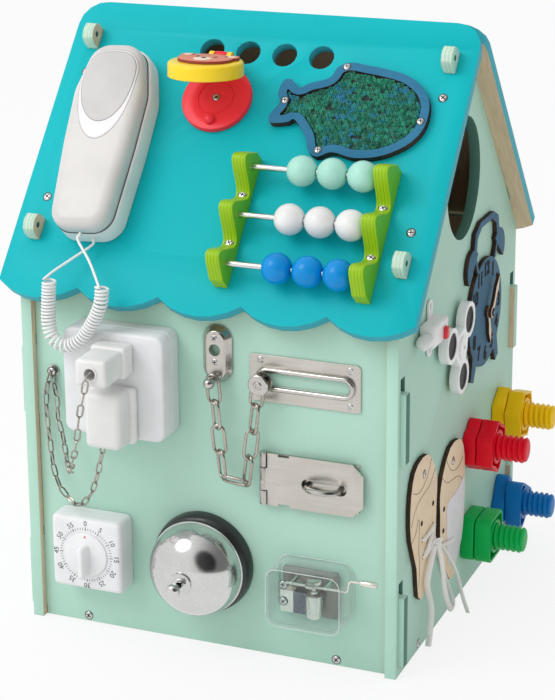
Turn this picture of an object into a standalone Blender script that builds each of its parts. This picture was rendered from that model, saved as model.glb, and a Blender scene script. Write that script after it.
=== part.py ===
"""Tabletop activity house: a plywood house whose roof and walls carry small
locks, switches and toys. Metres, +Z up, +X along the front wall, front at -Y,
origin on the surface it stands on, midway between the four walls."""
import bpy
import bmesh
from math import acos, cos, hypot, pi, radians, sin, sqrt, tan
from mathutils import Matrix, Vector

# House
CLEAR = 0.0003
HOUSE_WIDTH = 0.316
HOUSE_DEPTH = 0.316
PLY = 0.009
WALL_SET_BACK = 0.006
ROOF_PITCH = radians(50)
RIDGE_HEIGHT = 0.487
ROOF_LENGTH = 0.256
ROOF_OVERHANG = 0.015
ROOF_CORNER = 0.022
SCALLOPS = 5
SCALLOP_DEPTH = 0.012
EAR_WIDTH = 0.018
EAR_HEIGHT = 0.016
EAR_ROUND = 0.0075
EAR_HOLE = 0.0025
EAR_PLACES = (0.0358, 0.210)
TAB_REACH = 0.0045
TABS = ((0.008, 0.066), (0.176, 0.232))
TAB_DROP = 0.012
SLOT_CLEAR = 0.0004
PEG_HOLE = 0.0105
PEG_HOLE_PITCH = 0.0314
PEG_HOLE_FIRST = -0.0476
PEG_HOLE_PLACE = 0.0389
PEG_HOLES = 4
WINDOW_HALF_WIDTH = 0.044
WINDOW_HALF_HEIGHT = 0.050
WINDOW_HEIGHT = 0.363
OVERRUN = 0.004
WELD = 0.00001

# Telephone
PHONE_X = -0.108
PHONE_PLACE = 0.130
PHONE_LEAN = radians(4)
PHONE_LENGTH = 0.178
PHONE_WIDTH = 0.066
CRADLE_THICK = 0.022
CRADLE_EDGE = 0.004
HANDSET_THICK = 0.021
HANDSET_EDGE = 0.008
HANDSET_INSET = 0.003
HANDSET_OVERHANG = 0.007
CORD_WIRE = 0.00105
CORD_GAP = 0.0005
COIL_RADIUS = 0.0048
COIL_POINTS = 8

# Peekaboo disc
PEEK_X = -0.0305
PEEK_PLACE = 0.0835
PEEK_RADIUS = 0.029
PEEK_THICK = 0.005
PEEK_RECESS = 0.015
PEEK_RECESS_DEPTH = 0.002
PEEK_KNOB = 0.0042
PEEK_KNOB_PLACE = 0.0205
LID_RADIUS = 0.030
LID_THICK = 0.012
LID_WALL = 0.0022
LID_AXIS = 0.031
LID_AXIS_HEIGHT = 0.0155
LID_OPEN = radians(51)
LID_KNUCKLE = 0.004
LID_PIN = 0.0015
LID_LUG_WIDTH = 0.010
LID_EAR_WIDTH = 0.004
BEAR_HEAD = 0.0165
BEAR_EAR = 0.006
BEAR_THICK = 0.002

# Abacus
ABACUS_LEFT = 0.009
ABACUS_RIGHT = 0.135
ABACUS_RAIL = 0.0115
ABACUS_TOP = 0.1465
ABACUS_PITCH = 0.041
ABACUS_END = 0.014
ABACUS_MIDDLE = 0.0215
ABACUS_WAVE = 0.0105
ROD_HEIGHT = 0.016
ROD_RADIUS = 0.002
BEAD_RADIUS = 0.01215
BEAD_BORE = 0.0025
ROWS = 3
BEADS = 3

# Fish
FISH_X = 0.083
FISH_PLACE = 0.087
FISH_LENGTH = 0.128
FISH_HEIGHT = 0.084
FISH_THICK = 0.0067

# Socket and plugs
SOCKET_X = -0.067
SOCKET_Z = 0.2205
SOCKET_SIZE = 0.086
SOCKET_THICK = 0.029
SOCKET_EDGE = 0.005
BLADE_WIDTH = 0.0063
BLADE_THICK = 0.0015
BLADE_LENGTH = 0.016
BLADE_CLEAR = 0.0004
BLADE_SPACING = 0.0127
UPPER_PLUG_X = -0.063
UPPER_PLUG_Z = 0.2448
UPPER_PLUG_WIDTH = 0.026
UPPER_PLUG_HEIGHT = 0.0215
UPPER_PLUG_LENGTH = 0.045
UPPER_PLUG_BORE = 0.0045
UPPER_PLUG_BORE_DEPTH = 0.012
UPPER_FLANGE_LENGTH = 0.016
UPPER_FLANGE_STEP = 0.0018
LOWER_PLUG_X = -0.0643
LOWER_PLUG_Z = 0.1993
LOWER_PLUG_WIDTH = 0.0305
LOWER_PLUG_HEIGHT = 0.0455
LOWER_PLUG_LENGTH = 0.026
LOWER_FLANGE_LENGTH = 0.008
LOWER_FLANGE_STEP = 0.004
PLUG_EDGE = 0.003
ANCHOR_X = -0.1338
ANCHOR_Z = 0.2153
ANCHOR_RADIUS = 0.005
ANCHOR_THICK = 0.0045
CHAIN_WIRE = 0.0011

# Door chain
KEEPER_X = 0.010
KEEPER_Z = 0.2475
KEEPER_WIDTH = 0.0247
KEEPER_HEIGHT = 0.047
KEEPER_PLATE = 0.0015
KEEPER_BLOCK_WIDTH = 0.0165
KEEPER_BLOCK_HEIGHT = 0.039
KEEPER_BLOCK = 0.0075
KEYHOLE = 0.00475
KEYHOLE_Z = 0.2517
STUD_Z = 0.2285
STUD_NECK = 0.0019
STUD_BALL = 0.0046
TRACK_X = 0.08175
TRACK_Z = 0.232
TRACK_WIDTH = 0.0905
TRACK_HEIGHT = 0.038
TRACK_PLATE = 0.0015
TRACK_CORNER = 0.003
SLOT_LEFT = 0.0455
SLOT_RIGHT = 0.1188
SLOT_WIDTH = 0.011
SLOT_RIM = 0.004
SLOT_RIM_HEIGHT = 0.005
SLIDER_STEM = 0.0026
SLIDER_DROP = 0.0015
SLIDER_IN = 0.0021
SLIDER_WASHER = 0.00825
SLIDER_WASHER_THICK = 0.0016
LINK_WIRE = 0.0013
LINK_WIDTH = 0.0100
LINK_HEIGHT = 0.0128
LINK_TURN = radians(40)
CHAIN_PLAY = 0.0034
LEG_FOOT = (0.0376, 0.1485)
KEEPER_LEG_LOW = (0.0180, 0.1510)
LEG_LINKS = 4

# Hasp
HASP_AXIS_X = 0.0485
HASP_AXIS_HEIGHT = 0.0042
HASP_KNUCKLE = 0.0033
HASP_PIN = 0.0014
HASP_BOTTOM = 0.130
HASP_TOP = 0.173
HASP_KNUCKLE_LOW = 0.142
HASP_KNUCKLE_HIGH = 0.161
STRAP_RIGHT = 0.131
STRAP_THICK = 0.0018
STRAP_HEIGHT = 0.0045
STRAP_CHAMFER = 0.009
STRAP_SLOT_LEFT = 0.0805
STRAP_SLOT_RIGHT = 0.1175
STRAP_SLOT_Z = 0.151
STRAP_SLOT_WIDTH = 0.010
HASP_PLATE = 0.0015
HASP_PLATE_RIGHT = 0.126
STAPLE_LEFT = 0.086
STAPLE_RIGHT = 0.112
STAPLE_WIRE = 0.0024
STAPLE_REACH = 0.017

# Timer
TIMER_X = -0.099
TIMER_Z = 0.070
TIMER_SIZE = 0.062
TIMER_THICK = 0.022
TIMER_EDGE = 0.003
DIAL_RADIUS = 0.0165
DIAL_THICK = 0.003
DIAL_RIDGE_WIDTH = 0.006
DIAL_RIDGE = 0.010
DIAL_SPINDLE = 0.003
DIAL_SPINDLE_DEPTH = 0.008

# Bell
BELL_X = -0.0045
BELL_Z = 0.0715
BELL_BASE_RADIUS = 0.042
BELL_BASE_THICK = 0.012
DOME_RADIUS = 0.039
DOME_LOW = 0.0145
DOME_TOP = 0.047
DOME_WALL = 0.0015
BELL_POST = 0.007
PLUNGER_STEM = 0.0022
PLUNGER_BUTTON = 0.0055
PLUNGER_TIP = 0.065
PLUNGER_TRAVEL = 0.004
PLUNGER_BORE_DEPTH = 0.016

# Music box
BOX_X = 0.090
BOX_Z = 0.0643
BOX_WIDTH = 0.062
BOX_HEIGHT = 0.0485
BOX_DEPTH = 0.031
BOX_WALL = 0.0018
BOX_CORNER = 0.009
BED_THICK = 0.002
BED_HEIGHT = 0.006
BED_LEFT = 0.0655
BED_RIGHT = 0.112
BED_LOW = 0.0435
BED_HIGH = 0.0825
BED_FOOT = 0.0025
DRUM_X = 0.0945
DRUM_HEIGHT = 0.0155
DRUM_RADIUS = 0.0066
DRUM_LOW = 0.0475
DRUM_HIGH = 0.0655
DRUM_ARBOR = 0.0013
GEAR_TEETH = 14
GEAR_ROOT = 0.0042
GEAR_TIP = 0.0054
GEAR_LOW = 0.0745
GEAR_HIGH = 0.0785
BEARING_THICK = 0.002
BEARING_WIDTH = 0.006
COMB_THICK = 0.0009
COMB_TEETH = 7
COMB_TIP_CLEAR = 0.0008
COMB_BACK = 0.0665
COMB_ROOT = 0.0785
CRANK_Z = 0.0765
CRANK_HEIGHT = 0.0245
CRANK_SHAFT = 0.0011
CRANK_INNER = 0.0745
CRANK_OUT = 0.1235
CRANK_ARM_RUN = 0.0045
CRANK_ARM = 0.0095
CRANK_HANDLE_START = 0.1365
CRANK_HANDLE_END = 0.1485
CRANK_HANDLE = 0.0026
WORM_RADIUS = 0.0029
WORM_PITCH = 0.0022
WORM_TURNS = 3
POST_LEFT = 0.0795
POST_RIGHT = 0.1075
POST_WIDTH = 0.0030

# Clock
CLOCK_Y = 0.0555
CLOCK_Z = 0.236
CLOCK_RADIUS = 0.0465
CLOCK_THICK = 0.004
BELL_HALF = 0.016
HANDLE_BAND = 0.0055
HAND_THICK = 0.0028
HAND_PIN = 0.0022
HAND_HUB = 0.0052
MINUTE_LENGTH = 0.034
HOUR_LENGTH = 0.030
HAND_WIDTH = 0.0065
MINUTE_ANGLE = radians(35)
HOUR_ANGLE = radians(167)
HAND_GAP = 0.0004

# Push light
LIGHT_Y = -0.0945
LIGHT_Z = 0.265
LIGHT_LENGTH = 0.035
LIGHT_HEIGHT = 0.018
LIGHT_THICK = 0.013
LIGHT_EDGE = 0.0015
LIGHT_EAR = 0.0055
LIGHT_EAR_REACH = 0.014
LIGHT_EAR_THICK = 0.002
LIGHT_EAR_Y = -0.088
BULB_RADIUS = 0.006
BULB_LENGTH = 0.014
BULB_DROP = 0.002
BUTTON_Y = -0.086
BUTTON_Z = 0.2625
BUTTON_WIDTH = 0.0065
BUTTON_HEIGHT = 0.0095
BUTTON_PROUD = 0.003
BUTTON_DEEP = 0.004
BUTTON_TRAVEL = 0.002

# Spinner
SPINNER_Y = -0.0326
SPINNER_Z = 0.233
SPINNER_ARM = 0.0265
SPINNER_LOBE = 0.0148
SPINNER_NECK = radians(148)
SPINNER_THICK = 0.0075
SPINNER_CAP = 0.0095
SPINNER_CAP_THICK = 0.0015
SPINNER_WELL = 0.011
SPINNER_WELL_DEPTH = 0.0015
SPINNER_PIN = 0.003
SPINNER_COLLAR = 0.0055
SPINNER_COLLAR_THICK = 0.0032
SPINNER_TURN = radians(41)

# Bolts and nuts
BOLT_HEAD = 0.0115
NUT_START = 0.0125
NUT_THICK = 0.0135
STUD_CREST = 0.011
STUD_LENGTH = 0.051
STUD_DOME = 0.003
NUT_WALL = 0.0026
NUT_COLLAR = 0.0145
NUT_HOLLOW = 0.008
NUT_CLEAR = 0.0004
HEX_CENTRE = (0.112, 0.128)
FLOWER_CENTRE = (0.027, 0.129)
TRIANGLE_CENTRE = (0.116, 0.044)
SQUARE_CENTRE = (0.026, 0.049)
HEX_RADIUS = 0.0226
HEX_TURN = radians(16)
FLOWER_RADIUS = 0.0225
FLOWER_WAVE = 0.0018
TRIANGLE_RADIUS = 0.031
TRIANGLE_ROUND = 0.008
TRIANGLE_TURN = radians(-90)
SQUARE_SIDE = 0.038
SQUARE_ROUND = 0.007

# Shoes and lace
SHOE_Y = -0.1045
SHOE_Z = 0.1068
SHOE_LENGTH = 0.116
SHOE_WIDTH = 0.067
SHOE_THICK = 0.004
RIGHT_SHOE_Y = -0.0293
RIGHT_SHOE_Z = 0.090
LACE_HOLE = 0.002
LACE = 0.0016
KNOT = 0.0045
KNOT_FOOT = 0.0036


# Scene
for old in list(bpy.data.objects):
    bpy.data.objects.remove(old, do_unlink=True)
scene = bpy.context.scene
parts = bpy.data.collections.new("activity_house")
cutters = bpy.data.collections.new("cutters")
scene.collection.children.link(parts)
scene.collection.children.link(cutters)


def paint(name, color, roughness, metallic=0, alpha=1):
    material = bpy.data.materials.new(name)
    material.use_nodes = True
    shader = material.node_tree.nodes["Principled BSDF"]
    shader.inputs["Base Color"].default_value = (*color, 1)
    shader.inputs["Roughness"].default_value = roughness
    shader.inputs["Metallic"].default_value = metallic
    shader.inputs["Alpha"].default_value = alpha
    return material


mint = paint("mint_paint", (0.45, 0.69, 0.57), 0.6)
teal = paint("teal_paint", (0.0, 0.50, 0.55), 0.5)
bare_ply = paint("bare_plywood", (0.74, 0.62, 0.44), 0.7)
white_plastic = paint("white_plastic", (0.85, 0.85, 0.85), 0.3)
grey_plastic = paint("pale_grey_plastic", (0.74, 0.73, 0.72), 0.3)
black_plastic = paint("black_plastic", (0.02, 0.02, 0.02), 0.35)
red_plastic = paint("red_plastic", (0.75, 0.01, 0.03), 0.3)
yellow_plastic = paint("yellow_plastic", (0.95, 0.65, 0.0), 0.3)
blue_plastic = paint("blue_plastic", (0.0, 0.13, 0.50), 0.3)
green_plastic = paint("green_plastic", (0.0, 0.38, 0.09), 0.3)
lime_paint = paint("lime_paint", (0.25, 0.60, 0.02), 0.45)
blue_stain = paint("blue_stain", (0.04, 0.19, 0.36), 0.65)
clear_plastic = paint("clear_plastic", (0.9, 0.95, 0.95), 0.1, alpha=0.3)
steel = paint("brushed_steel", (0.60, 0.57, 0.54), 0.3, 1)
chrome = paint("chrome", (0.8, 0.8, 0.8), 0.06, 1)
pale_ply = paint("pale_plywood", (0.80, 0.66, 0.46), 0.65)
lace_cotton = paint("lace_cotton", (0.88, 0.87, 0.84), 0.85)
bead_colors = (
    paint("mint_bead", (0.42, 0.80, 0.70), 0.3),
    paint("white_bead", (0.88, 0.88, 0.88), 0.3),
    paint("blue_bead", (0.0, 0.22, 0.62), 0.3),
)


# Frames: X and Y lie in the face, Z points out of it
def face_frame(name, place, x_axis, y_axis):
    x_axis = Vector(x_axis)
    y_axis = Vector(y_axis)
    turn = Matrix((x_axis, y_axis, x_axis.cross(y_axis))).transposed().to_4x4()
    frame = bpy.data.objects.new(name, None)
    frame.matrix_world = Matrix.Translation(place) @ turn
    parts.objects.link(frame)
    return frame


WALL_FACE = HOUSE_DEPTH / 2 - WALL_SET_BACK
up_slope = (0, cos(ROOF_PITCH), sin(ROOF_PITCH))
down_back = (0, -cos(ROOF_PITCH), sin(ROOF_PITCH))
roof = face_frame("roof_frame", (0, 0, RIDGE_HEIGHT), (1, 0, 0), up_slope)
rear_roof = face_frame("rear_roof_frame", (0, 0, RIDGE_HEIGHT), (-1, 0, 0), down_back)
front = face_frame("front_frame", (0, -WALL_FACE, 0), (1, 0, 0), (0, 0, 1))
rear = face_frame("rear_frame", (0, WALL_FACE, 0), (-1, 0, 0), (0, 0, 1))
side = face_frame("side_frame", (HOUSE_WIDTH / 2, 0, 0), (0, 1, 0), (0, 0, 1))
bpy.context.view_layer.update()


def place(obj, frame, at=(0, 0, 0), x_axis=(1, 0, 0), y_axis=(0, 1, 0)):
    x_axis = Vector(x_axis)
    y_axis = Vector(y_axis)
    turn = Matrix((x_axis, y_axis, x_axis.cross(y_axis))).transposed().to_4x4()
    obj.parent = frame
    obj.matrix_basis = Matrix.Translation(at) @ turn
    return obj


def part(name, mesh, material, frame, at=(0, 0, 0), x_axis=(1, 0, 0), y_axis=(0, 1, 0), smooth=True):
    obj = bpy.data.objects.new(name, mesh)
    parts.objects.link(obj)
    mesh.name = name
    mesh.materials.clear()
    mesh.materials.append(material)
    if smooth:
        mesh.shade_smooth()
        mesh.set_sharp_from_angle(angle=radians(35))
    return place(obj, frame, at, x_axis, y_axis)


def tool(mesh, frame, at=(0, 0, 0), x_axis=(1, 0, 0), y_axis=(0, 1, 0)):
    obj = bpy.data.objects.new("cutter", mesh)
    cutters.objects.link(obj)
    obj.hide_render = True
    obj.display_type = "WIRE"
    return place(obj, frame, at, x_axis, y_axis)


def combine(obj, other, operation):
    modifier = obj.modifiers.new(operation.lower(), "BOOLEAN")
    modifier.operation = operation
    modifier.object = other
    modifier.solver = "EXACT"
    return modifier


def cut(obj, *others):
    for other in others:
        combine(obj, other, "DIFFERENCE")


def join(obj, *others):
    for other in others:
        combine(obj, other, "UNION")


def bevel(obj, width, segments=2):
    modifier = obj.modifiers.new("rounded_edges", "BEVEL")
    modifier.width = width
    modifier.segments = segments
    modifier.limit_method = "ANGLE"
    modifier.angle_limit = radians(50)
    return modifier


# Outlines
def circle(radius, count=24, at=(0, 0), turn=0):
    step = 2 * pi / count
    turns = [turn + i * step for i in range(count)]
    return [(at[0] + radius * cos(a), at[1] + radius * sin(a)) for a in turns]


def oval(half_width, half_height, count=32, at=(0, 0)):
    return [(at[0] + half_width * x, at[1] + half_height * y) for x, y in circle(1, count)]


def rounded(points, radii, steps=4):
    """A polygon whose corners are arcs of the given radii."""
    if not isinstance(radii, (list, tuple)):
        radii = [radii] * len(points)
    result = []
    for i, radius in enumerate(radii):
        corner = Vector(points[i])
        before = (Vector(points[i - 1]) - corner).normalized()
        after = (Vector(points[(i + 1) % len(points)]) - corner).normalized()
        if not radius:
            result.append(tuple(corner))
            continue
        half = acos(max(-1, min(1, before.dot(after)))) / 2
        centre = corner + (before + after).normalized() * (radius / sin(half))
        start = corner + before * (radius / tan(half)) - centre
        end = corner + after * (radius / tan(half)) - centre
        sweep = start.angle_signed(end)
        for k in range(steps + 1):
            spoke = start.copy()
            spoke.rotate(Matrix.Rotation(-sweep * k / steps, 2))
            result.append(tuple(centre + spoke))
    return result


def rectangle(low_x, low_y, high_x, high_y, radius=0, steps=3):
    return rounded([(low_x, low_y), (high_x, low_y), (high_x, high_y), (low_x, high_y)], radius, steps)


def slot(low_x, low_y, high_x, high_y, steps=4):
    radius = min(high_x - low_x, high_y - low_y) / 2 - WELD
    return rectangle(low_x, low_y, high_x, high_y, radius, steps)


def shifted(loop, x, y):
    return [(a + x, b + y) for a, b in loop]


def turned_loop(loop, angle):
    return [(a * cos(angle) - b * sin(angle), a * sin(angle) + b * cos(angle)) for a, b in loop]


def smooth_loop(points, steps=3, closed=True):
    """Catmull-Rom curve through a closed or open row of points."""
    result = []
    count = len(points)
    spans = count if closed else count - 1
    for i in range(spans):
        if closed:
            row = [Vector(points[(i + k) % count]) for k in (-1, 0, 1, 2)]
        else:
            row = [Vector(points[max(0, min(count - 1, i + k))]) for k in (-1, 0, 1, 2)]
        for s in range(steps):
            t = s / steps
            a, b, c, d = row
            p = b * 2 + (c - a) * t + (a * 2 - b * 5 + c * 4 - d) * t ** 2
            p = p + (b * 3 - a - c * 3 + d) * t ** 3
            result.append(tuple(p / 2))
    if not closed:
        result.append(tuple(points[-1]))
    return result


# Meshes
def evaluated(curve):
    obj = bpy.data.objects.new("outline", curve)
    scene.collection.objects.link(obj)
    graph = bpy.context.evaluated_depsgraph_get()
    mesh = bpy.data.meshes.new_from_object(obj.evaluated_get(graph))
    bpy.data.objects.remove(obj, do_unlink=True)
    work = bmesh.new()
    work.from_mesh(mesh)
    bmesh.ops.remove_doubles(work, verts=work.verts, dist=WELD)
    bmesh.ops.recalc_face_normals(work, faces=work.faces)
    work.to_mesh(mesh)
    work.free()
    return mesh


def plate(loops, low, high):
    """Flat outlines, holes included, from height low to height high."""
    curve = bpy.data.curves.new("outline", "CURVE")
    curve.dimensions = "2D"
    curve.fill_mode = "BOTH"
    curve.extrude = (high - low) / 2
    for loop in loops:
        spline = curve.splines.new("POLY")
        spline.points.add(len(loop) - 1)
        for point, (x, y) in zip(spline.points, loop):
            point.co = (x, y, 0, 1)
        spline.use_cyclic_u = True
    mesh = evaluated(curve)
    mesh.transform(Matrix.Translation((0, 0, (low + high) / 2)))
    return mesh


def wire(points, radius, resolution=2, closed=False):
    curve = bpy.data.curves.new("wire", "CURVE")
    curve.dimensions = "3D"
    curve.bevel_depth = radius
    curve.bevel_resolution = resolution
    curve.use_fill_caps = not closed
    spline = curve.splines.new("POLY")
    spline.points.add(len(points) - 1)
    for point, co in zip(spline.points, points):
        point.co = (*co, 1)
    spline.use_cyclic_u = closed
    return evaluated(curve)


def block(low, high):
    mesh = bpy.data.meshes.new("block")
    work = bmesh.new()
    bmesh.ops.create_cube(work, size=1)
    size = Vector(high) - Vector(low)
    centre = (Vector(high) + Vector(low)) / 2
    bmesh.ops.transform(work, matrix=Matrix.Translation(centre) @ Matrix.Diagonal((*size, 1)),
                        verts=work.verts)
    work.to_mesh(mesh)
    work.free()
    return mesh


def ball(radius, at=(0, 0, 0), around=12, rings=8):
    mesh = bpy.data.meshes.new("ball")
    work = bmesh.new()
    bmesh.ops.create_uvsphere(work, u_segments=around, v_segments=rings, radius=radius)
    bmesh.ops.translate(work, verts=work.verts, vec=at)
    work.to_mesh(mesh)
    work.free()
    return mesh


def rod(radius, low, high, count=16, at=(0, 0)):
    """A round bar along Z."""
    mesh = bpy.data.meshes.new("rod")
    work = bmesh.new()
    bmesh.ops.create_cone(work, cap_ends=True, segments=count, radius1=radius, radius2=radius,
                          depth=high - low)
    bmesh.ops.translate(work, verts=work.verts, vec=(at[0], at[1], (low + high) / 2))
    work.to_mesh(mesh)
    work.free()
    return mesh


def profile_mesh(profile, closed):
    mesh = bpy.data.meshes.new("profile")
    verts = [(r, 0, z) for r, z in profile]
    edges = [(i, i + 1) for i in range(len(verts) - 1)]
    if closed:
        edges.append((len(verts) - 1, 0))
    mesh.from_pydata(verts, edges, [])
    return mesh


def spin(obj, steps):
    modifier = obj.modifiers.new("turning", "SCREW")
    modifier.angle = 2 * pi
    modifier.steps = steps
    modifier.render_steps = steps
    modifier.use_merge_vertices = True
    modifier.merge_threshold = WELD
    modifier.use_smooth_shade = True
    return modifier


def turned(name, profile, material, frame, at, steps=24, closed=False, x_axis=(1, 0, 0), y_axis=(0, 1, 0)):
    obj = part(name, profile_mesh(profile, closed), material, frame, at, x_axis, y_axis, smooth=False)
    spin(obj, steps)
    return obj


def turned_tool(profile, frame, at, steps=24, closed=False, x_axis=(1, 0, 0), y_axis=(0, 1, 0)):
    obj = tool(profile_mesh(profile, closed), frame, at, x_axis, y_axis)
    spin(obj, steps)
    return obj


# Gables
def slope(down, height, way):
    """Point of the gable plane at a distance down the slope and a height over the roof."""
    y = way * (down * cos(ROOF_PITCH) + height * sin(ROOF_PITCH))
    return (y, RIDGE_HEIGHT - down * sin(ROOF_PITCH) + height * cos(ROOF_PITCH))


ROOF_UNDERSIDE = -PLY - CLEAR
PEAK_DOWN = -ROOF_UNDERSIDE * tan(ROOF_PITCH)
EAVE_DOWN = (HOUSE_DEPTH / 2 - ROOF_UNDERSIDE * sin(ROOF_PITCH)) / cos(ROOF_PITCH)


def gable_outline():
    points = [(-HOUSE_DEPTH / 2, 0), (HOUSE_DEPTH / 2, 0), slope(EAVE_DOWN, ROOF_UNDERSIDE, 1)]
    radii = [0, 0, 0]
    for way, places in ((1, EAR_PLACES[::-1]), (-1, EAR_PLACES)):
        for down in places:
            for half, high in ((1, 0), (1, 1), (-1, 1), (-1, 0)):
                height = EAR_HEIGHT if high else ROOF_UNDERSIDE
                points.append(slope(down + way * half * EAR_WIDTH / 2, height, way))
                radii.append(EAR_ROUND if high else 0)
        if way > 0:
            points.append(slope(PEAK_DOWN, ROOF_UNDERSIDE, 1))
            radii.append(0)
    points.append(slope(EAVE_DOWN, ROOF_UNDERSIDE, -1))
    radii.append(0)
    return rounded(points, radii, 2)


def gable_holes():
    holes = []
    for way in (-1, 1):
        for down in EAR_PLACES:
            holes.append(circle(EAR_HOLE, 8, slope(down, EAR_HEIGHT / 2, way)))
        outer = way * (WALL_FACE + SLOT_CLEAR)
        inner = way * (WALL_FACE - PLY - SLOT_CLEAR)
        for low, high in TABS:
            holes.append(rectangle(min(outer, inner), low - SLOT_CLEAR, max(outer, inner), high + TAB_DROP))
    return holes


window = oval(WINDOW_HALF_WIDTH, WINDOW_HALF_HEIGHT, 32, (0, WINDOW_HEIGHT))
right_gable = part("right_gable", plate([gable_outline(), window] + gable_holes(), -PLY, 0), mint, side)
pin_height = SPINNER_COLLAR_THICK + SPINNER_THICK - SPINNER_CAP_THICK
collar = [(0, SPINNER_COLLAR_THICK), (SPINNER_COLLAR, SPINNER_COLLAR_THICK), (SPINNER_COLLAR, -CLEAR),
          (0, -CLEAR)]
pin = [(0, pin_height), (SPINNER_PIN, pin_height), (SPINNER_PIN, -PLY / 2), (0, -PLY / 2)]
join(right_gable,
     turned_tool(collar, side, (SPINNER_Y, SPINNER_Z, 0), 16),
     turned_tool(pin, side, (SPINNER_Y, SPINNER_Z, 0), 12))
left_gable = part("left_gable", plate([gable_outline()] + gable_holes(), -HOUSE_WIDTH,
                                      PLY - HOUSE_WIDTH), mint, side)

# Walls and floor
WALL_HALF = HOUSE_WIDTH / 2 - PLY - CLEAR
WALL_TOP = slope((WALL_FACE - ROOF_UNDERSIDE * sin(ROOF_PITCH)) / cos(ROOF_PITCH), ROOF_UNDERSIDE, 1)[1]
tab_half = HOUSE_WIDTH / 2 + TAB_REACH


def wall_outline():
    right_edge = [(WALL_HALF, 0)]
    for low, high in TABS:
        right_edge += [(WALL_HALF, low), (tab_half, low), (tab_half, high), (WALL_HALF, high)]
    right_edge.append((WALL_HALF, WALL_TOP))
    return right_edge + [(-x, z) for x, z in reversed(right_edge)]


front_wall = part("front_wall", plate([wall_outline()], -PLY, 0), mint, front, smooth=False)
back_wall = part("back_wall", plate([wall_outline()], -PLY, 0), mint, rear, smooth=False)
floor_half = WALL_FACE - PLY - CLEAR
floor_board = part("floor_board", block((-WALL_HALF, -floor_half, 0), (WALL_HALF, floor_half, PLY)),
                   bare_ply, None, smooth=False)


# Roof panels
def roof_outline():
    half = HOUSE_WIDTH / 2 + ROOF_OVERHANG
    chord = 2 * half / SCALLOPS
    radius = (chord ** 2 / 4 + SCALLOP_DEPTH ** 2) / (2 * SCALLOP_DEPTH)
    spread = 2 * acos((radius - SCALLOP_DEPTH) / radius)
    points = rounded([(-half, -ROOF_LENGTH / 2), (-half, 0), (half, 0), (half, -ROOF_LENGTH / 2)],
                     [0, ROOF_CORNER, ROOF_CORNER, 0], 4)[1:-1]
    for i in range(SCALLOPS):
        centre = half - chord * (i + 1 / 2)
        for k in range(7 if i == SCALLOPS - 1 else 6):
            angle = spread * (1 / 2 - k / 6)
            drop = SCALLOP_DEPTH - radius + radius * cos(angle)
            points.append((centre + radius * sin(angle), -ROOF_LENGTH - drop))
    return points


def ear_slots():
    loops = []
    inner = HOUSE_WIDTH / 2 - PLY - SLOT_CLEAR
    outer = HOUSE_WIDTH / 2 + SLOT_CLEAR
    for down in EAR_PLACES:
        low = -down - EAR_WIDTH / 2 - SLOT_CLEAR
        high = -down + EAR_WIDTH / 2 + SLOT_CLEAR
        loops.append(rectangle(inner, low, outer, high))
        loops.append(rectangle(-outer, low, -inner, high))
    return loops


peg_holes = [circle(PEG_HOLE, 16, (PEG_HOLE_FIRST + i * PEG_HOLE_PITCH,
                                   -PEG_HOLE_PLACE)) for i in range(PEG_HOLES)]


def mitred(mesh):
    """The panel's ridge edge brought back to the upright plane between both panels."""
    for vertex in mesh.vertices:
        limit = (vertex.co.z * sin(ROOF_PITCH) - CLEAR / 2) / cos(ROOF_PITCH)
        vertex.co.y = min(vertex.co.y, limit)
    return mesh


front_roof = part("front_roof", mitred(plate([roof_outline()] + ear_slots() + peg_holes, -PLY, 0)),
                  teal, roof)
back_roof = part("back_roof", mitred(plate([roof_outline()] + ear_slots(), -PLY, 0)), teal, rear_roof)

# Telephone
phone_y = (sin(PHONE_LEAN), cos(PHONE_LEAN), 0)
phone_x = (cos(PHONE_LEAN), -sin(PHONE_LEAN), 0)
phone_at = (PHONE_X, -PHONE_PLACE, 0)
PHONE_SHARES = ((-0.34, 0.5), (0.34, 0.5), (0.5, 0.24), (0.48, -0.04), (0.40, -0.5), (-0.40, -0.5),
                (-0.48, -0.04),
                (-0.5, 0.24))
PHONE_ROUND_SHARES = (0.24, 0.24, 0.5, 0.6, 0.26, 0.26, 0.6, 0.5)


def phone_outline(inset, overhang):
    width = PHONE_WIDTH - 2 * inset
    top = PHONE_LENGTH / 2 - inset
    bottom = PHONE_LENGTH / 2 + overhang
    points = [(x * width, y * 2 * (top if y > 0 else bottom)) for x, y in PHONE_SHARES]
    return rounded(points, [share * width for share in PHONE_ROUND_SHARES], 2)


phone_cradle = part("phone_cradle", plate([phone_outline(0, 0)], CLEAR, CRADLE_THICK),
                    white_plastic, roof, phone_at, phone_x, phone_y)
bevel(phone_cradle, CRADLE_EDGE, 2)
handset_low = CRADLE_THICK + CLEAR
phone_handset = part("phone_handset", plate([phone_outline(HANDSET_INSET, HANDSET_OVERHANG)],
                                            handset_low, handset_low + HANDSET_THICK),
                     grey_plastic, roof, phone_at, phone_x, phone_y)
bevel(phone_handset, HANDSET_EDGE, 2)

# Curly cord: its centre line hangs in a U over the eave, in front of the wall
COIL_ROUTE = ((-0.0708, -0.1865, 0.3015), (-0.0722, -0.1875, 0.2872), (-0.0800, -0.1882, 0.2705),
              (-0.0905, -0.1884, 0.2568), (-0.1030, -0.1884, 0.2508), (-0.1130, -0.1882, 0.2550),
              (-0.1172, -0.1878, 0.2660), (-0.1172, -0.1870, 0.2840), (-0.1163, -0.1862, 0.3020))


def phone_point(x, y, height):
    world = Matrix(roof.matrix_world)
    offset = Vector(phone_x) * x + Vector(phone_y) * y + Vector((0, 0, height))
    return world @ (Vector(phone_at) + offset)


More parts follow.
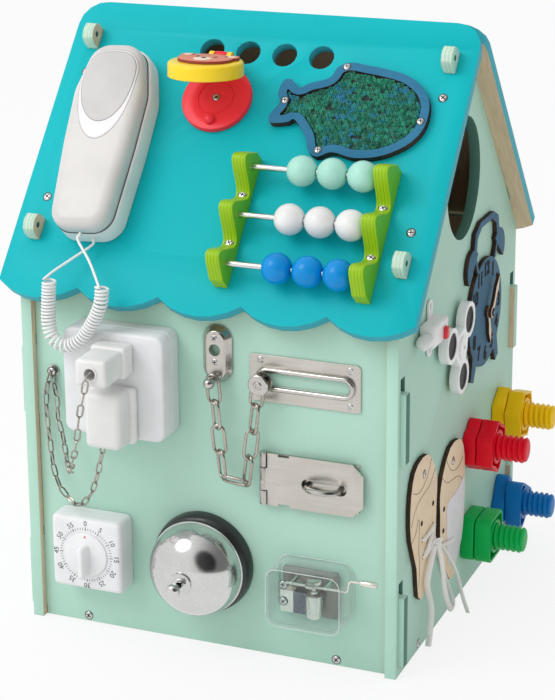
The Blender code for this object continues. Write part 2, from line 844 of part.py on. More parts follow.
def coil_points():
    route = [Vector(p) for p in smooth_loop(COIL_ROUTE, 40, closed=False)]
    tangents = [(route[min(i + 1, len(route) - 1)] - route[max(i - 1,
                                                               0)]).normalized() for i in range(len(route))]
    turns = [0]
    for i in range(1, len(route)):
        run = (route[i] - route[i - 1]).length
        bend = tangents[i].angle(tangents[i - 1]) / run
        pitch = (2 * CORD_WIRE + CORD_GAP) / (1 - min(bend * COIL_RADIUS, 1 / 2) * 1.1)
        turns.append(turns[-1] + run / pitch)
    count = int(turns[-1] * COIL_POINTS)
    points = []
    k = 0
    for n in range(count + 1):
        want = n / COIL_POINTS
        while k < len(turns) - 2 and turns[k + 1] < want:
            k += 1
        share = (want - turns[k]) / (turns[k + 1] - turns[k])
        centre = route[k].lerp(route[k + 1], share)
        along = tangents[k].lerp(tangents[k + 1], share).normalized()
        out = Vector((0, -1, 0))
        out = (out - along * out.dot(along)).normalized()
        across = along.cross(out)
        angle = 2 * pi * want
        points.append(centre + (out * cos(angle) + across * sin(angle)) * COIL_RADIUS)
    return points, int(turns[-1])


coil, curls = coil_points()
handset_exit = phone_point(0.004, -PHONE_LENGTH / 2 - HANDSET_OVERHANG - CLEAR,
                           handset_low + HANDSET_THICK / 2)
cradle_exit = phone_point(0.010, -PHONE_LENGTH / 2 - CLEAR, CRADLE_THICK / 2)
down_slope = -Vector(up_slope)
straight = 2 * CORD_WIRE
start_strand = [handset_exit, handset_exit + down_slope * straight, handset_exit + down_slope * 3 * straight,
                handset_exit.lerp(coil[0], 0.45) - Vector((0, 0, straight)),
                handset_exit.lerp(coil[0], 0.8), coil[0]]
end_strand = [coil[-1], cradle_exit.lerp(coil[-1], 0.8), cradle_exit.lerp(coil[-1],
                                                                          0.45) - Vector((0, 0, straight)),
              cradle_exit + down_slope * 3 * straight, cradle_exit + down_slope * straight, cradle_exit]
cord_path = smooth_loop(start_strand, 3, closed=False)[:-1] + [tuple(p) for p in coil]
cord_path += smooth_loop(end_strand, 3, closed=False)[1:]


def least_gap(points, radius, skip):
    """Least gap of a tube to itself, measured between points and the spans of other turns."""
    rows = [Vector(p) for p in points]
    least = None
    for i in range(0, len(rows)):
        for j in range(i + skip, len(rows) - 1):
            a = rows[j]
            span = rows[j + 1] - a
            share = max(0, min(1, (rows[i] - a).dot(span) / span.length_squared))
            gap = (rows[i] - a - span * share).length - 2 * radius
            if least is None or gap < least:
                least = gap
    return least


phone_curly_cord = part("phone_curly_cord", wire(cord_path, CORD_WIRE, 1), white_plastic, None)
print("curly cord: %d curls, least gap to itself %.2f mm" % (curls,
                                                             least_gap(cord_path, CORD_WIRE, 5) * 1000))

# Peekaboo disc and its lid
peek_at = (PEEK_X, -PEEK_PLACE, 0)
recess_floor = PEEK_THICK - PEEK_RECESS_DEPTH
peekaboo_base = turned("peekaboo_base",
                       [(0, recess_floor), (PEEK_RECESS, recess_floor), (PEEK_RECESS, PEEK_THICK),
                        (PEEK_RADIUS, PEEK_THICK), (PEEK_RADIUS, CLEAR), (0, CLEAR)],
                       red_plastic, roof, peek_at, 24)
knob = tool(ball(PEEK_KNOB, (0, -PEEK_KNOB_PLACE, PEEK_THICK + PEEK_KNOB / 2)), roof, peek_at)
lug_tail = PEEK_RADIUS - OVERRUN
lug = [(LID_AXIS + LID_KNUCKLE * 1.6, 2 * CLEAR), (LID_AXIS + LID_KNUCKLE * 1.6, LID_AXIS_HEIGHT),
       (LID_AXIS + LID_KNUCKLE, LID_AXIS_HEIGHT + LID_KNUCKLE), (LID_AXIS, LID_AXIS_HEIGHT + LID_KNUCKLE),
       (LID_AXIS - LID_KNUCKLE, LID_AXIS_HEIGHT), (LID_AXIS, LID_AXIS_HEIGHT - LID_KNUCKLE),
       (LID_AXIS + 2 * CLEAR, LID_AXIS_HEIGHT - LID_KNUCKLE - CLEAR),
       (LID_AXIS + 2 * CLEAR, PEEK_THICK - CLEAR),
       (lug_tail, PEEK_THICK - CLEAR), (lug_tail, 2 * CLEAR)]
lug_plate = tool(plate([lug, circle(LID_PIN + CLEAR, 12, (LID_AXIS, LID_AXIS_HEIGHT))],
                       -LID_LUG_WIDTH / 2, LID_LUG_WIDTH / 2),
                 roof, peek_at, (0, 1, 0), (0, 0, 1))
join(peekaboo_base, knob, lug_plate)

lid_hinge = bpy.data.objects.new("lid_hinge", None)
parts.objects.link(lid_hinge)
place(lid_hinge, roof, (PEEK_X, LID_AXIS - PEEK_PLACE, LID_AXIS_HEIGHT),
      (1, 0, 0), (0, cos(LID_OPEN), -sin(LID_OPEN)))
bpy.context.view_layer.update()
lid_low = PEEK_THICK + CLEAR - LID_AXIS_HEIGHT
lid_high = lid_low + LID_THICK
bear_high = lid_high + BEAR_THICK
lid_at = (0, -LID_AXIS, 0)
peekaboo_lid = turned("peekaboo_lid",
                      [(0, bear_high), (BEAR_HEAD, bear_high), (BEAR_HEAD, lid_high),
                       (LID_RADIUS, lid_high), (LID_RADIUS, lid_low), (LID_RADIUS - LID_WALL, lid_low),
                       (LID_RADIUS - LID_WALL, lid_high - LID_WALL), (0, lid_high - LID_WALL)],
                      yellow_plastic, lid_hinge, lid_at, 24)
face_low = lid_high - LID_WALL / 2
ear_shift = BEAR_HEAD * 0.78
join(peekaboo_lid,
     tool(rod(BEAR_EAR, face_low, bear_high - CLEAR, 11, (-ear_shift, ear_shift)), lid_hinge, lid_at),
     tool(rod(BEAR_EAR, face_low, bear_high - CLEAR, 11, (ear_shift, ear_shift)), lid_hinge, lid_at))
notch = LID_KNUCKLE + 3 * CLEAR
notch_half = LID_LUG_WIDTH / 2 + 2 * CLEAR
cut(peekaboo_lid, tool(block((-notch_half, -notch, lid_low - OVERRUN),
                             (notch_half, notch, lid_high + OVERRUN)),
                       lid_hinge))
ear_outline = circle(LID_KNUCKLE, 12)
for way in (-1, 1):
    low = min(way * notch_half, way * (notch_half + LID_EAR_WIDTH))
    join(peekaboo_lid, tool(plate([ear_outline], low, low + LID_EAR_WIDTH), lid_hinge, (0, 0, 0),
                            (0, 1, 0), (0, 0, 1)))
    arm_low = (low, -LID_KNUCKLE * 1.8, -LID_KNUCKLE * 0.9)
    join(peekaboo_lid, tool(block(arm_low, (low + LID_EAR_WIDTH, 0, LID_KNUCKLE * 0.3)), lid_hinge))
pin_half = notch_half + LID_EAR_WIDTH / 2
join(peekaboo_lid, tool(rod(LID_PIN, -pin_half, pin_half, 12), lid_hinge, (0, 0, 0), (0, 1, 0), (0, 0, 1)))

# Abacus: two wavy rails and three rods, with three beads on each rod
ABACUS_SPAN = (ROWS - 1) * ABACUS_PITCH + 2 * ABACUS_END
WAVE_STEPS = 24


def rail_outline():
    points = [(ABACUS_TOP - ABACUS_END, CLEAR)]
    for i in range(WAVE_STEPS + 1):
        along = ABACUS_TOP - ABACUS_END + ABACUS_SPAN * i / WAVE_STEPS
        height = ABACUS_MIDDLE + ABACUS_WAVE * cos(2 * pi * (along - ABACUS_TOP) / ABACUS_PITCH)
        points.append((along, height))
    points.append((ABACUS_TOP - ABACUS_END + ABACUS_SPAN, CLEAR))
    return points


rail_axes = ((0, -1, 0), (0, 0, 1))
abacus_frame = part("abacus_frame", plate([rail_outline()], -ABACUS_RAIL / 2, ABACUS_RAIL / 2),
                    lime_paint, roof, (ABACUS_LEFT + ABACUS_RAIL / 2, 0, 0), *rail_axes)
right_rail = tool(plate([rail_outline()], -ABACUS_RAIL / 2, ABACUS_RAIL / 2),
                  roof, (ABACUS_RIGHT - ABACUS_RAIL / 2, 0, 0), *rail_axes)
rod_start = ABACUS_LEFT + ABACUS_RAIL / 2
rod_end = ABACUS_RIGHT - ABACUS_RAIL / 2
rods = [tool(rod(ROD_RADIUS, rod_start, rod_end, 12), roof,
             (0, -ABACUS_TOP - row * ABACUS_PITCH, ROD_HEIGHT),
             (0, 1, 0), (0, 0, 1)) for row in range(ROWS)]
join(abacus_frame, *rods, right_rail)

flat = sqrt(BEAD_RADIUS ** 2 - BEAD_BORE ** 2)
open_angle = acos(flat / BEAD_RADIUS)
bead_profile = []
for k in range(7):
    angle = open_angle + (pi - 2 * open_angle) * k / 6
    bead_profile.append((BEAD_RADIUS * sin(angle), BEAD_RADIUS * cos(angle)))
bead_mesh = profile_mesh(bead_profile, True)
last_bead = ABACUS_RIGHT - ABACUS_RAIL - CLEAR - BEAD_RADIUS
BEAD_STEP = 2 * BEAD_RADIUS + CLEAR
for row, row_name in enumerate(("mint", "white", "blue")):
    for n in range(BEADS):
        x = last_bead - (BEADS - 1 - n) * BEAD_STEP
        bead = part("bead_%s_%d" % (row_name, n + 1), bead_mesh.copy(), bead_colors[row], roof,
                    (x, -ABACUS_TOP - row * ABACUS_PITCH, ROD_HEIGHT), (0, 1, 0), (0, 0, 1), smooth=False)
        spin(bead, 12)

# Fish board: an outline in shares of its length and height
FISH_SHARES = ((0.500, -0.010), (0.484, 0.160), (0.420, 0.300), (0.310, 0.405), (0.170, 0.455),
               (0.060, 0.478),
               (-0.060, 0.498), (-0.140, 0.440), (-0.175, 0.325), (-0.290, 0.255), (-0.355, 0.200),
               (-0.420, 0.280),
               (-0.470, 0.255), (-0.482, 0.120), (-0.455, 0.030), (-0.500, -0.110), (-0.480, -0.190),
               (-0.375, -0.170), (-0.330, -0.140), (-0.235, -0.300), (-0.195, -0.440), (-0.130, -0.498),
               (-0.040, -0.440), (0.100, -0.478), (0.260, -0.440), (0.400, -0.320), (0.478, -0.170))


def fish_outline():
    return smooth_loop([(x * FISH_LENGTH, y * FISH_HEIGHT) for x, y in FISH_SHARES], 2)


def inset_loop(loop, distance):
    """A loop moved inwards along its normals; the loop runs anticlockwise."""
    result = []
    for i, point in enumerate(loop):
        along = (Vector(loop[(i + 1) % len(loop)]) - Vector(loop[i - 1])).normalized()
        result.append(tuple(Vector(point) + Vector((-along.y, along.x)) * distance))
    return result


fish_at = (FISH_X, -FISH_PLACE, 0)
fish_board = part("fish_board", plate([fish_outline()], CLEAR, FISH_THICK), blue_stain, roof, fish_at)

# Wall socket with two plugs
socket_half = SOCKET_SIZE / 2
wall_socket = part("wall_socket", block((-socket_half, -socket_half, CLEAR),
                                        (socket_half, socket_half, SOCKET_THICK)),
                   white_plastic, front, (SOCKET_X, SOCKET_Z, 0))
bevel(wall_socket, SOCKET_EDGE, 2)


def blades(x, z, grow, deep):
    """The two flat contacts of a plug, or with some growth their slots."""
    row = []
    for way in (-1, 1):
        middle = x + way * BLADE_SPACING / 2
        low = (middle - BLADE_THICK / 2 - grow, z - BLADE_WIDTH / 2 - grow, SOCKET_THICK - deep)
        high = (middle + BLADE_THICK / 2 + grow, z + BLADE_WIDTH / 2 + grow, SOCKET_THICK + OVERRUN)
        row.append(tool(block(low, high), front))
    return row


lower_contacts_z = LOWER_PLUG_Z + LOWER_PLUG_HEIGHT / 6
cut(wall_socket, *blades(UPPER_PLUG_X, UPPER_PLUG_Z, BLADE_CLEAR, BLADE_LENGTH + BLADE_CLEAR),
    *blades(LOWER_PLUG_X, lower_contacts_z, BLADE_CLEAR, BLADE_LENGTH + BLADE_CLEAR))
plug_low = SOCKET_THICK + CLEAR


def plug_block(x, z, half_width, half_height, low, high):
    return block((x - half_width, z - half_height, low), (x + half_width, z + half_height, high))


upper_plug = part("upper_plug", plug_block(0, 0, UPPER_PLUG_WIDTH / 2, UPPER_PLUG_HEIGHT / 2, plug_low,
                                           plug_low + UPPER_PLUG_LENGTH),
                  white_plastic, front, (UPPER_PLUG_X, UPPER_PLUG_Z, 0))
bevel(upper_plug, PLUG_EDGE, 2)
flange = tool(plug_block(0, 0, UPPER_PLUG_WIDTH / 2 + UPPER_FLANGE_STEP,
                         UPPER_PLUG_HEIGHT / 2 + UPPER_FLANGE_STEP,
                         plug_low, plug_low + UPPER_FLANGE_LENGTH), front, (UPPER_PLUG_X, UPPER_PLUG_Z, 0))
bevel(flange, PLUG_EDGE / 2, 1)
bore_floor = plug_low + UPPER_PLUG_LENGTH - UPPER_PLUG_BORE_DEPTH
bore = tool(rod(UPPER_PLUG_BORE, bore_floor, plug_low + UPPER_PLUG_LENGTH + OVERRUN, 16),
            front, (UPPER_PLUG_X, UPPER_PLUG_Z, 0))
join(upper_plug, flange, *blades(UPPER_PLUG_X, UPPER_PLUG_Z, 0, BLADE_LENGTH))
cut(upper_plug, bore)
lower_plug = part("lower_plug", plug_block(0, 0, LOWER_PLUG_WIDTH / 2, LOWER_PLUG_HEIGHT / 2, plug_low,
                                           plug_low + LOWER_PLUG_LENGTH),
                  white_plastic, front, (LOWER_PLUG_X, LOWER_PLUG_Z, 0))
bevel(lower_plug, PLUG_EDGE, 2)
flange = tool(plug_block(LOWER_FLANGE_STEP / 2, 0, LOWER_PLUG_WIDTH / 2 + LOWER_FLANGE_STEP / 2,
                         LOWER_PLUG_HEIGHT / 2, plug_low, plug_low + LOWER_FLANGE_LENGTH),
              front, (LOWER_PLUG_X, LOWER_PLUG_Z + CLEAR, 0))
bevel(flange, PLUG_EDGE / 2, 1)
join(lower_plug, flange, *blades(LOWER_PLUG_X, lower_contacts_z, 0, BLADE_LENGTH))


# Links of the door chain
def link_points(length, width, count=4):
    radius = width / 2
    run = length / 2 - radius
    points = []
    for way in (1, -1):
        for k in range(count):
            angle = pi * (k / (count - 1) - 1 / 2)
            points.append((way * (run + radius * cos(angle)), way * radius * sin(angle)))
    return points


def link_mesh(start, end, length, width, radius, turn):
    """A link along the way from start to end, turned about its length."""
    along = (end - start).normalized()
    across = Vector((0, 0, 1)).cross(along).normalized()
    flat_way = across * cos(turn) + along.cross(across) * sin(turn)
    centre = (start + end) / 2
    row = [centre + along * x + flat_way * y for x, y in link_points(length, width)]
    return wire([tuple(p) for p in row], radius, 1, closed=True)


def merged(meshes):
    work = bmesh.new()
    for mesh in meshes:
        work.from_mesh(mesh)
    mesh = bpy.data.meshes.new("merged")
    work.to_mesh(mesh)
    work.free()
    return mesh


# Plug chains: two thin chains from one anchor to both plugs
plug_face = plug_low + UPPER_PLUG_LENGTH
UPPER_CHAIN = ((ANCHOR_X, ANCHOR_Z, 0.0035), (-0.1290, 0.1935, 0.006), (-0.1268, 0.1780, 0.009),
               (-0.1205, 0.1660, 0.014), (-0.1128, 0.1549, 0.024), (-0.0985, 0.1510, 0.044),
               (-0.0865, 0.1665, 0.060), (-0.0775, 0.1865, 0.070), (-0.0711, 0.2126, 0.0765),
               (-0.0668, 0.2270, 0.0780), (-0.0645, 0.2380, 0.0785),
               (UPPER_PLUG_X, UPPER_PLUG_Z, plug_face + 2 * CHAIN_WIRE),
               (UPPER_PLUG_X, UPPER_PLUG_Z, plug_face - 2 * CHAIN_WIRE))
LOWER_CHAIN = ((ANCHOR_X, ANCHOR_Z, 0.0035), (-0.1385, 0.2000, 0.0045), (-0.1390, 0.1800, 0.0050),
               (-0.1365, 0.1560, 0.0060), (-0.1315, 0.1340, 0.010), (-0.1225, 0.1190, 0.014),
               (-0.1048, 0.1126, 0.022), (-0.0920, 0.1230, 0.027), (-0.0840, 0.1380, 0.031),
               (-0.0775, 0.1570, 0.034), (LOWER_PLUG_X - 0.008,
                                          LOWER_PLUG_Z - LOWER_PLUG_HEIGHT / 2 - CHAIN_WIRE - CLEAR, 0.037))
plug_chains = part("plug_chains", wire(smooth_loop(UPPER_CHAIN, 2, closed=False), CHAIN_WIRE, 1), steel,
                   front)
lower_run = tool(wire(smooth_loop(LOWER_CHAIN, 2, closed=False), CHAIN_WIRE, 1), front)
anchor = turned_tool([(0, ANCHOR_THICK), (ANCHOR_RADIUS, ANCHOR_THICK), (ANCHOR_RADIUS, CLEAR), (0, CLEAR)],
                     front, (ANCHOR_X, ANCHOR_Z, 0), 12)
join(plug_chains, anchor, lower_run)

# Door chain: keeper plate, track plate, slider and two legs of links
keeper_half = KEEPER_WIDTH / 2
keeper_tall = KEEPER_HEIGHT / 2
chain_keeper_plate = part("chain_keeper_plate",
                          plate([slot(KEEPER_X - keeper_half, KEEPER_Z - keeper_tall, KEEPER_X + keeper_half,
                                      KEEPER_Z + keeper_tall), circle(KEYHOLE, 12, (KEEPER_X, KEYHOLE_Z))],
                                CLEAR, KEEPER_PLATE), steel, front)
block_half = KEEPER_BLOCK_WIDTH / 2
block_tall = KEEPER_BLOCK_HEIGHT / 2
raised = tool(plate([slot(KEEPER_X - block_half, KEEPER_Z - block_tall, KEEPER_X + block_half,
                          KEEPER_Z + block_tall),
                     circle(KEYHOLE, 12, (KEEPER_X, KEYHOLE_Z))], KEEPER_PLATE - CLEAR, KEEPER_BLOCK), front)
neck_high = LINK_HEIGHT + LINK_WIRE + CLEAR
neck = tool(rod(STUD_NECK, KEEPER_PLATE, neck_high + STUD_BALL, 12), front, (KEEPER_X, STUD_Z, 0))
stud_ball = tool(ball(STUD_BALL, (0, 0, neck_high + STUD_BALL * 0.85), 10, 6), front, (KEEPER_X, STUD_Z, 0))
join(chain_keeper_plate, raised, neck, stud_ball)

track_half = TRACK_WIDTH / 2
track_tall = TRACK_HEIGHT / 2
slot_low = TRACK_Z - SLOT_WIDTH / 2
slot_high = TRACK_Z + SLOT_WIDTH / 2
opening = slot(SLOT_LEFT, slot_low, SLOT_RIGHT, slot_high)
chain_track_plate = part("chain_track_plate",
                         plate([rectangle(TRACK_X - track_half, TRACK_Z - track_tall, TRACK_X + track_half,
                                          TRACK_Z + track_tall, TRACK_CORNER), opening], CLEAR, TRACK_PLATE),
                         steel, front)
rim = tool(plate([slot(SLOT_LEFT - SLOT_RIM, slot_low - SLOT_RIM, SLOT_RIGHT + SLOT_RIM,
                       slot_high + SLOT_RIM),
                  opening], TRACK_PLATE - CLEAR, SLOT_RIM_HEIGHT), front)
join(chain_track_plate, rim)

slider_x = SLOT_LEFT + SLOT_WIDTH / 2 - SLIDER_IN
slider_z = TRACK_Z - SLIDER_DROP
washer_low = LINK_HEIGHT + LINK_WIRE + CLEAR
collar_low = SLOT_RIM_HEIGHT + CLEAR
collar_high = collar_low + SLIDER_WASHER_THICK
chain_slider = turned("chain_slider",
                      [(0, washer_low + SLIDER_WASHER_THICK),
                       (SLIDER_WASHER, washer_low + SLIDER_WASHER_THICK),
                       (SLIDER_WASHER, washer_low), (SLIDER_STEM, washer_low), (SLIDER_STEM, collar_high),
                       (SLIDER_WASHER, collar_high), (SLIDER_WASHER, collar_low),
                       (SLIDER_STEM, collar_low), (SLIDER_STEM, CLEAR), (0, CLEAR)],
                      steel, front, (slider_x, slider_z, 0), 12)
foot = Vector((*LEG_FOOT, LINK_HEIGHT))
keeper_top = Vector((KEEPER_X, STUD_Z, LINK_HEIGHT))
slider_top = Vector((slider_x, slider_z, LINK_HEIGHT))


def chain_leg(name, top, bottom, grip, links, pattern):
    """A run of links from a stud, whose neck it grips from above, to its lowest joint."""
    first = top + Vector((0, grip + LINK_WIRE + CLEAR, 0))
    pitch = (bottom - first).length / links
    groups = ([], [])
    for i in range(links):
        start = first.lerp(bottom, i / links)
        end = first.lerp(bottom, (i + 1) / links)
        groups[i % 2].append(link_mesh(start, end, pitch + 2.2 * LINK_WIRE, LINK_WIDTH, LINK_WIRE,
                                       pattern[i]))
    leg = part(name, merged(groups[0]), steel, front)
    join(leg, tool(merged(groups[1]), front))
    return leg


keeper_low = Vector((*KEEPER_LEG_LOW, LINK_HEIGHT))
door_chain_keeper_leg = chain_leg("door_chain_keeper_leg", keeper_top, keeper_low, STUD_NECK, LEG_LINKS,
                                  (0, LINK_TURN, 0, LINK_TURN))
cross_start = keeper_low + Vector((LINK_WIRE, -LINK_WIRE, 0))
cross_end = foot - Vector((CHAIN_PLAY + 2 * LINK_WIRE, CHAIN_PLAY / 2, 0))
cross = tool(link_mesh(cross_start, cross_end, (cross_end - cross_start).length + 2.2 * LINK_WIRE,
                       LINK_WIDTH * 0.85,
                       LINK_WIRE, LINK_TURN), front)
join(door_chain_keeper_leg, cross)
door_chain_slider_leg = chain_leg("door_chain_slider_leg", slider_top, foot, SLIDER_STEM, LEG_LINKS,
                                  (0, LINK_TURN, -LINK_TURN, LINK_TURN))

# Hasp: fixed leaf with a staple, and a strap on a standing pin
leaf_left = HASP_AXIS_X + HASP_KNUCKLE + CLEAR
leaf = [(HASP_AXIS_X, HASP_BOTTOM + HASP_PLATE), (HASP_PLATE_RIGHT, HASP_BOTTOM + HASP_PLATE),
        (HASP_PLATE_RIGHT, HASP_TOP - HASP_PLATE), (HASP_AXIS_X, HASP_TOP - HASP_PLATE),
        (HASP_AXIS_X, HASP_KNUCKLE_HIGH + HASP_PLATE), (leaf_left, HASP_KNUCKLE_HIGH + HASP_PLATE),
        (leaf_left, HASP_KNUCKLE_LOW - HASP_PLATE), (HASP_AXIS_X, HASP_KNUCKLE_LOW - HASP_PLATE)]
hasp_base = part("hasp_base", plate([leaf], CLEAR, HASP_PLATE + CLEAR), steel, front, smooth=False)
upright = ((0, 0, 1), (1, 0, 0))


def knuckle(low, high, radius, hole=None):
    loops = [circle(radius, 14, (HASP_AXIS_HEIGHT, HASP_AXIS_X))]
    if hole:
        loops.append(circle(hole, 12, (HASP_AXIS_HEIGHT, HASP_AXIS_X)))
    return tool(plate(loops, low, high), front, (0, 0, 0), *upright)


join(hasp_base, knuckle(HASP_BOTTOM, HASP_KNUCKLE_LOW - CLEAR, HASP_KNUCKLE),
     knuckle(HASP_KNUCKLE_HIGH + CLEAR, HASP_TOP, HASP_KNUCKLE),
     knuckle(HASP_KNUCKLE_LOW - OVERRUN, HASP_KNUCKLE_HIGH + OVERRUN, HASP_PIN))
staple_middle = (STAPLE_LEFT + STAPLE_RIGHT) / 2
staple_half = (STAPLE_RIGHT - STAPLE_LEFT) / 2
staple_path = [(STAPLE_LEFT, STRAP_SLOT_Z, HASP_PLATE / 2)]
for k in range(9):
    angle = pi - pi * k / 8
    staple_path.append((staple_middle + staple_half * cos(angle), STRAP_SLOT_Z,
                        STAPLE_REACH - staple_half * 0.62 + staple_half * 0.62 * sin(angle)))
staple_path.append((STAPLE_RIGHT, STRAP_SLOT_Z, HASP_PLATE / 2))
join(hasp_base, tool(wire(staple_path, STAPLE_WIRE, 2), front))

hasp_hinge = bpy.data.objects.new("hasp_hinge", None)
parts.objects.link(hasp_hinge)
place(hasp_hinge, front, (HASP_AXIS_X, 0, HASP_AXIS_HEIGHT))
bpy.context.view_layer.update()
strap_left = HASP_KNUCKLE + 2 * CLEAR
strap_right = STRAP_RIGHT - HASP_AXIS_X
strap_low = STRAP_HEIGHT - HASP_AXIS_HEIGHT
notch_left = strap_left + STRAP_CHAMFER
NOTCH = 0.0022
strap_points = [(strap_left, HASP_BOTTOM), (notch_left, HASP_BOTTOM), (notch_left, HASP_BOTTOM + NOTCH),
                (notch_left + STRAP_CHAMFER, HASP_BOTTOM + NOTCH), (notch_left + STRAP_CHAMFER, HASP_BOTTOM),
                (strap_right - STRAP_CHAMFER, HASP_BOTTOM), (strap_right, HASP_BOTTOM + STRAP_CHAMFER),
                (strap_right, HASP_TOP - STRAP_CHAMFER), (strap_right - STRAP_CHAMFER, HASP_TOP),
                (notch_left + STRAP_CHAMFER, HASP_TOP), (notch_left + STRAP_CHAMFER, HASP_TOP - NOTCH),
                (notch_left, HASP_TOP - NOTCH), (notch_left, HASP_TOP), (strap_left, HASP_TOP),
                (strap_left, HASP_KNUCKLE_HIGH - CLEAR), (0, HASP_KNUCKLE_HIGH - CLEAR),
                (0, HASP_KNUCKLE_LOW + CLEAR), (strap_left, HASP_KNUCKLE_LOW + CLEAR)]
strap_slot = slot(STRAP_SLOT_LEFT - HASP_AXIS_X, STRAP_SLOT_Z - STRAP_SLOT_WIDTH / 2,
                  STRAP_SLOT_RIGHT - HASP_AXIS_X, STRAP_SLOT_Z + STRAP_SLOT_WIDTH / 2)
hasp_strap = part("hasp_strap", plate([strap_points, strap_slot], strap_low, strap_low + STRAP_THICK),
                  steel, hasp_hinge)
strap_knuckle = tool(plate([circle(HASP_KNUCKLE, 14)], HASP_KNUCKLE_LOW + CLEAR, HASP_KNUCKLE_HIGH - CLEAR),
                     hasp_hinge, (0, 0, 0), *upright)
strap_bore = tool(plate([circle(HASP_PIN + CLEAR, 12)], HASP_KNUCKLE_LOW - OVERRUN,
                        HASP_KNUCKLE_HIGH + OVERRUN),
                  hasp_hinge, (0, 0, 0), *upright)
join(hasp_strap, strap_knuckle)
cut(hasp_strap, strap_bore)

# Kitchen timer
timer_half = TIMER_SIZE / 2
timer_case = part("timer_case", block((-timer_half, -timer_half, CLEAR),
                                      (timer_half, timer_half, TIMER_THICK)),
                  white_plastic, front, (TIMER_X, TIMER_Z, 0))
bevel(timer_case, TIMER_EDGE, 2)
cut(timer_case, tool(rod(DIAL_SPINDLE + CLEAR, TIMER_THICK - DIAL_SPINDLE_DEPTH - CLEAR,
                         TIMER_THICK + OVERRUN, 16),
                     front, (TIMER_X, TIMER_Z, 0)))
dial_low = TIMER_THICK + CLEAR
dial_high = dial_low + DIAL_THICK
timer_dial = turned("timer_dial",
                    [(0, dial_high), (DIAL_RADIUS - DIAL_THICK / 3, dial_high),
                     (DIAL_RADIUS, dial_high - DIAL_THICK / 3),
                     (DIAL_RADIUS, dial_low), (DIAL_SPINDLE, dial_low),
                     (DIAL_SPINDLE, dial_low - DIAL_SPINDLE_DEPTH),
                     (0, dial_low - DIAL_SPINDLE_DEPTH)], white_plastic, front, (TIMER_X, TIMER_Z, 0), 24)
ridge_half = DIAL_RADIUS * 0.92
ridge = tool(plate([slot(-DIAL_RIDGE_WIDTH / 2, -ridge_half, DIAL_RIDGE_WIDTH / 2, ridge_half)],
                   dial_high - CLEAR, dial_high + DIAL_RIDGE), front, (TIMER_X, TIMER_Z, 0))
join(timer_dial, ridge)

# Reception bell
bell_at = (BELL_X, BELL_Z, 0)
crown_drop = sqrt(1 - (BELL_POST / (DOME_RADIUS - DOME_WALL)) ** 2)
post_top = DOME_LOW + (DOME_TOP - DOME_WALL - DOME_LOW) * crown_drop - 3 * CLEAR
bell_base = turned("bell_base",
                   [(0, post_top - PLUNGER_BORE_DEPTH), (PLUNGER_STEM + CLEAR,
                                                         post_top - PLUNGER_BORE_DEPTH),
                    (PLUNGER_STEM + CLEAR, post_top), (BELL_POST, post_top), (BELL_POST, BELL_BASE_THICK),
                    (BELL_BASE_RADIUS * 0.9, BELL_BASE_THICK), (BELL_BASE_RADIUS, BELL_BASE_THICK * 0.7),
                    (BELL_BASE_RADIUS, CLEAR), (0, CLEAR)],
                   black_plastic, front, bell_at, 24)


def dome_row(radius, top, low, hole, steps=5):
    """Half section of a flattened dome, from its crown hole to its rim."""
    row = []
    start = hole / radius
    for k in range(steps + 1):
        share = start + (1 - start) * sin(pi / 2 * k / steps)
        row.append((radius * share, low + (top - low) * sqrt(max(0, 1 - share ** 2))))
    return row


crown_hole = PLUNGER_STEM + 2 * CLEAR
outer_row = dome_row(DOME_RADIUS, DOME_TOP, DOME_LOW, crown_hole)
inner_row = dome_row(DOME_RADIUS - DOME_WALL, DOME_TOP - DOME_WALL, DOME_LOW, crown_hole)
bell_dome = turned("bell_dome", outer_row + inner_row[::-1], chrome, front, bell_at, 24, closed=True)
button_low = DOME_TOP + PLUNGER_TRAVEL + 4 * CLEAR
bell_plunger = turned("bell_plunger",
                      [(0, PLUNGER_TIP), (PLUNGER_BUTTON * 0.7, PLUNGER_TIP - PLUNGER_BUTTON * 0.15),
                       (PLUNGER_BUTTON, PLUNGER_TIP - PLUNGER_BUTTON * 0.6),
                       (PLUNGER_BUTTON, button_low + PLUNGER_STEM),
                       (PLUNGER_STEM * 1.5, button_low), (PLUNGER_STEM, button_low),
                       (PLUNGER_STEM, post_top - PLUNGER_BORE_DEPTH + PLUNGER_TRAVEL + 2 * CLEAR),
                       (0, post_top - PLUNGER_BORE_DEPTH + PLUNGER_TRAVEL + 2 * CLEAR)],
                      chrome, front, bell_at, 14)

# Music box: a clear case over the movement, with the crank through its side
case_half = BOX_WIDTH / 2
case_tall = BOX_HEIGHT / 2
case_outline = rectangle(BOX_X - case_half, BOX_Z - case_tall, BOX_X + case_half, BOX_Z + case_tall,
                         BOX_CORNER, 4)
inner_outline = rectangle(BOX_X - case_half + BOX_WALL, BOX_Z - case_tall + BOX_WALL,
                          BOX_X + case_half - BOX_WALL,
                          BOX_Z + case_tall - BOX_WALL, BOX_CORNER - BOX_WALL, 4)
music_box_case = part("music_box_case", plate([case_outline], CLEAR, BOX_DEPTH), clear_plastic, front)
cut(music_box_case, tool(plate([inner_outline], -OVERRUN, BOX_DEPTH - BOX_WALL), front),
    tool(rod(CRANK_SHAFT + CLEAR * 2, BOX_X, BOX_X + case_half + OVERRUN, 12), front,
         (0, CRANK_Z, CRANK_HEIGHT),
         (0, 1, 0), (0, 0, 1)))

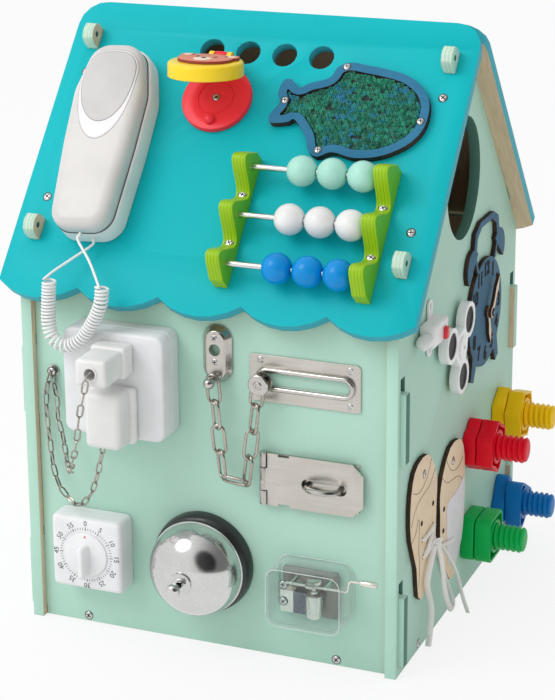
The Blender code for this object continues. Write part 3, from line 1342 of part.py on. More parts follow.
# Movement bed: cast plate on feet, comb, drum bearings and shaft posts
bed_top = BED_HEIGHT + BED_THICK
music_box_frame = part("music_box_frame",
                       plate([rectangle(BED_LEFT, BED_LOW, BED_RIGHT, BED_HIGH, BED_FOOT)], BED_HEIGHT,
                             bed_top),
                       steel, front, smooth=False)
for x in (BED_LEFT + BED_FOOT * 2, BED_RIGHT - BED_FOOT * 2):
    for z in (BED_LOW + BED_FOOT * 2, BED_HIGH - BED_FOOT * 2):
        join(music_box_frame, tool(rod(BED_FOOT, CLEAR, BED_HEIGHT + BED_THICK / 2, 10), front, (x, z, 0)))
comb_tip = DRUM_X - DRUM_RADIUS - COMB_TIP_CLEAR
comb_pitch = (DRUM_HIGH - DRUM_LOW) / COMB_TEETH
comb_points = [(COMB_BACK, DRUM_LOW), (COMB_ROOT, DRUM_LOW)]
for i in range(COMB_TEETH):
    low = DRUM_LOW + i * comb_pitch
    comb_points += [(COMB_ROOT, low + comb_pitch * 0.1), (comb_tip, low + comb_pitch * 0.25),
                    (comb_tip, low + comb_pitch * 0.75), (COMB_ROOT, low + comb_pitch * 0.9)]
comb_points += [(COMB_ROOT, DRUM_HIGH), (COMB_BACK, DRUM_HIGH)]
comb_low = DRUM_HEIGHT - COMB_THICK / 2
comb = tool(plate([comb_points], comb_low, comb_low + COMB_THICK), front)
saddle = tool(block((COMB_BACK, DRUM_LOW, BED_HEIGHT + BED_THICK / 2),
                    (COMB_ROOT - COMB_THICK, DRUM_HIGH, comb_low + COMB_THICK / 2)),
              front)
join(music_box_frame, comb, saddle)


def bearing(z, radius_hole):
    """An upright cheek across the drum's axis, with a round end and a bore."""
    half = BEARING_WIDTH / 2
    outline = [(half, BED_HEIGHT + BED_THICK / 2)]
    for k in range(7):
        angle = pi * k / 6
        outline.append((half * cos(angle), DRUM_HEIGHT + half * sin(angle)))
    outline.append((-half, BED_HEIGHT + BED_THICK / 2))
    hole = circle(radius_hole, 10, (0, DRUM_HEIGHT))
    return tool(plate([outline, hole], -BEARING_THICK / 2, BEARING_THICK / 2), front, (DRUM_X, z, 0),
                (-1, 0, 0), (0, 0, 1))


lower_cheek = DRUM_LOW - CLEAR - BEARING_THICK / 2
upper_cheek = DRUM_HIGH + 3 * CLEAR + BEARING_THICK / 2
join(music_box_frame, bearing(lower_cheek, DRUM_ARBOR + CLEAR), bearing(upper_cheek, DRUM_ARBOR + CLEAR))
post_half = POST_WIDTH / 2
for x in (POST_LEFT, POST_RIGHT):
    outline = [(CRANK_Z - post_half, BED_HEIGHT + BED_THICK / 2), (CRANK_Z - post_half, CRANK_HEIGHT)]
    for k in range(1, 6):
        angle = pi - pi * k / 6
        outline.append((CRANK_Z + post_half * cos(angle), CRANK_HEIGHT + post_half * sin(angle)))
    outline += [(CRANK_Z + post_half, CRANK_HEIGHT), (CRANK_Z + post_half, BED_HEIGHT + BED_THICK / 2)]
    hole = circle(CRANK_SHAFT + CLEAR / 2, 10, (CRANK_Z, CRANK_HEIGHT))
    join(music_box_frame, tool(plate([outline, hole], x - post_half / 2, x + post_half / 2), front,
                               (0, 0, 0),
                               (0, 1, 0), (0, 0, 1)))

# Pin drum with its gear above, and the crank with the worm that drives it
gear_loop = []
for i in range(GEAR_TEETH):
    step = 2 * pi / GEAR_TEETH
    for share, radius in ((0, GEAR_ROOT), (0.30, GEAR_ROOT), (0.50, GEAR_TIP), (0.80, GEAR_TIP)):
        if share:
            gear_loop.append((radius * cos((i + share) * step), radius * sin((i + share) * step)))
        else:
            gear_loop.append((radius * cos(i * step), radius * sin(i * step)))
drum_axes = ((1, 0, 0), (0, 0, -1))
drum_at = (DRUM_X, 0, DRUM_HEIGHT)
arbor_low = lower_cheek - BEARING_THICK / 2
music_box_drum = turned("music_box_drum",
                        [(0, GEAR_HIGH), (DRUM_ARBOR, GEAR_HIGH), (DRUM_ARBOR, DRUM_HIGH),
                         (DRUM_RADIUS, DRUM_HIGH),
                         (DRUM_RADIUS, DRUM_LOW), (DRUM_ARBOR, DRUM_LOW), (DRUM_ARBOR, arbor_low),
                         (0, arbor_low)],
                        chrome, front, drum_at, 16, False, *drum_axes)
join(music_box_drum, tool(plate([gear_loop], GEAR_LOW, GEAR_HIGH - CLEAR), front, drum_at, *drum_axes))
worm_start = DRUM_X - WORM_PITCH * WORM_TURNS / 2
worm_row = [(0, worm_start + WORM_PITCH * WORM_TURNS)]
for i in range(WORM_TURNS * 2, -1, -1):
    radius = WORM_RADIUS if i % 2 else WORM_RADIUS * 0.72
    worm_row.append((radius, worm_start + WORM_PITCH * i / 2))
worm_row.append((0, worm_start))
handle_z = CRANK_Z + CRANK_ARM
arm_end = CRANK_OUT + CRANK_ARM_RUN
crank_route = [(CRANK_INNER, CRANK_Z, CRANK_HEIGHT), (CRANK_OUT, CRANK_Z, CRANK_HEIGHT),
               (CRANK_OUT + CRANK_ARM_RUN * 0.35, CRANK_Z + CRANK_ARM * 0.12, CRANK_HEIGHT),
               (arm_end - CRANK_ARM_RUN * 0.35, handle_z - CRANK_ARM * 0.12, CRANK_HEIGHT),
               (arm_end, handle_z, CRANK_HEIGHT), (CRANK_HANDLE_END - CRANK_HANDLE, handle_z, CRANK_HEIGHT)]
crank_pivot = (0, CRANK_Z, CRANK_HEIGHT)
crank_frame = bpy.data.objects.new("crank_axis", None)
parts.objects.link(crank_frame)
place(crank_frame, front, crank_pivot)
bpy.context.view_layer.update()
crank_local = [tuple(Vector(p) - Vector(crank_pivot)) for p in crank_route]
music_box_crank = part("music_box_crank", wire(crank_local, CRANK_SHAFT, 2), steel, crank_frame)
join(music_box_crank, turned_tool(worm_row, crank_frame, (0, 0, 0), 10, False, (0, 1, 0), (0, 0, 1)),
     tool(rod(CRANK_HANDLE, CRANK_HANDLE_START, CRANK_HANDLE_END, 12), crank_frame, (0, CRANK_ARM, 0),
          (0, 1, 0), (0, 0, 1)))

# Alarm clock: one sawn board with bells, handle and feet, and two hands on a pin
FOOT_SHARES = ((0.50, -0.80), (0.68, -1.14), (0.86, -1.06), (0.74, -0.60))
BELL_AT_SHARE = (0.82, 1.02)
BELL_LEAN = radians(-40)
HANDLE_SHARES = ((-0.56, 0.86), (-0.78, 1.30), (-0.70, 1.62), (-0.40, 1.76), (0.40, 1.76), (0.70, 1.62),
                 (0.78, 1.30), (0.56, 0.86))


def clock_piece(loop):
    return tool(plate([[(x * CLOCK_RADIUS, y * CLOCK_RADIUS) for x, y in loop]], CLEAR, CLOCK_THICK), side,
                (CLOCK_Y, CLOCK_Z, 0))


def bell_outline(way):
    loop = []
    for k in range(8):
        angle = pi * k / 7
        loop.append((BELL_HALF * cos(angle), BELL_HALF * 0.95 * sin(angle)))
    loop.append((-BELL_HALF, -BELL_HALF * 0.12))
    loop.append((BELL_HALF, -BELL_HALF * 0.12))
    loop = turned_loop(loop, BELL_LEAN)
    loop = shifted(loop, BELL_AT_SHARE[0] * CLOCK_RADIUS, BELL_AT_SHARE[1] * CLOCK_RADIUS)
    return loop if way > 0 else [(-x, y) for x, y in reversed(loop)]


alarm_clock_face = part("alarm_clock_face", plate([circle(CLOCK_RADIUS, 36)], CLEAR, CLOCK_THICK),
                        blue_stain,
                        side, (CLOCK_Y, CLOCK_Z, 0))
clock_at = (CLOCK_Y, CLOCK_Z, 0)
outer_handle = rounded([(x * CLOCK_RADIUS, y * CLOCK_RADIUS) for x, y in HANDLE_SHARES], 0)
inner_handle = [(x * (1 - HANDLE_BAND / CLOCK_RADIUS * 1.5), y - (HANDLE_BAND if y > CLOCK_RADIUS else 0))
                for x, y in outer_handle]
handle_board = plate([outer_handle + inner_handle[::-1]], CLEAR, CLOCK_THICK)
join(alarm_clock_face, clock_piece(FOOT_SHARES), clock_piece([(-x, y) for x, y in FOOT_SHARES[::-1]]),
     tool(handle_board, side, clock_at))
for way in (-1, 1):
    join(alarm_clock_face, tool(plate([bell_outline(way)], CLEAR, CLOCK_THICK), side, clock_at))
hour_low = CLOCK_THICK + CLEAR
hour_high = hour_low + HAND_THICK
minute_low = hour_high + HAND_GAP
minute_high = minute_low + HAND_THICK
pin_head = [(0, minute_high + HAND_THICK / 2), (HAND_HUB * 0.7, minute_high + HAND_THICK / 2),
            (HAND_HUB * 0.7, minute_high + CLEAR), (HAND_PIN, minute_high + CLEAR),
            (HAND_PIN, CLOCK_THICK / 2),
            (0, CLOCK_THICK / 2)]
join(alarm_clock_face, turned_tool(pin_head, side, clock_at, 12))


def hand(name, length, angle, low, high, material):
    outline = []
    for k in range(11):
        turn = radians(30) + (2 * pi - radians(60)) * k / 10
        outline.append((HAND_HUB * cos(turn), HAND_HUB * sin(turn)))
    half = HAND_WIDTH / 2
    outline += [(length * 0.35, -half * 0.6), (length * 0.62, -half), (length, 0), (length * 0.62, half),
                (length * 0.35, half * 0.6)]
    along = (sin(angle), cos(angle), 0)
    across = (-cos(angle), sin(angle), 0)
    return part(name, plate([outline, circle(HAND_PIN + CLEAR, 12)], low, high), material, side, clock_at,
                along, across)


hour_hand = hand("hour_hand", HOUR_LENGTH, HOUR_ANGLE, hour_low, hour_high, pale_ply)
minute_hand = hand("minute_hand", MINUTE_LENGTH, MINUTE_ANGLE, minute_low, minute_high, pale_ply)

# Push light: case with screw ears and bulb, and a sprung red button
light_low_y = LIGHT_Y - LIGHT_LENGTH / 2
light_high_y = LIGHT_Y + LIGHT_LENGTH / 2
push_light_case = part("push_light_case", block((light_low_y, LIGHT_Z - LIGHT_HEIGHT / 2, CLEAR),
                                                (light_high_y, LIGHT_Z + LIGHT_HEIGHT / 2, LIGHT_THICK)),
                       white_plastic, side)
bevel(push_light_case, LIGHT_EDGE, 1)
ear_reach = LIGHT_HEIGHT / 2 + LIGHT_EAR_REACH
for way in (-1, 1):
    low_z = LIGHT_Z + (0 if way > 0 else -ear_reach)
    ear_loop = slot(LIGHT_EAR_Y - LIGHT_EAR, low_z, LIGHT_EAR_Y + LIGHT_EAR, low_z + ear_reach, 4)
    hole_z = LIGHT_Z + way * (ear_reach - LIGHT_EAR)
    hole = slot(LIGHT_EAR_Y - LIGHT_EAR / 4, hole_z - LIGHT_EAR / 2, LIGHT_EAR_Y + LIGHT_EAR / 4,
                hole_z + LIGHT_EAR / 2, 3)
    join(push_light_case, tool(plate([ear_loop, hole], 2 * CLEAR, LIGHT_EAR_THICK), side))
bulb_profile = [(0, BULB_LENGTH)]
for k in range(1, 5):
    angle = pi / 2 * k / 4
    bulb_profile.append((BULB_RADIUS * sin(angle), BULB_LENGTH - BULB_RADIUS + BULB_RADIUS * cos(angle)))
bulb_profile += [(BULB_RADIUS, -LIGHT_EDGE * 2), (0, -LIGHT_EDGE * 2)]
join(push_light_case, turned_tool(bulb_profile, side, (light_low_y, LIGHT_Z - BULB_DROP,
                                                       LIGHT_THICK / 2 + CLEAR), 14,
                                  False, (0, 0, 1), (0, 1, 0)))
button_half = BUTTON_WIDTH / 2
button_tall = BUTTON_HEIGHT / 2
pocket_low = LIGHT_THICK - BUTTON_DEEP - BUTTON_TRAVEL - CLEAR
cut(push_light_case, tool(block((BUTTON_Y - button_half - CLEAR, BUTTON_Z - button_tall - CLEAR, pocket_low),
                                (BUTTON_Y + button_half + CLEAR, BUTTON_Z + button_tall + CLEAR,
                                 LIGHT_THICK + OVERRUN)), side))
push_light_button = part("push_light_button", block((-button_half, -button_tall, -BUTTON_DEEP),
                                                    (button_half, button_tall, BUTTON_PROUD)),
                         red_plastic, side, (BUTTON_Y, BUTTON_Z, LIGHT_THICK))
bevel(push_light_button, LIGHT_EDGE / 2, 1)

# Spinner: three round lobes on a pin
spinner_loop = []
for lobe in range(3):
    middle = 2 * pi * lobe / 3
    centre = (SPINNER_ARM * cos(middle), SPINNER_ARM * sin(middle))
    for k in range(13):
        angle = middle - SPINNER_NECK + 2 * SPINNER_NECK * k / 12
        spinner_loop.append((centre[0] + SPINNER_LOBE * cos(angle), centre[1] + SPINNER_LOBE * sin(angle)))
spinner_low = SPINNER_COLLAR_THICK + CLEAR
spinner_high = spinner_low + SPINNER_THICK
spinner_axes = ((cos(SPINNER_TURN), sin(SPINNER_TURN), 0), (-sin(SPINNER_TURN), cos(SPINNER_TURN), 0))
spinner = part("spinner", plate([spinner_loop], spinner_low, spinner_high), white_plastic, side,
               (SPINNER_Y, SPINNER_Z, 0), *spinner_axes)
join(spinner, tool(rod(SPINNER_CAP, spinner_high - CLEAR, spinner_high + SPINNER_CAP_THICK, 16), side,
                   (SPINNER_Y, SPINNER_Z, 0)))
for lobe in range(3):
    middle = 2 * pi * lobe / 3 + SPINNER_TURN
    well = rod(SPINNER_WELL, spinner_high - SPINNER_WELL_DEPTH, spinner_high + OVERRUN, 16)
    cut(spinner, tool(well, side, (SPINNER_Y + SPINNER_ARM * cos(middle),
                                   SPINNER_Z + SPINNER_ARM * sin(middle), 0)))
cut(spinner, tool(rod(SPINNER_PIN + CLEAR, spinner_low - OVERRUN, pin_height + CLEAR, 12), side,
                  (SPINNER_Y, SPINNER_Z, 0)))

# Four bolts with studs, each with a nut of the same outline
def arc_corner_loop(count, radius, corner, turn):
    return turned_loop(rounded(circle(radius, count), corner, 4), turn)


def flower_loop(count=30):
    loop = []
    for k in range(count):
        angle = 2 * pi * k / count
        radius = FLOWER_RADIUS - FLOWER_WAVE + FLOWER_WAVE * cos(6 * angle)
        loop.append((radius * cos(angle), radius * sin(angle)))
    return loop


square_half = SQUARE_SIDE / 2
BOLTS = (
    ("hexagon", HEX_CENTRE, circle(HEX_RADIUS, 6), radians(30), HEX_TURN, yellow_plastic),
    ("flower", FLOWER_CENTRE, flower_loop(), radians(30), 0, red_plastic),
    ("triangle", TRIANGLE_CENTRE, arc_corner_loop(3, TRIANGLE_RADIUS, TRIANGLE_ROUND, 0), radians(90),
     TRIANGLE_TURN, blue_plastic),
    ("square", SQUARE_CENTRE, rectangle(-square_half, -square_half, square_half, square_half,
                                        SQUARE_ROUND, 3),
     0, 0, green_plastic),
)
stud_row = [(0, STUD_LENGTH), (STUD_CREST * 0.6, STUD_LENGTH - STUD_DOME / 4),
            (STUD_CREST, STUD_LENGTH - STUD_DOME),
            (STUD_CREST, BOLT_HEAD - CLEAR), (0, BOLT_HEAD - CLEAR)]
for name, (y, z), loop, turn, nut_turn, material in BOLTS:
    head = part("bolt_" + name, plate([turned_loop(loop, turn)], CLEAR, BOLT_HEAD), material, side,
                (y, z, 0))
    bevel(head, LIGHT_EDGE / 2, 1)
    join(head, turned_tool(stud_row, side, (y, z, 0), 16))
    nut = part("nut_" + name, plate([turned_loop(loop, turn)], NUT_START, NUT_START + NUT_THICK),
               material, side,
               (y, z, 0), (cos(nut_turn), sin(nut_turn), 0), (-sin(nut_turn), cos(nut_turn), 0))
    nut_top = NUT_START + NUT_THICK
    hollow_outline = inset_loop(turned_loop(loop, turn), NUT_WALL)
    hollow = tool(plate([hollow_outline], nut_top - NUT_HOLLOW, nut_top + OVERRUN), side,
                  (y, z, 0), (cos(nut_turn), sin(nut_turn), 0), (-sin(nut_turn), cos(nut_turn), 0))
    cut(hollow, tool(rod(NUT_COLLAR, nut_top - NUT_HOLLOW - OVERRUN, nut_top + 2 * OVERRUN, 16), side,
                     (y, z, 0)))
    cut(nut, hollow, tool(rod(STUD_CREST + NUT_CLEAR, NUT_START - OVERRUN, nut_top + OVERRUN, 16), side,
                          (y, z, 0)))

# Shoes: sawn boards with lace holes; the lace ties both
SHOE_SHARES = ((0.119, 0.502), (0.402, 0.360), (0.504, 0.218), (0.485, 0.088), (0.470, -0.128),
               (0.425, -0.231),
               (0.073, -0.502), (-0.169, -0.475), (-0.246, -0.248), (-0.462, 0.001), (-0.500, 0.218),
               (-0.425, 0.407), (-0.239, 0.498))
LACE_SHARES = ((0.343, 0.096), (-0.082, 0.045), (0.357, -0.063), (-0.037, -0.084), (0.366, -0.162),
               (-0.007, -0.214))


def shoe(name, y, z, way):
    outline = smooth_loop([(px * SHOE_WIDTH, py * SHOE_LENGTH) for px, py in SHOE_SHARES], 2)
    loops = [outline] + [circle(LACE_HOLE, 6, (px * SHOE_WIDTH, py * SHOE_LENGTH)) for px, py in LACE_SHARES]
    if way < 0:
        loops = [[(-px, py) for px, py in reversed(loop)] for loop in loops]
    return part(name, plate(loops, CLEAR, SHOE_THICK), pale_ply, side, (y, z, 0))


left_shoe = shoe("left_shoe", SHOE_Y, SHOE_Z, 1)
right_shoe = shoe("right_shoe", RIGHT_SHOE_Y, RIGHT_SHOE_Z, -1)

# Lace: one unbroken run from tail to tail through the knot and its loops
LACE_ROUTE = ((-0.0475, 0.0125, 0.0240), (-0.0560, 0.0300, 0.0220), (-0.0660, 0.0560, 0.0190),
              (-0.0760, 0.0760, 0.0130), (-0.0825, 0.0865, 0.0088),
              (-0.0900, 0.0720, 0.0150), (-0.0890, 0.0500, 0.0170), (-0.0800, 0.0330, 0.0175),
              (-0.0660, 0.0215, 0.0160), (-0.0590, 0.0250, 0.0150), (-0.0640, 0.0410, 0.0120),
              (-0.0740, 0.0640, 0.0090), (-0.0840, 0.0835, 0.0075),
              (-0.0960, 0.0760, 0.0080), (-0.1060, 0.0620, 0.0080), (-0.1010, 0.0480, 0.0080),
              (-0.0960, 0.0340, 0.0085), (-0.1000, 0.0180, 0.0090), (-0.1060, 0.0060, 0.0095))
lace_points = smooth_loop(LACE_ROUTE, 2, closed=False)
shoe_lace = part("shoe_lace", wire(lace_points, LACE, 1), lace_cotton, side)
knot_at = (LACE_ROUTE[4][0], LACE_ROUTE[4][1], LACE_ROUTE[4][2])
knot_foot = rod(KNOT_FOOT, SHOE_THICK + CLEAR, knot_at[2], 12, knot_at[:2])
join(shoe_lace, tool(ball(KNOT, knot_at), side), tool(knot_foot, side))
print("shoe lace: %d points, least gap to itself %.2f mm"
      % (len(lace_points), least_gap(lace_points, LACE, 5) * 1000))
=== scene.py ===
"""Tabletop activity house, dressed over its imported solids: plywood house, locks,
switches and toys. Metres, +Z up, front at -Y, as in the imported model."""
from math import acos, cos, hypot, pi, radians, sin, sqrt, tan

import bmesh
import bpy
from mathutils import Matrix, Vector
from mathutils.bvhtree import BVHTree


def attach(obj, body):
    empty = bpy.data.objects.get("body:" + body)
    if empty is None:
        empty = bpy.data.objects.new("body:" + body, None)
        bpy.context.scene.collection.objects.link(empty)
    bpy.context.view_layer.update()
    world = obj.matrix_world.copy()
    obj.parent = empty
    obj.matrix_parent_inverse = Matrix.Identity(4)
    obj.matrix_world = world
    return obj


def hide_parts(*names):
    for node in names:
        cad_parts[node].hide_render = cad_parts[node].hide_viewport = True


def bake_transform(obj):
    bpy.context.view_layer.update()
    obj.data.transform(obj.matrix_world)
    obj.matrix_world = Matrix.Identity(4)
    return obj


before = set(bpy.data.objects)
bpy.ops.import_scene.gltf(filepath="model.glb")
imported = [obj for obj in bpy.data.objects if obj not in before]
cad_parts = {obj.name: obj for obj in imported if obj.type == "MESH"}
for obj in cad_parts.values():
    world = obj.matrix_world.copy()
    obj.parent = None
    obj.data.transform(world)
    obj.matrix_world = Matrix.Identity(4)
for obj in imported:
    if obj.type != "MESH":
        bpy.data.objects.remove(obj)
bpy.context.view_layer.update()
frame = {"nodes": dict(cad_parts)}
nodes = frame["nodes"]

# ---------------------------------------------------------------- Camera
# A long lens a little over a metre and a half away, to the right and above,
# as the product photograph was taken.
CAMERA_AT = (0.62446, -1.53778, 0.76417)
CAMERA_RIGHT = (0.92676, 0.37560, -0.00687)
CAMERA_UP = (-0.09752, 0.25820, 0.96116)
CAMERA_BACK = (0.36278, -0.89009, 0.27592)
LENS = 106.9
LENS_SHIFT = -0.1429

camera = bpy.data.objects.new("camera", bpy.data.cameras.new("camera"))
bpy.context.scene.collection.objects.link(camera)
turn = Matrix((CAMERA_RIGHT, CAMERA_UP, CAMERA_BACK)).transposed().to_4x4()
camera.matrix_world = Matrix.Translation(CAMERA_AT) @ turn
camera.data.lens = LENS
camera.data.sensor_width = 36
camera.data.shift_y = LENS_SHIFT
bpy.context.scene.camera = camera
bpy.context.scene.view_settings.view_transform = "Standard"


# ---------------------------------------------------------------- Floor and light
# A pale sweep of board and paper, lit by one big soft box at the upper left and the
# white room around it, which is dimmer to the right and dark in one corner.
ROOM_LIGHT = 1.04
ROOM_SHARES = (0.55, 0.48)
SOFT_BOX = ((-1.3, -1.6, 2.2), (0, 0, 0.25), 1.5, 23)
FLOOR_GLOW = 0.82
DARK_WAY = (0.46, -0.78, 0.42)
DIM_WAY = (0.93, 0.10, 0.0)


class Value:
    """A number or colour that changes over a surface, written as sums."""

    def __init__(self, nodes, socket):
        self.nodes = nodes
        self.socket = socket

    def sum(self, operation, *others):
        return self.nodes.node("ShaderNodeMath", {"operation": operation}, dict(enumerate((self, *others))))

    def __add__(self, other):
        return self.sum("ADD", other)

    def __mul__(self, other):
        return self.sum("MULTIPLY", other)

    def __sub__(self, other):
        return self.sum("SUBTRACT", other)

    def __pow__(self, other):
        return self.sum("POWER", other)

    __radd__ = __add__

    def step(self, low, high, first=0.0, last=1.0):
        """first below low, last above high, smooth between."""
        ends = {"Value": self, "From Min": low, "From Max": high, "To Min": first, "To Max": last}
        return self.nodes.node("ShaderNodeMapRange", {"interpolation_type": "SMOOTHSTEP"}, ends)


class Nodes:
    """A node tree, with one way to add a node and set its sockets."""

    def __init__(self, tree):
        self.tree = tree

    def node(self, kind, settings, inputs, output=0):
        made = self.tree.nodes.new(kind)
        for key, value in settings.items():
            setattr(made, key, value)
        for key, value in inputs.items():
            self.set(made.inputs[key], value)
        return Value(self, made.outputs[output])

    def set(self, socket, value):
        if isinstance(value, Value):
            self.tree.links.new(value.socket, socket)
        elif socket.type == "RGBA" and len(value) == 3:
            socket.default_value = (*value, 1)
        else:
            socket.default_value = value

    def any_ray(self, *kinds):
        """1 for a ray of any of these kinds, else 0."""
        path = self.tree.nodes.new("ShaderNodeLightPath")
        found = Value(self, path.outputs[kinds[0]])
        for kind in kinds[1:]:
            found = found.sum("MAXIMUM", Value(self, path.outputs[kind]))
        return found


class Finish(Nodes):
    """A material whose colour, roughness and relief come from nodes."""

    def __init__(self, name):
        self.material = bpy.data.materials.new(name)
        self.material.use_nodes = True
        super().__init__(self.material.node_tree)
        self.shader = self.tree.nodes["Principled BSDF"]

    def axis(self, axis):
        place = self.node("ShaderNodeTexCoord", {}, {}, "Object")
        return self.node("ShaderNodeSeparateXYZ", {}, {0: place}, axis)

    def noise(self, scale, stretch=(1, 1, 1), detail=3, rough=0.5):
        place = self.node("ShaderNodeTexCoord", {}, {}, "Object")
        mapped = self.node("ShaderNodeMapping", {}, {"Vector": place, "Scale": stretch})
        made = {"Vector": mapped, "Scale": scale, "Detail": detail, "Roughness": rough}
        return self.node("ShaderNodeTexNoise", {}, made)

    def mix(self, first, second, share):
        return self.node("ShaderNodeMix", {"data_type": "RGBA"}, {0: share, 6: first, 7: second}, 2)

    def relief(self, height, depth, strength=1.0):
        bump = self.node("ShaderNodeBump", {}, {"Height": height, "Distance": depth, "Strength": strength})
        self.set(self.shader.inputs["Normal"], bump)

    def give(self, **inputs):
        for key, value in inputs.items():
            self.set(self.shader.inputs[key.replace("_", " ").title().replace("Ior", "IOR")], value)
        return self.material

    def blend_in(self, share, first, second):
        """Two shaders mixed by share, as what is seen."""
        mixed = self.node("ShaderNodeMixShader", {}, {0: share, 1: first, 2: second})
        self.set(self.tree.nodes["Material Output"].inputs["Surface"], mixed)


floor_finish = Finish("pale_floor")
grain = floor_finish.noise(300, detail=4)
floor_finish.give(base_color=(0.86, 0.86, 0.86), roughness=0.9 + grain * 0.05)
glow = floor_finish.node("ShaderNodeEmission", {}, {"Color": (1, 1, 1), "Strength": 1.0})
seen = floor_finish.any_ray("Is Camera Ray", "Is Glossy Ray", "Is Transmission Ray")
floor_finish.blend_in(seen * FLOOR_GLOW, Value(floor_finish, floor_finish.shader.outputs[0]), glow)
floor_mesh = bpy.data.meshes.new("floor")
floor_mesh.from_pydata([(-30, -30, 0), (30, -30, 0), (30, 30, 0), (-30, 30, 0)], [], [(0, 1, 2, 3)])
floor_mesh.materials.append(floor_finish.material)
floor = bpy.data.objects.new("floor", floor_mesh)
floor.location = (0, 0, -0.0004)
bpy.context.scene.collection.objects.link(floor)

world = bpy.data.worlds.new("white_room")
bpy.context.scene.world = world
world.use_nodes = True
sky = Nodes(world.node_tree)


def toward(way):
    """How far a ray of the sky points a way, from -1 to 1."""
    place = sky.node("ShaderNodeTexCoord", {}, {}, "Generated")
    return sky.node("ShaderNodeVectorMath", {"operation": "DOT_PRODUCT"}, {0: place, 1: way}, "Value")


dim = toward(DIM_WAY).step(-0.35, 0.75, 0.95, 0.22)
fade = toward(DARK_WAY).step(0.86, 0.95, 1.0, 0.10)
direct = sky.any_ray("Is Camera Ray", "Is Transmission Ray")
room = sky.tree.nodes["Background"]
sky.set(room.inputs["Color"], (1, 1, 1))
sky.set(room.inputs["Strength"], dim * (ROOM_LIGHT * ROOM_SHARES[0]) + ROOM_LIGHT * ROOM_SHARES[1])
shown = (fade * dim).sum("MAXIMUM", direct)
paper = sky.node("ShaderNodeBackground", {}, {"Color": (1, 1, 1), "Strength": shown})
share = sky.any_ray("Is Glossy Ray") + direct
both = sky.node("ShaderNodeMixShader", {}, {0: share, 1: Value(sky, room.outputs[0]), 2: paper})
sky.set(sky.tree.nodes["World Output"].inputs["Surface"], both)

lamp_at, lamp_aim, lamp_size, lamp_power = SOFT_BOX
lamp = bpy.data.objects.new("soft_box", bpy.data.lights.new("soft_box", "AREA"))
lamp.data.shape = "DISK"
lamp.data.size = lamp_size
lamp.data.energy = lamp_power
lamp.location = lamp_at
lamp.rotation_mode = "QUATERNION"
lamp.rotation_quaternion = (Vector(lamp_aim) - Vector(lamp_at)).to_track_quat("-Z", "Y")
bpy.context.scene.collection.objects.link(lamp)

# ---------------------------------------------------------------- Curly cord
# White PVC lead wound into a tight spring, 2.1 mm thick; it hangs in a U over the
# eave from the handset's foot to the cradle's foot.
PITCH = radians(50)
RIDGE = 0.487
ROOF = Matrix.Translation((0, 0, RIDGE)) @ Matrix.Rotation(PITCH, 4, "X")
LOOSE = 0.0003
PHONE_AT = (-0.1088, -0.1375)
PHONE_LEAN = radians(-3.5)
PHONE_LENGTH = 0.170
CRADLE_THICK = 0.019
HANDSET_THICK = 0.0165
HANDSET_OVERHANG = -0.0024
PHONE_FOOT = 0.002
CRADLE_SHORT = 0.0034
CORD_WIRE = 0.00105
CORD_GAP = 0.0005
COIL_RADIUS = 0.0048
TURN_POINTS = 16
COIL_ROUTE = ((-0.0708, -0.1865, 0.3015), (-0.0722, -0.1875, 0.2872), (-0.0800, -0.1882, 0.2705),
              (-0.0905, -0.1884, 0.2568), (-0.1030, -0.1884, 0.2508), (-0.1130, -0.1882, 0.2550),
              (-0.1172, -0.1878, 0.2660), (-0.1172, -0.1870, 0.2840), (-0.1163, -0.1862, 0.3020))
PHONE = ROOF @ Matrix.Translation((*PHONE_AT, 0)) @ Matrix.Rotation(-PHONE_LEAN, 4, "Z")


def smooth(points, steps=3, closed=False):
    """Catmull-Rom curve through a row of points."""
    result = []
    count = len(points)
    for i in range(count if closed else count - 1):
        near = [(i + k) % count if closed else max(0, min(count - 1, i + k)) for k in (-1, 0, 1, 2)]
        a, b, c, d = (Vector(points[n]) for n in near)
        for s in range(steps):
            t = s / steps
            p = b * 2 + (c - a) * t + (a * 2 - b * 5 + c * 4 - d) * t ** 2
            result.append((p + (b * 3 - a - c * 3 + d) * t ** 3) / 2)
    if not closed:
        result.append(Vector(points[-1]))
    return result


def coated(mesh, *finishes):
    """A mesh in these finishes and no others."""
    mesh.materials.clear()
    for finish in finishes:
        mesh.materials.append(finish)
    return mesh


def new_piece(name, mesh, body, material=None, slot=None, stands_for=(), place=None):
    """A finished mesh as a piece of the object, on its body, or on none yet."""
    mesh.name = name
    if place:
        mesh.transform(place)
    if material:
        coated(mesh, material)
    obj = bpy.data.objects.new(name, mesh)
    bpy.context.scene.collection.objects.link(obj)
    if body:
        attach(obj, body)
    if stands_for:
        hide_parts(*stands_for)
    return obj


def baked(data, modifiers=()):
    """A curve or mesh with its modifiers applied, as a plain mesh."""
    obj = bpy.data.objects.new("work", data)
    bpy.context.scene.collection.objects.link(obj)
    for kind, settings in modifiers:
        modifier = obj.modifiers.new(kind, kind)
        for key, value in settings.items():
            setattr(modifier, key, value)
    graph = bpy.context.evaluated_depsgraph_get()
    mesh = bpy.data.meshes.new_from_object(obj.evaluated_get(graph))
    bpy.data.objects.remove(obj, do_unlink=True)
    return mesh


def tube(points, radius, sides=3, closed=False):
    """A round wire along points, with a uv map running along it."""
    curve = bpy.data.curves.new("wire", "CURVE")
    curve.dimensions = "3D"
    curve.bevel_depth = radius
    curve.bevel_resolution = sides
    curve.use_fill_caps = not closed
    spline = curve.splines.new("POLY")
    spline.points.add(len(points) - 1)
    for point, co in zip(spline.points, points):
        point.co = (*co, 1)
    spline.use_cyclic_u = closed
    mesh = baked(curve)
    bpy.data.curves.remove(curve)
    mesh.shade_smooth()
    return mesh


def run_length(points):
    return sum((Vector(b) - Vector(a)).length for a, b in zip(points, points[1:]))


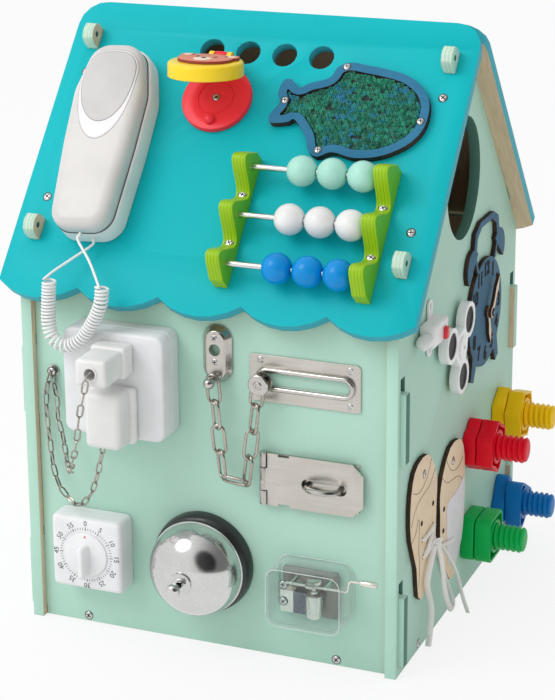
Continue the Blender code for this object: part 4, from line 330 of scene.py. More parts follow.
def coil_points():
    route = smooth(COIL_ROUTE, 40)
    last = len(route) - 1
    tangents = [(route[min(i + 1, last)] - route[max(i - 1, 0)]).normalized() for i in range(last + 1)]
    turns = [0]
    for i in range(1, last + 1):
        run = (route[i] - route[i - 1]).length
        bend = tangents[i].angle(tangents[i - 1]) / run
        pitch = (2 * CORD_WIRE + CORD_GAP) / (1 - min(bend * COIL_RADIUS, 1 / 2) * 1.1)
        turns.append(turns[-1] + run / pitch)
    points = []
    k = 0
    for n in range(int(int(turns[-1] * 8) / 8 * TURN_POINTS) + 1):
        want = n / TURN_POINTS
        while k < len(turns) - 2 and turns[k + 1] < want:
            k += 1
        share = (want - turns[k]) / (turns[k + 1] - turns[k])
        along = tangents[k].lerp(tangents[k + 1], share).normalized()
        out = Vector((0, -1, 0))
        out = (out - along * out.dot(along)).normalized()
        angle = 2 * pi * want
        spoke = out * cos(angle) + along.cross(out) * sin(angle)
        points.append(route[k].lerp(route[k + 1], share) + spoke * COIL_RADIUS)
    return points


coil = coil_points()
down_slope = Vector((0, -cos(PITCH), -sin(PITCH)))
low_end = -PHONE_LENGTH / 2 - LOOSE
handset_exit = PHONE @ Vector((0.002, low_end - HANDSET_OVERHANG, CRADLE_THICK + LOOSE + HANDSET_THICK / 3))
cradle_exit = PHONE @ Vector((0.007, low_end + PHONE_FOOT + CRADLE_SHORT, CRADLE_THICK / 2))
STRAIGHT = 2 * CORD_WIRE


def strand(exit, end):
    return [exit, exit + down_slope * STRAIGHT, exit + down_slope * 3 * STRAIGHT,
            exit.lerp(end, 0.45) - Vector((0, 0, STRAIGHT)), exit.lerp(end, 0.8), end]


cord_path = smooth(strand(handset_exit, coil[0]), 6)[:-1] + coil
cord_path += smooth(strand(cradle_exit, coil[-1]), 6)[::-1][1:]
white_lead = Finish("white_lead")
speck = white_lead.noise(900, detail=2)
tone = white_lead.mix((0.80, 0.81, 0.81), (0.90, 0.90, 0.89), speck)
white_lead.relief(white_lead.noise(2500), 0.00005, 0.5)
white_lead.give(base_color=tone, roughness=0.32 + speck * 0.16, coat_weight=0.15)
curly_cord = new_piece("curly_cord", tube(cord_path, CORD_WIRE, 2), None, white_lead.material,
                       "white_plastic", ("phone_curly_cord",))
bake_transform(curly_cord)
run_length(cord_path)

# ---------------------------------------------------------------- Shoe lace
# Flat woven cotton lace, 5 mm wide, with clear plastic tips; its knot sits low on the
# left shoe, and a short end and one bow with its tail hang from it.
SIDE_FACE = 0.158
SIDE = Matrix.Translation((SIDE_FACE, 0, 0)) @ Matrix(((0, 0, 1), (1, 0, 0), (0, 1, 0))).to_4x4()
LACE_TIP_RADIUS = 0.001664
LACE_WIDTH = 0.0050
LACE_KNOT = (-0.0825, 0.0865, 0.0088)
LACE_SHORT = (LACE_KNOT, (-0.0760, 0.0760, 0.0130), (-0.0660, 0.0560, 0.0190), (-0.0560, 0.0300, 0.0220),
              (-0.0475, 0.0125, 0.0240))
LACE_BOW = (LACE_KNOT, (-0.0900, 0.0720, 0.0150), (-0.0890, 0.0500, 0.0170), (-0.0800, 0.0330, 0.0175),
            (-0.0660, 0.0215, 0.0160), (-0.0590, 0.0250, 0.0150), (-0.0640, 0.0410, 0.0120),
            (-0.0740, 0.0640, 0.0090), (-0.0840, 0.0835, 0.0075), (-0.0960, 0.0760, 0.0080),
            (-0.1060, 0.0620, 0.0080), (-0.1010, 0.0480, 0.0080), (-0.0960, 0.0340, 0.0085),
            (-0.1000, 0.0180, 0.0090), (-0.1060, 0.0060, 0.0095))
LACE_TIP = 0.009


def soft(mesh, angle):
    """Shaded smooth, except over edges that bend by more than angle."""
    mesh.shade_smooth()
    mesh.set_sharp_from_angle(angle=radians(angle))
    return mesh


def as_mesh(work, angle=0):
    mesh = bpy.data.meshes.new("made")
    work.to_mesh(mesh)
    work.free()
    return soft(mesh, angle) if angle else mesh


def lofted(rows, closed=False, caps=(), merge=0.0, angle=0):
    """A skin through rows of points, each row a ring; closed joins the last row to the
    first, and caps are the rows that end in a flat face."""
    around = len(rows[0])
    work = bmesh.new()
    rings = [[work.verts.new(point) for point in row] for row in rows]
    for low, high in zip(rings, rings[1:] + rings[:1] if closed else rings[1:]):
        for i in range(around):
            j = (i + 1) % around
            work.faces.new((low[i], low[j], high[j], high[i]))
    for n in caps:
        work.faces.new(rings[n])
    if merge:
        bmesh.ops.remove_doubles(work, verts=work.verts, dist=merge)
    bmesh.ops.recalc_face_normals(work, faces=work.faces)
    return as_mesh(work, angle)


def woven_tube(points, wide, high, steps):
    """An oval cord about a path, capped, with a uv map of run in metres and share of
    the girth for its weave."""
    points = [Vector(p) for p in points]
    last = len(points) - 1
    side = None
    rows, runs = [], [0]
    for i, point in enumerate(points):
        along = (points[min(i + 1, last)] - points[max(i - 1, 0)]).normalized()
        if side is None:
            side = along.cross(Vector((0.3, 0.2, 1))).normalized()
        side = (side - along * side.dot(along)).normalized()
        other = along.cross(side)
        if i:
            runs.append(runs[-1] + (point - points[i - 1]).length)
        angles = [2 * pi * k / steps for k in range(steps)]
        rows.append([point + side * wide * cos(a) + other * high * sin(a) for a in angles])
    mesh = lofted(rows, caps=(0, -1), angle=60)
    weave = mesh.uv_layers.new(name="weave")
    for face in mesh.polygons[:last * steps]:
        for loop in face.loop_indices:
            ring, k = divmod(mesh.loops[loop].vertex_index, steps)
            around = steps if k == 0 and face.index % steps == steps - 1 else k
            weave.data[loop].uv = (runs[ring], around / steps)
    return mesh


lace_cotton = Finish("lace_cotton")
threads = []
for way in (900, -900):
    run = lace_cotton.node("ShaderNodeTexCoord", {}, {}, "UV")
    spread = lace_cotton.node("ShaderNodeMapping", {}, {"Vector": run, "Scale": (way, 9, 1)})
    threads.append(lace_cotton.node("ShaderNodeTexWave", {"bands_direction": "DIAGONAL"},
                                    {"Vector": spread, "Scale": 1.0, "Distortion": 1.2}, 1))
thread = threads[0].sum("MAXIMUM", threads[1])
fluff = lace_cotton.noise(1200, detail=3)
tone = lace_cotton.mix((0.74, 0.73, 0.68), (0.93, 0.92, 0.89), thread * 0.7 + fluff * 0.3)
lace_cotton.relief(thread * 0.8 + fluff * 0.3, 0.00022, 0.7)
lace_cotton.give(base_color=tone, roughness=0.85 + fluff * 0.1)
lace_tip = Finish("lace_tip")
film = lace_tip.noise(600, stretch=(1, 1, 0.1), detail=3)
lace_tip.relief(film, 0.00008, 0.4)
tone = lace_tip.mix((0.62, 0.62, 0.60), (0.80, 0.80, 0.79), film)
lace_tip.give(base_color=tone, roughness=0.18 + film * 0.12, coat_weight=0.5)


def lace(name, route, steps):
    points = smooth([SIDE @ Vector(p) for p in route], steps)
    flat = woven_tube(points, LACE_WIDTH / 2, LACE_WIDTH * 0.28, 18)
    piece = new_piece(name, flat, "house", lace_cotton.material, "lace_cotton", ("shoe_lace",))
    end = points[-1]
    back = (points[-1] - points[-2]).normalized()
    tip = [end - back * LACE_TIP, end - back * LACE_TIP * 0.5, end + back * 0.0002]
    tip = woven_tube(tip, LACE_TIP_RADIUS, LACE_TIP_RADIUS, 18)
    tip = new_piece(name + "_tip", tip, "house", lace_tip.material, "clear_plastic")
    run_length(points)


lace("lace_short_end", LACE_SHORT, 6)
lace("lace_bow", LACE_BOW, 3)
knot_points = []
for i in range(49):
    angle = 2 * pi * i / 24
    rise = Vector((0.0028 * cos(angle), 0.0016 * sin(angle) + 0.0010 * (i / 24 - 1),
                   0.0024 * sin(angle + 0.8 * i / 24)))
    knot_points.append(SIDE @ (Vector(LACE_KNOT) + rise))
foot_points = [SIDE @ Vector((*LACE_KNOT[:2], height)) for height in (0.0036, 0.0050, 0.0070, 0.0086)]
new_piece("lace_knot", woven_tube(knot_points, 0.0015, 0.0013, 14), "house", lace_cotton.material,
          "lace_cotton")
new_piece("lace_knot_foot", woven_tube(foot_points, 0.0020, 0.0015, 14), "house", lace_cotton.material,
          "lace_cotton")

# ---------------------------------------------------------------- Plug chains
# Two thin chains of nickelled 1.6 mm steel wire tie the plugs to one screw in the wall,
# so that a pulled plug isn't lost.
WALL_FACE = 0.152
FRONT = Matrix.Translation((0, -WALL_FACE, 0)) @ Matrix(((1, 0, 0), (0, 0, -1), (0, 1, 0))).to_4x4()
CHAIN_WIRE = 0.00078
CHAIN_LINK = (0.0118, 0.0056)
PLUG_CHAIN_UPPER = ((-0.1338, 0.2153, 0.0035), (-0.1290, 0.1935, 0.006), (-0.1268, 0.1780, 0.009),
                    (-0.1205, 0.1660, 0.014), (-0.1128, 0.1549, 0.024), (-0.0965, 0.1522, 0.049),
                    (-0.0830, 0.1690, 0.070), (-0.0733, 0.1895, 0.0805), (-0.0693, 0.2138, 0.0812),
                    (-0.0656, 0.2278, 0.0812), (-0.0637, 0.2390, 0.0805), (-0.0628, 0.2450, 0.0775),
                    (-0.063, 0.2448, 0.0721))
PLUG_CHAIN_LOWER = ((-0.1338, 0.2153, 0.0035), (-0.1385, 0.2000, 0.0045), (-0.1390, 0.1800, 0.0050),
                    (-0.1365, 0.1560, 0.0060), (-0.1315, 0.1340, 0.010), (-0.1225, 0.1190, 0.014),
                    (-0.1048, 0.1126, 0.022), (-0.0920, 0.1230, 0.027), (-0.0840, 0.1380, 0.031),
                    (-0.0775, 0.1570, 0.034), (-0.0723, 0.17515, 0.037))


def setting_out_tree():
    """Puts a made shape on every point, turned and sized as the point says."""
    tree = bpy.data.node_groups.new("setting_out", "GeometryNodeTree")
    for name, way, kind in (("Points", "INPUT", "Geometry"), ("Shape", "INPUT", "Object"),
                            ("Size", "INPUT", "Float"), ("Finish", "INPUT", "Material"),
                            ("Result", "OUTPUT", "Geometry")):
        tree.interface.new_socket(name, in_out=way, socket_type="NodeSocket" + kind)
    made = {name: tree.nodes.new(kind) for name, kind in (
        ("start", "NodeGroupInput"), ("end", "NodeGroupOutput"), ("shape", "GeometryNodeObjectInfo"),
        ("turn", "GeometryNodeInputNamedAttribute"), ("size", "GeometryNodeInputNamedAttribute"),
        ("scale", "ShaderNodeMath"), ("rotation", "FunctionNodeEulerToRotation"),
        ("place", "GeometryNodeInstanceOnPoints"), ("real", "GeometryNodeRealizeInstances"),
        ("finish", "GeometryNodeSetMaterial"))}
    for name, kind in (("turn", "FLOAT_VECTOR"), ("size", "FLOAT")):
        made[name].data_type = kind
        made[name].inputs["Name"].default_value = name
    made["scale"].operation = "MULTIPLY"
    for source, out, target, into in (
            ("start", "Shape", "shape", "Object"), ("start", "Points", "place", "Points"),
            ("shape", "Geometry", "place", "Instance"), ("turn", "Attribute", "rotation", "Euler"),
            ("rotation", "Rotation", "place", "Rotation"), ("size", "Attribute", "scale", 0),
            ("start", "Size", "scale", 1), ("scale", 0, "place", "Scale"),
            ("place", "Instances", "real", "Geometry"), ("real", "Geometry", "finish", "Geometry"),
            ("start", "Finish", "finish", "Material"), ("finish", "Geometry", "end", "Result")):
        tree.links.new(made[source].outputs[out], made[target].inputs[into])
    return tree


setting_out = setting_out_tree()


def set_out(shape, places, finish, size=1.0):
    """One mesh of a shape repeated at places, each a matrix; the points carry the turns."""
    points = bpy.data.meshes.new("points")
    points.from_pydata([m.translation for m in places], [], [])
    turns = points.attributes.new("turn", "FLOAT_VECTOR", "POINT")
    turns.data.foreach_set("vector", [a for m in places for a in m.to_euler()])
    sizes = points.attributes.new("size", "FLOAT", "POINT")
    sizes.data.foreach_set("value", [m.to_scale().x for m in places])
    model = bpy.data.objects.new("model", shape)
    holder = bpy.data.objects.new("holder", points)
    for obj in (model, holder):
        bpy.context.scene.collection.objects.link(obj)
    modifier = holder.modifiers.new("setting_out", "NODES")
    modifier.node_group = setting_out
    for item in setting_out.interface.items_tree:
        given = {"Shape": model, "Size": size, "Finish": finish}.get(item.name)
        if given is not None and item.in_out == "INPUT":
            modifier[item.identifier] = given
    graph = bpy.context.evaluated_depsgraph_get()
    mesh = bpy.data.meshes.new_from_object(holder.evaluated_get(graph))
    bpy.data.objects.remove(holder, do_unlink=True)
    bpy.data.objects.remove(model, do_unlink=True)
    return soft(mesh, 35)


def metal(name, color, roughness, brush=None, relief=0.00003, dull=None):
    """Plated or polished steel: fine scratches along brush, and a slightly uneven gloss."""
    finish = Finish(name)
    scratch = finish.noise(700, stretch=brush or (1, 1, 1), detail=4, rough=0.6)
    cloud = finish.noise(30, detail=3)
    share = (scratch * 0.5 + cloud * 0.5).step(0.3, 0.7)
    tone = finish.mix(dull or tuple(c * 0.82 for c in color), color, share)
    finish.relief(scratch, relief, 0.4)
    return finish.give(base_color=tone, metallic=1.0, roughness=roughness + scratch * 0.12 + cloud * 0.06)


def link_shape(length, width, wire, corners=5, sides=6):
    """A closed oval link of round wire, long way on X, lying in the XY plane."""
    run = length / 2 - width / 2
    reach = width / 2 - wire
    path = []
    for way in (1, -1):
        for k in range(corners):
            angle = pi * (k / (corners - 1) - 1 / 2)
            path.append(Vector((way * (run + reach * cos(angle)), way * reach * sin(angle), 0)))
    rows = []
    for i, point in enumerate(path):
        along = (path[(i + 1) % len(path)] - path[i - 1]).normalized()
        side = Vector((along.y, -along.x, 0))
        angles = [2 * pi * k / sides for k in range(sides)]
        rows.append([point + (side * cos(a) + Vector((0, 0, sin(a)))) * wire for a in angles])
    mesh = lofted(rows, closed=True)
    mesh.shade_smooth()
    return mesh


def link_places(points, pitch, start):
    """Where links sit along a path, each a quarter turn from the last one."""
    runs = [0]
    for a, b in zip(points, points[1:]):
        runs.append(runs[-1] + (b - a).length)
    count = max(1, round(runs[-1] / pitch))
    places = []
    side = Vector((0, -1, 0.2))
    k = 0
    for n in range(count):
        want = runs[-1] * (n + 0.5) / count
        while k < len(points) - 2 and runs[k + 1] < want:
            k += 1
        at = points[k].lerp(points[k + 1], (want - runs[k]) / (runs[k + 1] - runs[k]))
        along = (points[min(k + 2, len(points) - 1)] - points[max(k - 1, 0)]).normalized()
        side = (side - along * side.dot(along)).normalized()
        turned = Matrix((along, side, along.cross(side))).transposed().to_4x4()
        spin = Matrix.Rotation(start + pi / 2 * (n % 2), 4, "X")
        places.append(Matrix.Translation(at) @ turned @ spin)
    return places


nickel = metal("nickel", (0.56, 0.52, 0.47), 0.14, dull=(0.30, 0.27, 0.24))


def plug_chain(name, route):
    points = smooth([FRONT @ Vector(p) for p in route], 5)
    places = link_places(points, CHAIN_LINK[0] - 2.4 * CHAIN_WIRE, 0.5)
    links = set_out(link_shape(*CHAIN_LINK, CHAIN_WIRE), places, nickel)
    piece = new_piece(name, links, None, None, "brushed_steel", ("plug_chains",))
    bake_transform(piece)
    run_length(points)


plug_chain("plug_chain_upper", PLUG_CHAIN_UPPER)
plug_chain("plug_chain_lower", PLUG_CHAIN_LOWER)

# ---------------------------------------------------------------- Walls and gables
# Nine millimetre birch ply, sawn to shape, tabbed through slots at the corners and
# sprayed satin mint outside; the inside is left bare.
EAR_PLACES = (0.0358, 0.210)
EAR_HOLE_UP = 0.008
WINDOW_AT = (0, 0.363)
WINDOW_HALF = (0.044, 0.050)
MINT = (0.475, 0.72, 0.605)
MINT_SHADE = (0.43, 0.68, 0.565)
CUT_SHADE_MINT = (0.10, 0.24, 0.19)
BIRCH = (0.70, 0.56, 0.39)
BIRCH_DARK = (0.56, 0.42, 0.27)
BIRCH_PALE = (0.74, 0.60, 0.42)


def painted_ply(name, color, shade, grain_way, roughness=0.5, shine=0.3, veneer=0.0):
    """Satin paint over ply: the grain just shows in the gloss and the relief, and the
    veneers show as lines along a sawn edge."""
    finish = Finish(name)
    grain = finish.noise(42, stretch=grain_way, detail=5, rough=0.62)
    cloud = finish.noise(5, detail=3)
    pores = finish.noise(420, stretch=grain_way, detail=2)
    tone = finish.mix(shade, color, (grain * 0.25 + cloud * 0.9).step(0.3, 0.85))
    if veneer:
        lines = (finish.axis("X") * (2 * pi / veneer)).sum("SINE").step(0.2, 0.95)
        tone = finish.mix(tone, tuple(c * 0.62 for c in shade), lines * 0.6)
    finish.relief(grain * 0.7 + pores * 0.3, 0.00016, 0.25)
    gloss = roughness + grain * 0.14 - pores * 0.05
    return finish.give(base_color=tone, roughness=gloss, specular_ior_level=shine)


def bare_ply(name, grain_way):
    """Unpainted birch, sanded, with its grain along one way."""
    finish = Finish(name)
    grain = finish.noise(60, stretch=grain_way, detail=6, rough=0.6)
    figure = finish.noise(9, stretch=grain_way, detail=3)
    tone = finish.mix(BIRCH_DARK, BIRCH, grain.step(0.25, 0.7))
    tone = finish.mix(tone, BIRCH_PALE, figure.step(0.45, 0.7) * 0.6)
    finish.relief(grain, 0.0003, 0.5)
    return finish.give(base_color=tone, roughness=0.62 + figure * 0.2, specular_ior_level=0.3)


wall_mint = painted_ply("wall_mint", MINT, MINT_SHADE, (14, 14, 1))
# Dark green for cut edges, slots, ear holes and tab ends: painted shade in those recesses.
cut_shade_green = painted_ply("cut_shade_green", CUT_SHADE_MINT, (0.07, 0.19, 0.15), (4, 4, 4), 0.6)
bare_inside = bare_ply("bare_inside", (14, 14, 1))
ear_mint = Finish("ear_mint")
veneers = (ear_mint.axis("X") * (2 * pi / 0.0030)).sum("SINE")
speck = ear_mint.noise(380, detail=4)
tone = ear_mint.mix((0.47, 0.66, 0.53), (0.60, 0.77, 0.64), (veneers * 0.35 + speck).step(0.2, 0.9))
ear_mint.relief(veneers * 0.5 + speck, 0.0002, 0.6)
ear_mint.give(base_color=tone, roughness=0.6 + speck * 0.1)


def eased(mesh, ease, segments=2):
    """Edges rounded as sanding leaves them, then shaded smooth."""
    rounding = {"width": ease, "segments": segments, "limit_method": "ANGLE", "angle_limit": radians(40)}
    return soft(baked(mesh, [("BEVEL", rounding)]), 40)


def copy_of(node):
    """A node's triangles joined up, with flat regions as single faces."""
    work = bmesh.new()
    work.from_mesh(nodes[node].data)
    bmesh.ops.remove_doubles(work, verts=work.verts, dist=0.00001)
    bmesh.ops.dissolve_limit(work, angle_limit=radians(1), verts=work.verts, edges=work.edges)
    mesh = as_mesh(work)
    if "custom_normal" in mesh.attributes:
        mesh.attributes.remove(mesh.attributes["custom_normal"])
    return mesh


def dressed(name, node, body, finishes, pick, ease=0.0004, slot=None):
    """A node's own shape with eased edges, each face in the finish that pick chooses."""
    mesh = coated(copy_of(node), *finishes)
    for face in mesh.polygons:
        face.material_index = pick(face.normal, face.center) if pick else 0
    return new_piece(name, eased(mesh, ease), body, None, slot, (node,))


def gable_face(way):
    """Mint outside, bare inside, dark green painted shade in the cuts and ear holes, and pale mint on the
    ears' flanks.
    """
    def pick(normal, centre):
        if abs(normal.x) > 0.7:
            return 0 if normal.x * way > 0 else 2
        window = hypot((centre.y - WINDOW_AT[0]) / WINDOW_HALF[0], (centre.z - WINDOW_AT[1]) / WINDOW_HALF[1])
        if window < 1.05 and way > 0:
            return 1
        over_roof = abs(centre.y) * sin(PITCH) + (centre.z - RIDGE) * cos(PITCH)
        down_roof = abs(centre.y) * cos(PITCH) - (centre.z - RIDGE) * sin(PITCH)
        if min(hypot(down_roof - down, over_roof - EAR_HOLE_UP) for down in EAR_PLACES) < 0.0027:
            return 1
        if over_roof > -0.002:
            return 3
        return 0 if abs(centre.y) > 0.157 or centre.z < 0.001 or over_roof > -0.02 else 1
    return pick


sheet_finishes = (wall_mint, cut_shade_green, bare_inside)
gable_finishes = (*sheet_finishes, ear_mint.material)
dressed("gable_right", "right_gable", "house", gable_finishes, gable_face(1), 0.0005, "mint_paint")
dressed("gable_left", "left_gable", "house", gable_finishes, gable_face(-1), 0.0005, "mint_paint")
# The tab ends out through the right gable take the dark green painted shade.
dressed("wall_front", "front_wall", "house", sheet_finishes,
        lambda n, c: 2 if n.y > 0.7 else 1 if c.x > 0.1575 and abs(n.x) > 0.5 else 0, 0.0005, "mint_paint")
dressed("wall_back", "back_wall", "house", sheet_finishes, lambda n, c: 2 if n.y < -0.7 else 0, 0.0005,
        "mint_paint")
floor_ply = bare_ply("floor_ply", (1, 14, 14))
dressed("base_board", "floor_board", "house", (floor_ply,), None, 0.0004, "bare_plywood")

# ---------------------------------------------------------------- Roof panels
# Two more sheets of the same ply with a scalloped eave. The top is sprayed a
# deeper satin teal, the underside is bare birch.
TEAL = (0.002, 0.485, 0.535)
TEAL_SHADE = (0.002, 0.435, 0.485)
roof_teal = painted_ply("roof_teal", TEAL, TEAL_SHADE, (14, 1, 1), 0.42, 0.15)
# The edge teal is a darker copy of the top's teal: painted shade on the edge faces.
roof_edge_shaded_teal = painted_ply("roof_edge_shaded_teal", (0.045, 0.43, 0.52), (0.035, 0.37, 0.45), (2, 6, 6), 0.5)
roof_under = bare_ply("roof_under", (14, 1, 1))


def roof_face(way):
    """Teal on top, bare birch underneath, and a darker, greyer teal round the edge as painted shade."""
    outward = Vector((0, way * sin(PITCH), cos(PITCH)))

    def pick(normal, centre):
        lean = normal.dot(outward)
        return 0 if lean > 0.7 else 2 if lean < -0.7 else 1
    return pick


roof_finishes = (roof_teal, roof_edge_shaded_teal, roof_under)
dressed("roof_front", "front_roof", "house", roof_finishes, roof_face(-1), 0.0006, "teal_paint")
dressed("roof_back", "back_roof", "house", roof_finishes, roof_face(1), 0.0006, "teal_paint")

# ---------------------------------------------------------------- Screws
# Zinc-plated countersunk cross-head screws hold the panels and fittings; each was
# driven by hand, so the crosses stand at all angles.
EAR_HOLE_DEPTH = 0.003
SCREW_HEAD = 0.0033
SCREW_RISE = 0.0009
SCREW_CROSS = 0.0021
SCREW_SLOT = 0.00095
AROUND = Matrix.Rotation(pi, 4, "Z")


def revolve(profile, steps=48, closed=False):
    """A shape turned about Z from its half section."""
    angles = [2 * pi * i / steps for i in range(steps)]
    rows = [[(radius * cos(a), radius * sin(a), height) for a in angles] for radius, height in profile]
    return lofted(rows, closed, merge=1e-7, angle=40)


def rod(radius, low, high, steps=24):
    """A plain round bar along Z."""
    return revolve([(0, low), (radius, low), (radius, high), (0, high)], steps)


def block(low, high):
    work = bmesh.new()
    bmesh.ops.create_cube(work, size=1)
    low, high = Vector(low), Vector(high)
    place = Matrix.Translation((low + high) / 2) @ Matrix.Diagonal((*(high - low), 1))
    bmesh.ops.transform(work, matrix=place, verts=work.verts)
    return as_mesh(work)


def joined(meshes, angle=0):
    """Several meshes as one, each with its own material kept."""
    finishes = []
    work = bmesh.new()
    for mesh in meshes:
        start = len(work.faces)
        work.from_mesh(mesh)
        work.faces.ensure_lookup_table()
        own = list(mesh.materials)
        for face in work.faces[start:] if own else ():
            finish = own[min(face.material_index, len(own) - 1)]
            if finish not in finishes:
                finishes.append(finish)
            face.material_index = finishes.index(finish)
    mesh = as_mesh(work, angle)
    for finish in finishes:
        mesh.materials.append(finish)
    return mesh


def carved(mesh, *cutters, operation="DIFFERENCE"):
    """A mesh with others cut from it."""
    for cutter in cutters:
        other = bpy.data.objects.new("cutter", cutter)
        bpy.context.scene.collection.objects.link(other)
        mesh = baked(mesh, [("BOOLEAN", {"object": other, "operation": operation, "solver": "EXACT"})])
        bpy.data.objects.remove(other, do_unlink=True)
    return mesh


zinc = metal("zinc", (0.72, 0.71, 0.70), 0.22)
cross_painted_shade = metal("cross_painted_shade", (0.04, 0.037, 0.035), 0.45)


def cross_bars(low, high):
    """The two bars of a cross-head, from height low to high."""
    long, wide = SCREW_CROSS, SCREW_SLOT / 2
    return [block((-a, -b, low), (a, b, high)) for a, b in ((long, wide), (wide, long))]


head = revolve([(0, SCREW_RISE), (SCREW_HEAD * 0.6, SCREW_RISE * 0.92), (SCREW_HEAD * 0.9, SCREW_RISE * 0.6),
                (SCREW_HEAD, SCREW_RISE * 0.15), (SCREW_HEAD, -0.0004), (0, -0.0004)], 24)
screw_head = carved(head, *cross_bars(SCREW_RISE * 0.1, 0.003))
# Painted shade: a dark cross in each head's recess and a dark ring round its rim.
first_bar, second_bar = cross_bars(0, SCREW_RISE * 0.3)
rim = revolve([(SCREW_HEAD * 0.98, -0.0004), (SCREW_HEAD * 1.16, -0.0004), (SCREW_HEAD * 1.16, 0.00012),
               (SCREW_HEAD * 0.98, 0.00012)], 24, closed=True)
screw_shadow = joined([rim, carved(first_bar, second_bar, operation="UNION")])


def screws(name, body, spots, size=1.0, base=ROOF):
    """Heads at (x, y, height) of a face, each at its own angle, with painted shade
    in their crosses and round their rims."""
    places = [base @ Matrix.Translation((x, y, height)) @ Matrix.Rotation(0.7 * i + x * 90, 4, "Z")
              @ Matrix.Scale(size, 4) for i, (x, y, height) in enumerate(spots)]
    heads = joined([set_out(screw_head, places, zinc), set_out(screw_shadow, places, cross_painted_shade)], 35)
    return new_piece(name, heads, body, None, "brushed_steel")


# Painted shade: a dark, slightly mottled rod sunk in each ear hole stands for the shade inside it.
ear_shade = Finish("ear_hole_shade")
shade_mottle = ear_shade.noise(300, detail=3)
ear_shade.give(base_color=ear_shade.mix((0.03, 0.05, 0.045), (0.06, 0.09, 0.08), shade_mottle), roughness=0.9)
ear_shade_rod = rod(0.00245, -EAR_HOLE_DEPTH, EAR_HOLE_DEPTH, 20)
ear_holes = [base @ Matrix.Translation((x, -down, EAR_HOLE_UP)) @ Matrix.Rotation(pi / 2, 4, "Y")
             for base in (ROOF, AROUND @ ROOF) for x in (-0.1535, 0.1535) for down in EAR_PLACES]
new_piece("ear_pegs", set_out(ear_shade_rod, ear_holes, ear_shade.material), "house", None, "mint_paint")
roof_spots = [(side, -down, 0) for side in (-0.153, 0.153) for down in (0.0668, 0.1816)]
wall_spots = [(-0.110, 0.005, 0), (0.107, 0.005, 0)]
gable_spots = [(-0.102, 0.005, 0), (0.102, 0.005, 0)]
for name, spots, base in (("roof", roof_spots, ROOF), ("back_roof", roof_spots, AROUND @ ROOF),
                          ("front_wall", wall_spots, FRONT), ("back_wall", wall_spots, AROUND @ FRONT),
                          ("right_gable", gable_spots, SIDE), ("left_gable", gable_spots, AROUND @ SIDE)):
    screws(name + "_screws", "house", spots, base=base)

# ---------------------------------------------------------------- Telephone
# A slim-line handset of pale grey ABS lying in a white cradle screwed to the roof;
# both are mouldings with soft edges, with a dark tube in the gap between them as painted shade.
PHONE_WIDTH = 0.066
PHONE_SHARES = ((-0.34, 0.5), (0.34, 0.5), (0.5, 0.24), (0.48, -0.04), (0.40, -0.5), (-0.40, -0.5),
                (-0.48, -0.04), (-0.5, 0.24))
PHONE_ROUND_SHARES = (0.30, 0.30, 0.6, 0.8, 0.26, 0.26, 0.8, 0.6)
HANDSET_INSET = 0.0030
HANDSET_GAP = 0.0011
PANEL_AT = 0.049


def rounded(points, radii, steps=4):
    """A polygon whose corners are arcs of the given radii."""
    if not isinstance(radii, (list, tuple)):
        radii = [radii] * len(points)
    result = []
    for i, radius in enumerate(radii):
        corner = Vector(points[i])
        if not radius:
            result.append(tuple(corner))
            continue
        before = (Vector(points[i - 1]) - corner).normalized()
        after = (Vector(points[(i + 1) % len(points)]) - corner).normalized()
        half = acos(max(-1, min(1, before.dot(after)))) / 2
        centre = corner + (before + after).normalized() * (radius / sin(half))
        start = corner + before * (radius / tan(half)) - centre
        end = corner + after * (radius / tan(half)) - centre
        sweep = start.angle_signed(end)
        for k in range(steps + 1):
            spoke = start.copy()
            spoke.rotate(Matrix.Rotation(-sweep * k / steps, 2))
            result.append(tuple(centre + spoke))
    return result


def spaced(loop, count):
    """The same closed outline as count points at even spacing."""
    loop = [Vector(p) for p in loop] + [Vector(loop[0])]
    runs = [0]
    for a, b in zip(loop, loop[1:]):
        runs.append(runs[-1] + (b - a).length)
    result = []
    k = 0
    for n in range(count):
        want = runs[-1] * n / count
        while runs[k + 1] < want:
            k += 1
        result.append(tuple(loop[k].lerp(loop[k + 1], (want - runs[k]) / (runs[k + 1] - runs[k]))))
    return result


def inset(loop, distance):
    """A loop moved inwards along its normals; the loop runs anticlockwise."""
    result = []
    for i, point in enumerate(loop):
        along = (Vector(loop[(i + 1) % len(loop)]) - Vector(loop[i - 1])).normalized()
        result.append(tuple(Vector(point) + Vector((-along.y, along.x)) * distance))
    return result


def anticlockwise(loop):
    area = sum(a[0] * b[1] - a[1] * b[0] for a, b in zip(loop, loop[1:] + loop[:1]))
    return loop if area > 0 else loop[::-1]


def pillow(outline, rows, crown=0.0, rings=7):
    """A moulding: the outline moved in by each row's first number at its second, the
    height, then closed by rings that rise by crown towards the middle line."""
    outline = anticlockwise(outline)
    layers = [[(x, y, h) for x, y in inset(outline, d)] for d, h in rows]
    edge = layers[-1]
    high, low = max(y for x, y, z in edge), min(y for x, y, z in edge)
    middle = (high + low) / 2
    spine = (high - low) / 2 - max(x for x, y, z in edge) * 0.85
    for k in range(1, rings + 1):
        share = k / rings
        top = rows[-1][1] + crown * (1 - (1 - share) ** 2)
        nears = [middle + max(-spine, min(spine, y - middle)) for x, y, z in edge]
        layers.append([(x * (1 - share), y + (near - y) * share, top) for (x, y, z),
                       near in zip(edge, nears)])
    return lofted(layers, caps=(0,), merge=0.00002, angle=50)


def phone_outline(margin, overhang, count=112):
    width = PHONE_WIDTH - 2 * margin
    top = PHONE_LENGTH / 2 - margin
    bottom = PHONE_LENGTH / 2 - PHONE_FOOT + overhang
    points = [(x * width, y * 2 * (top if y > 0 else bottom)) for x, y in PHONE_SHARES]
    return spaced(rounded(points, [share * width for share in PHONE_ROUND_SHARES], 6), count)


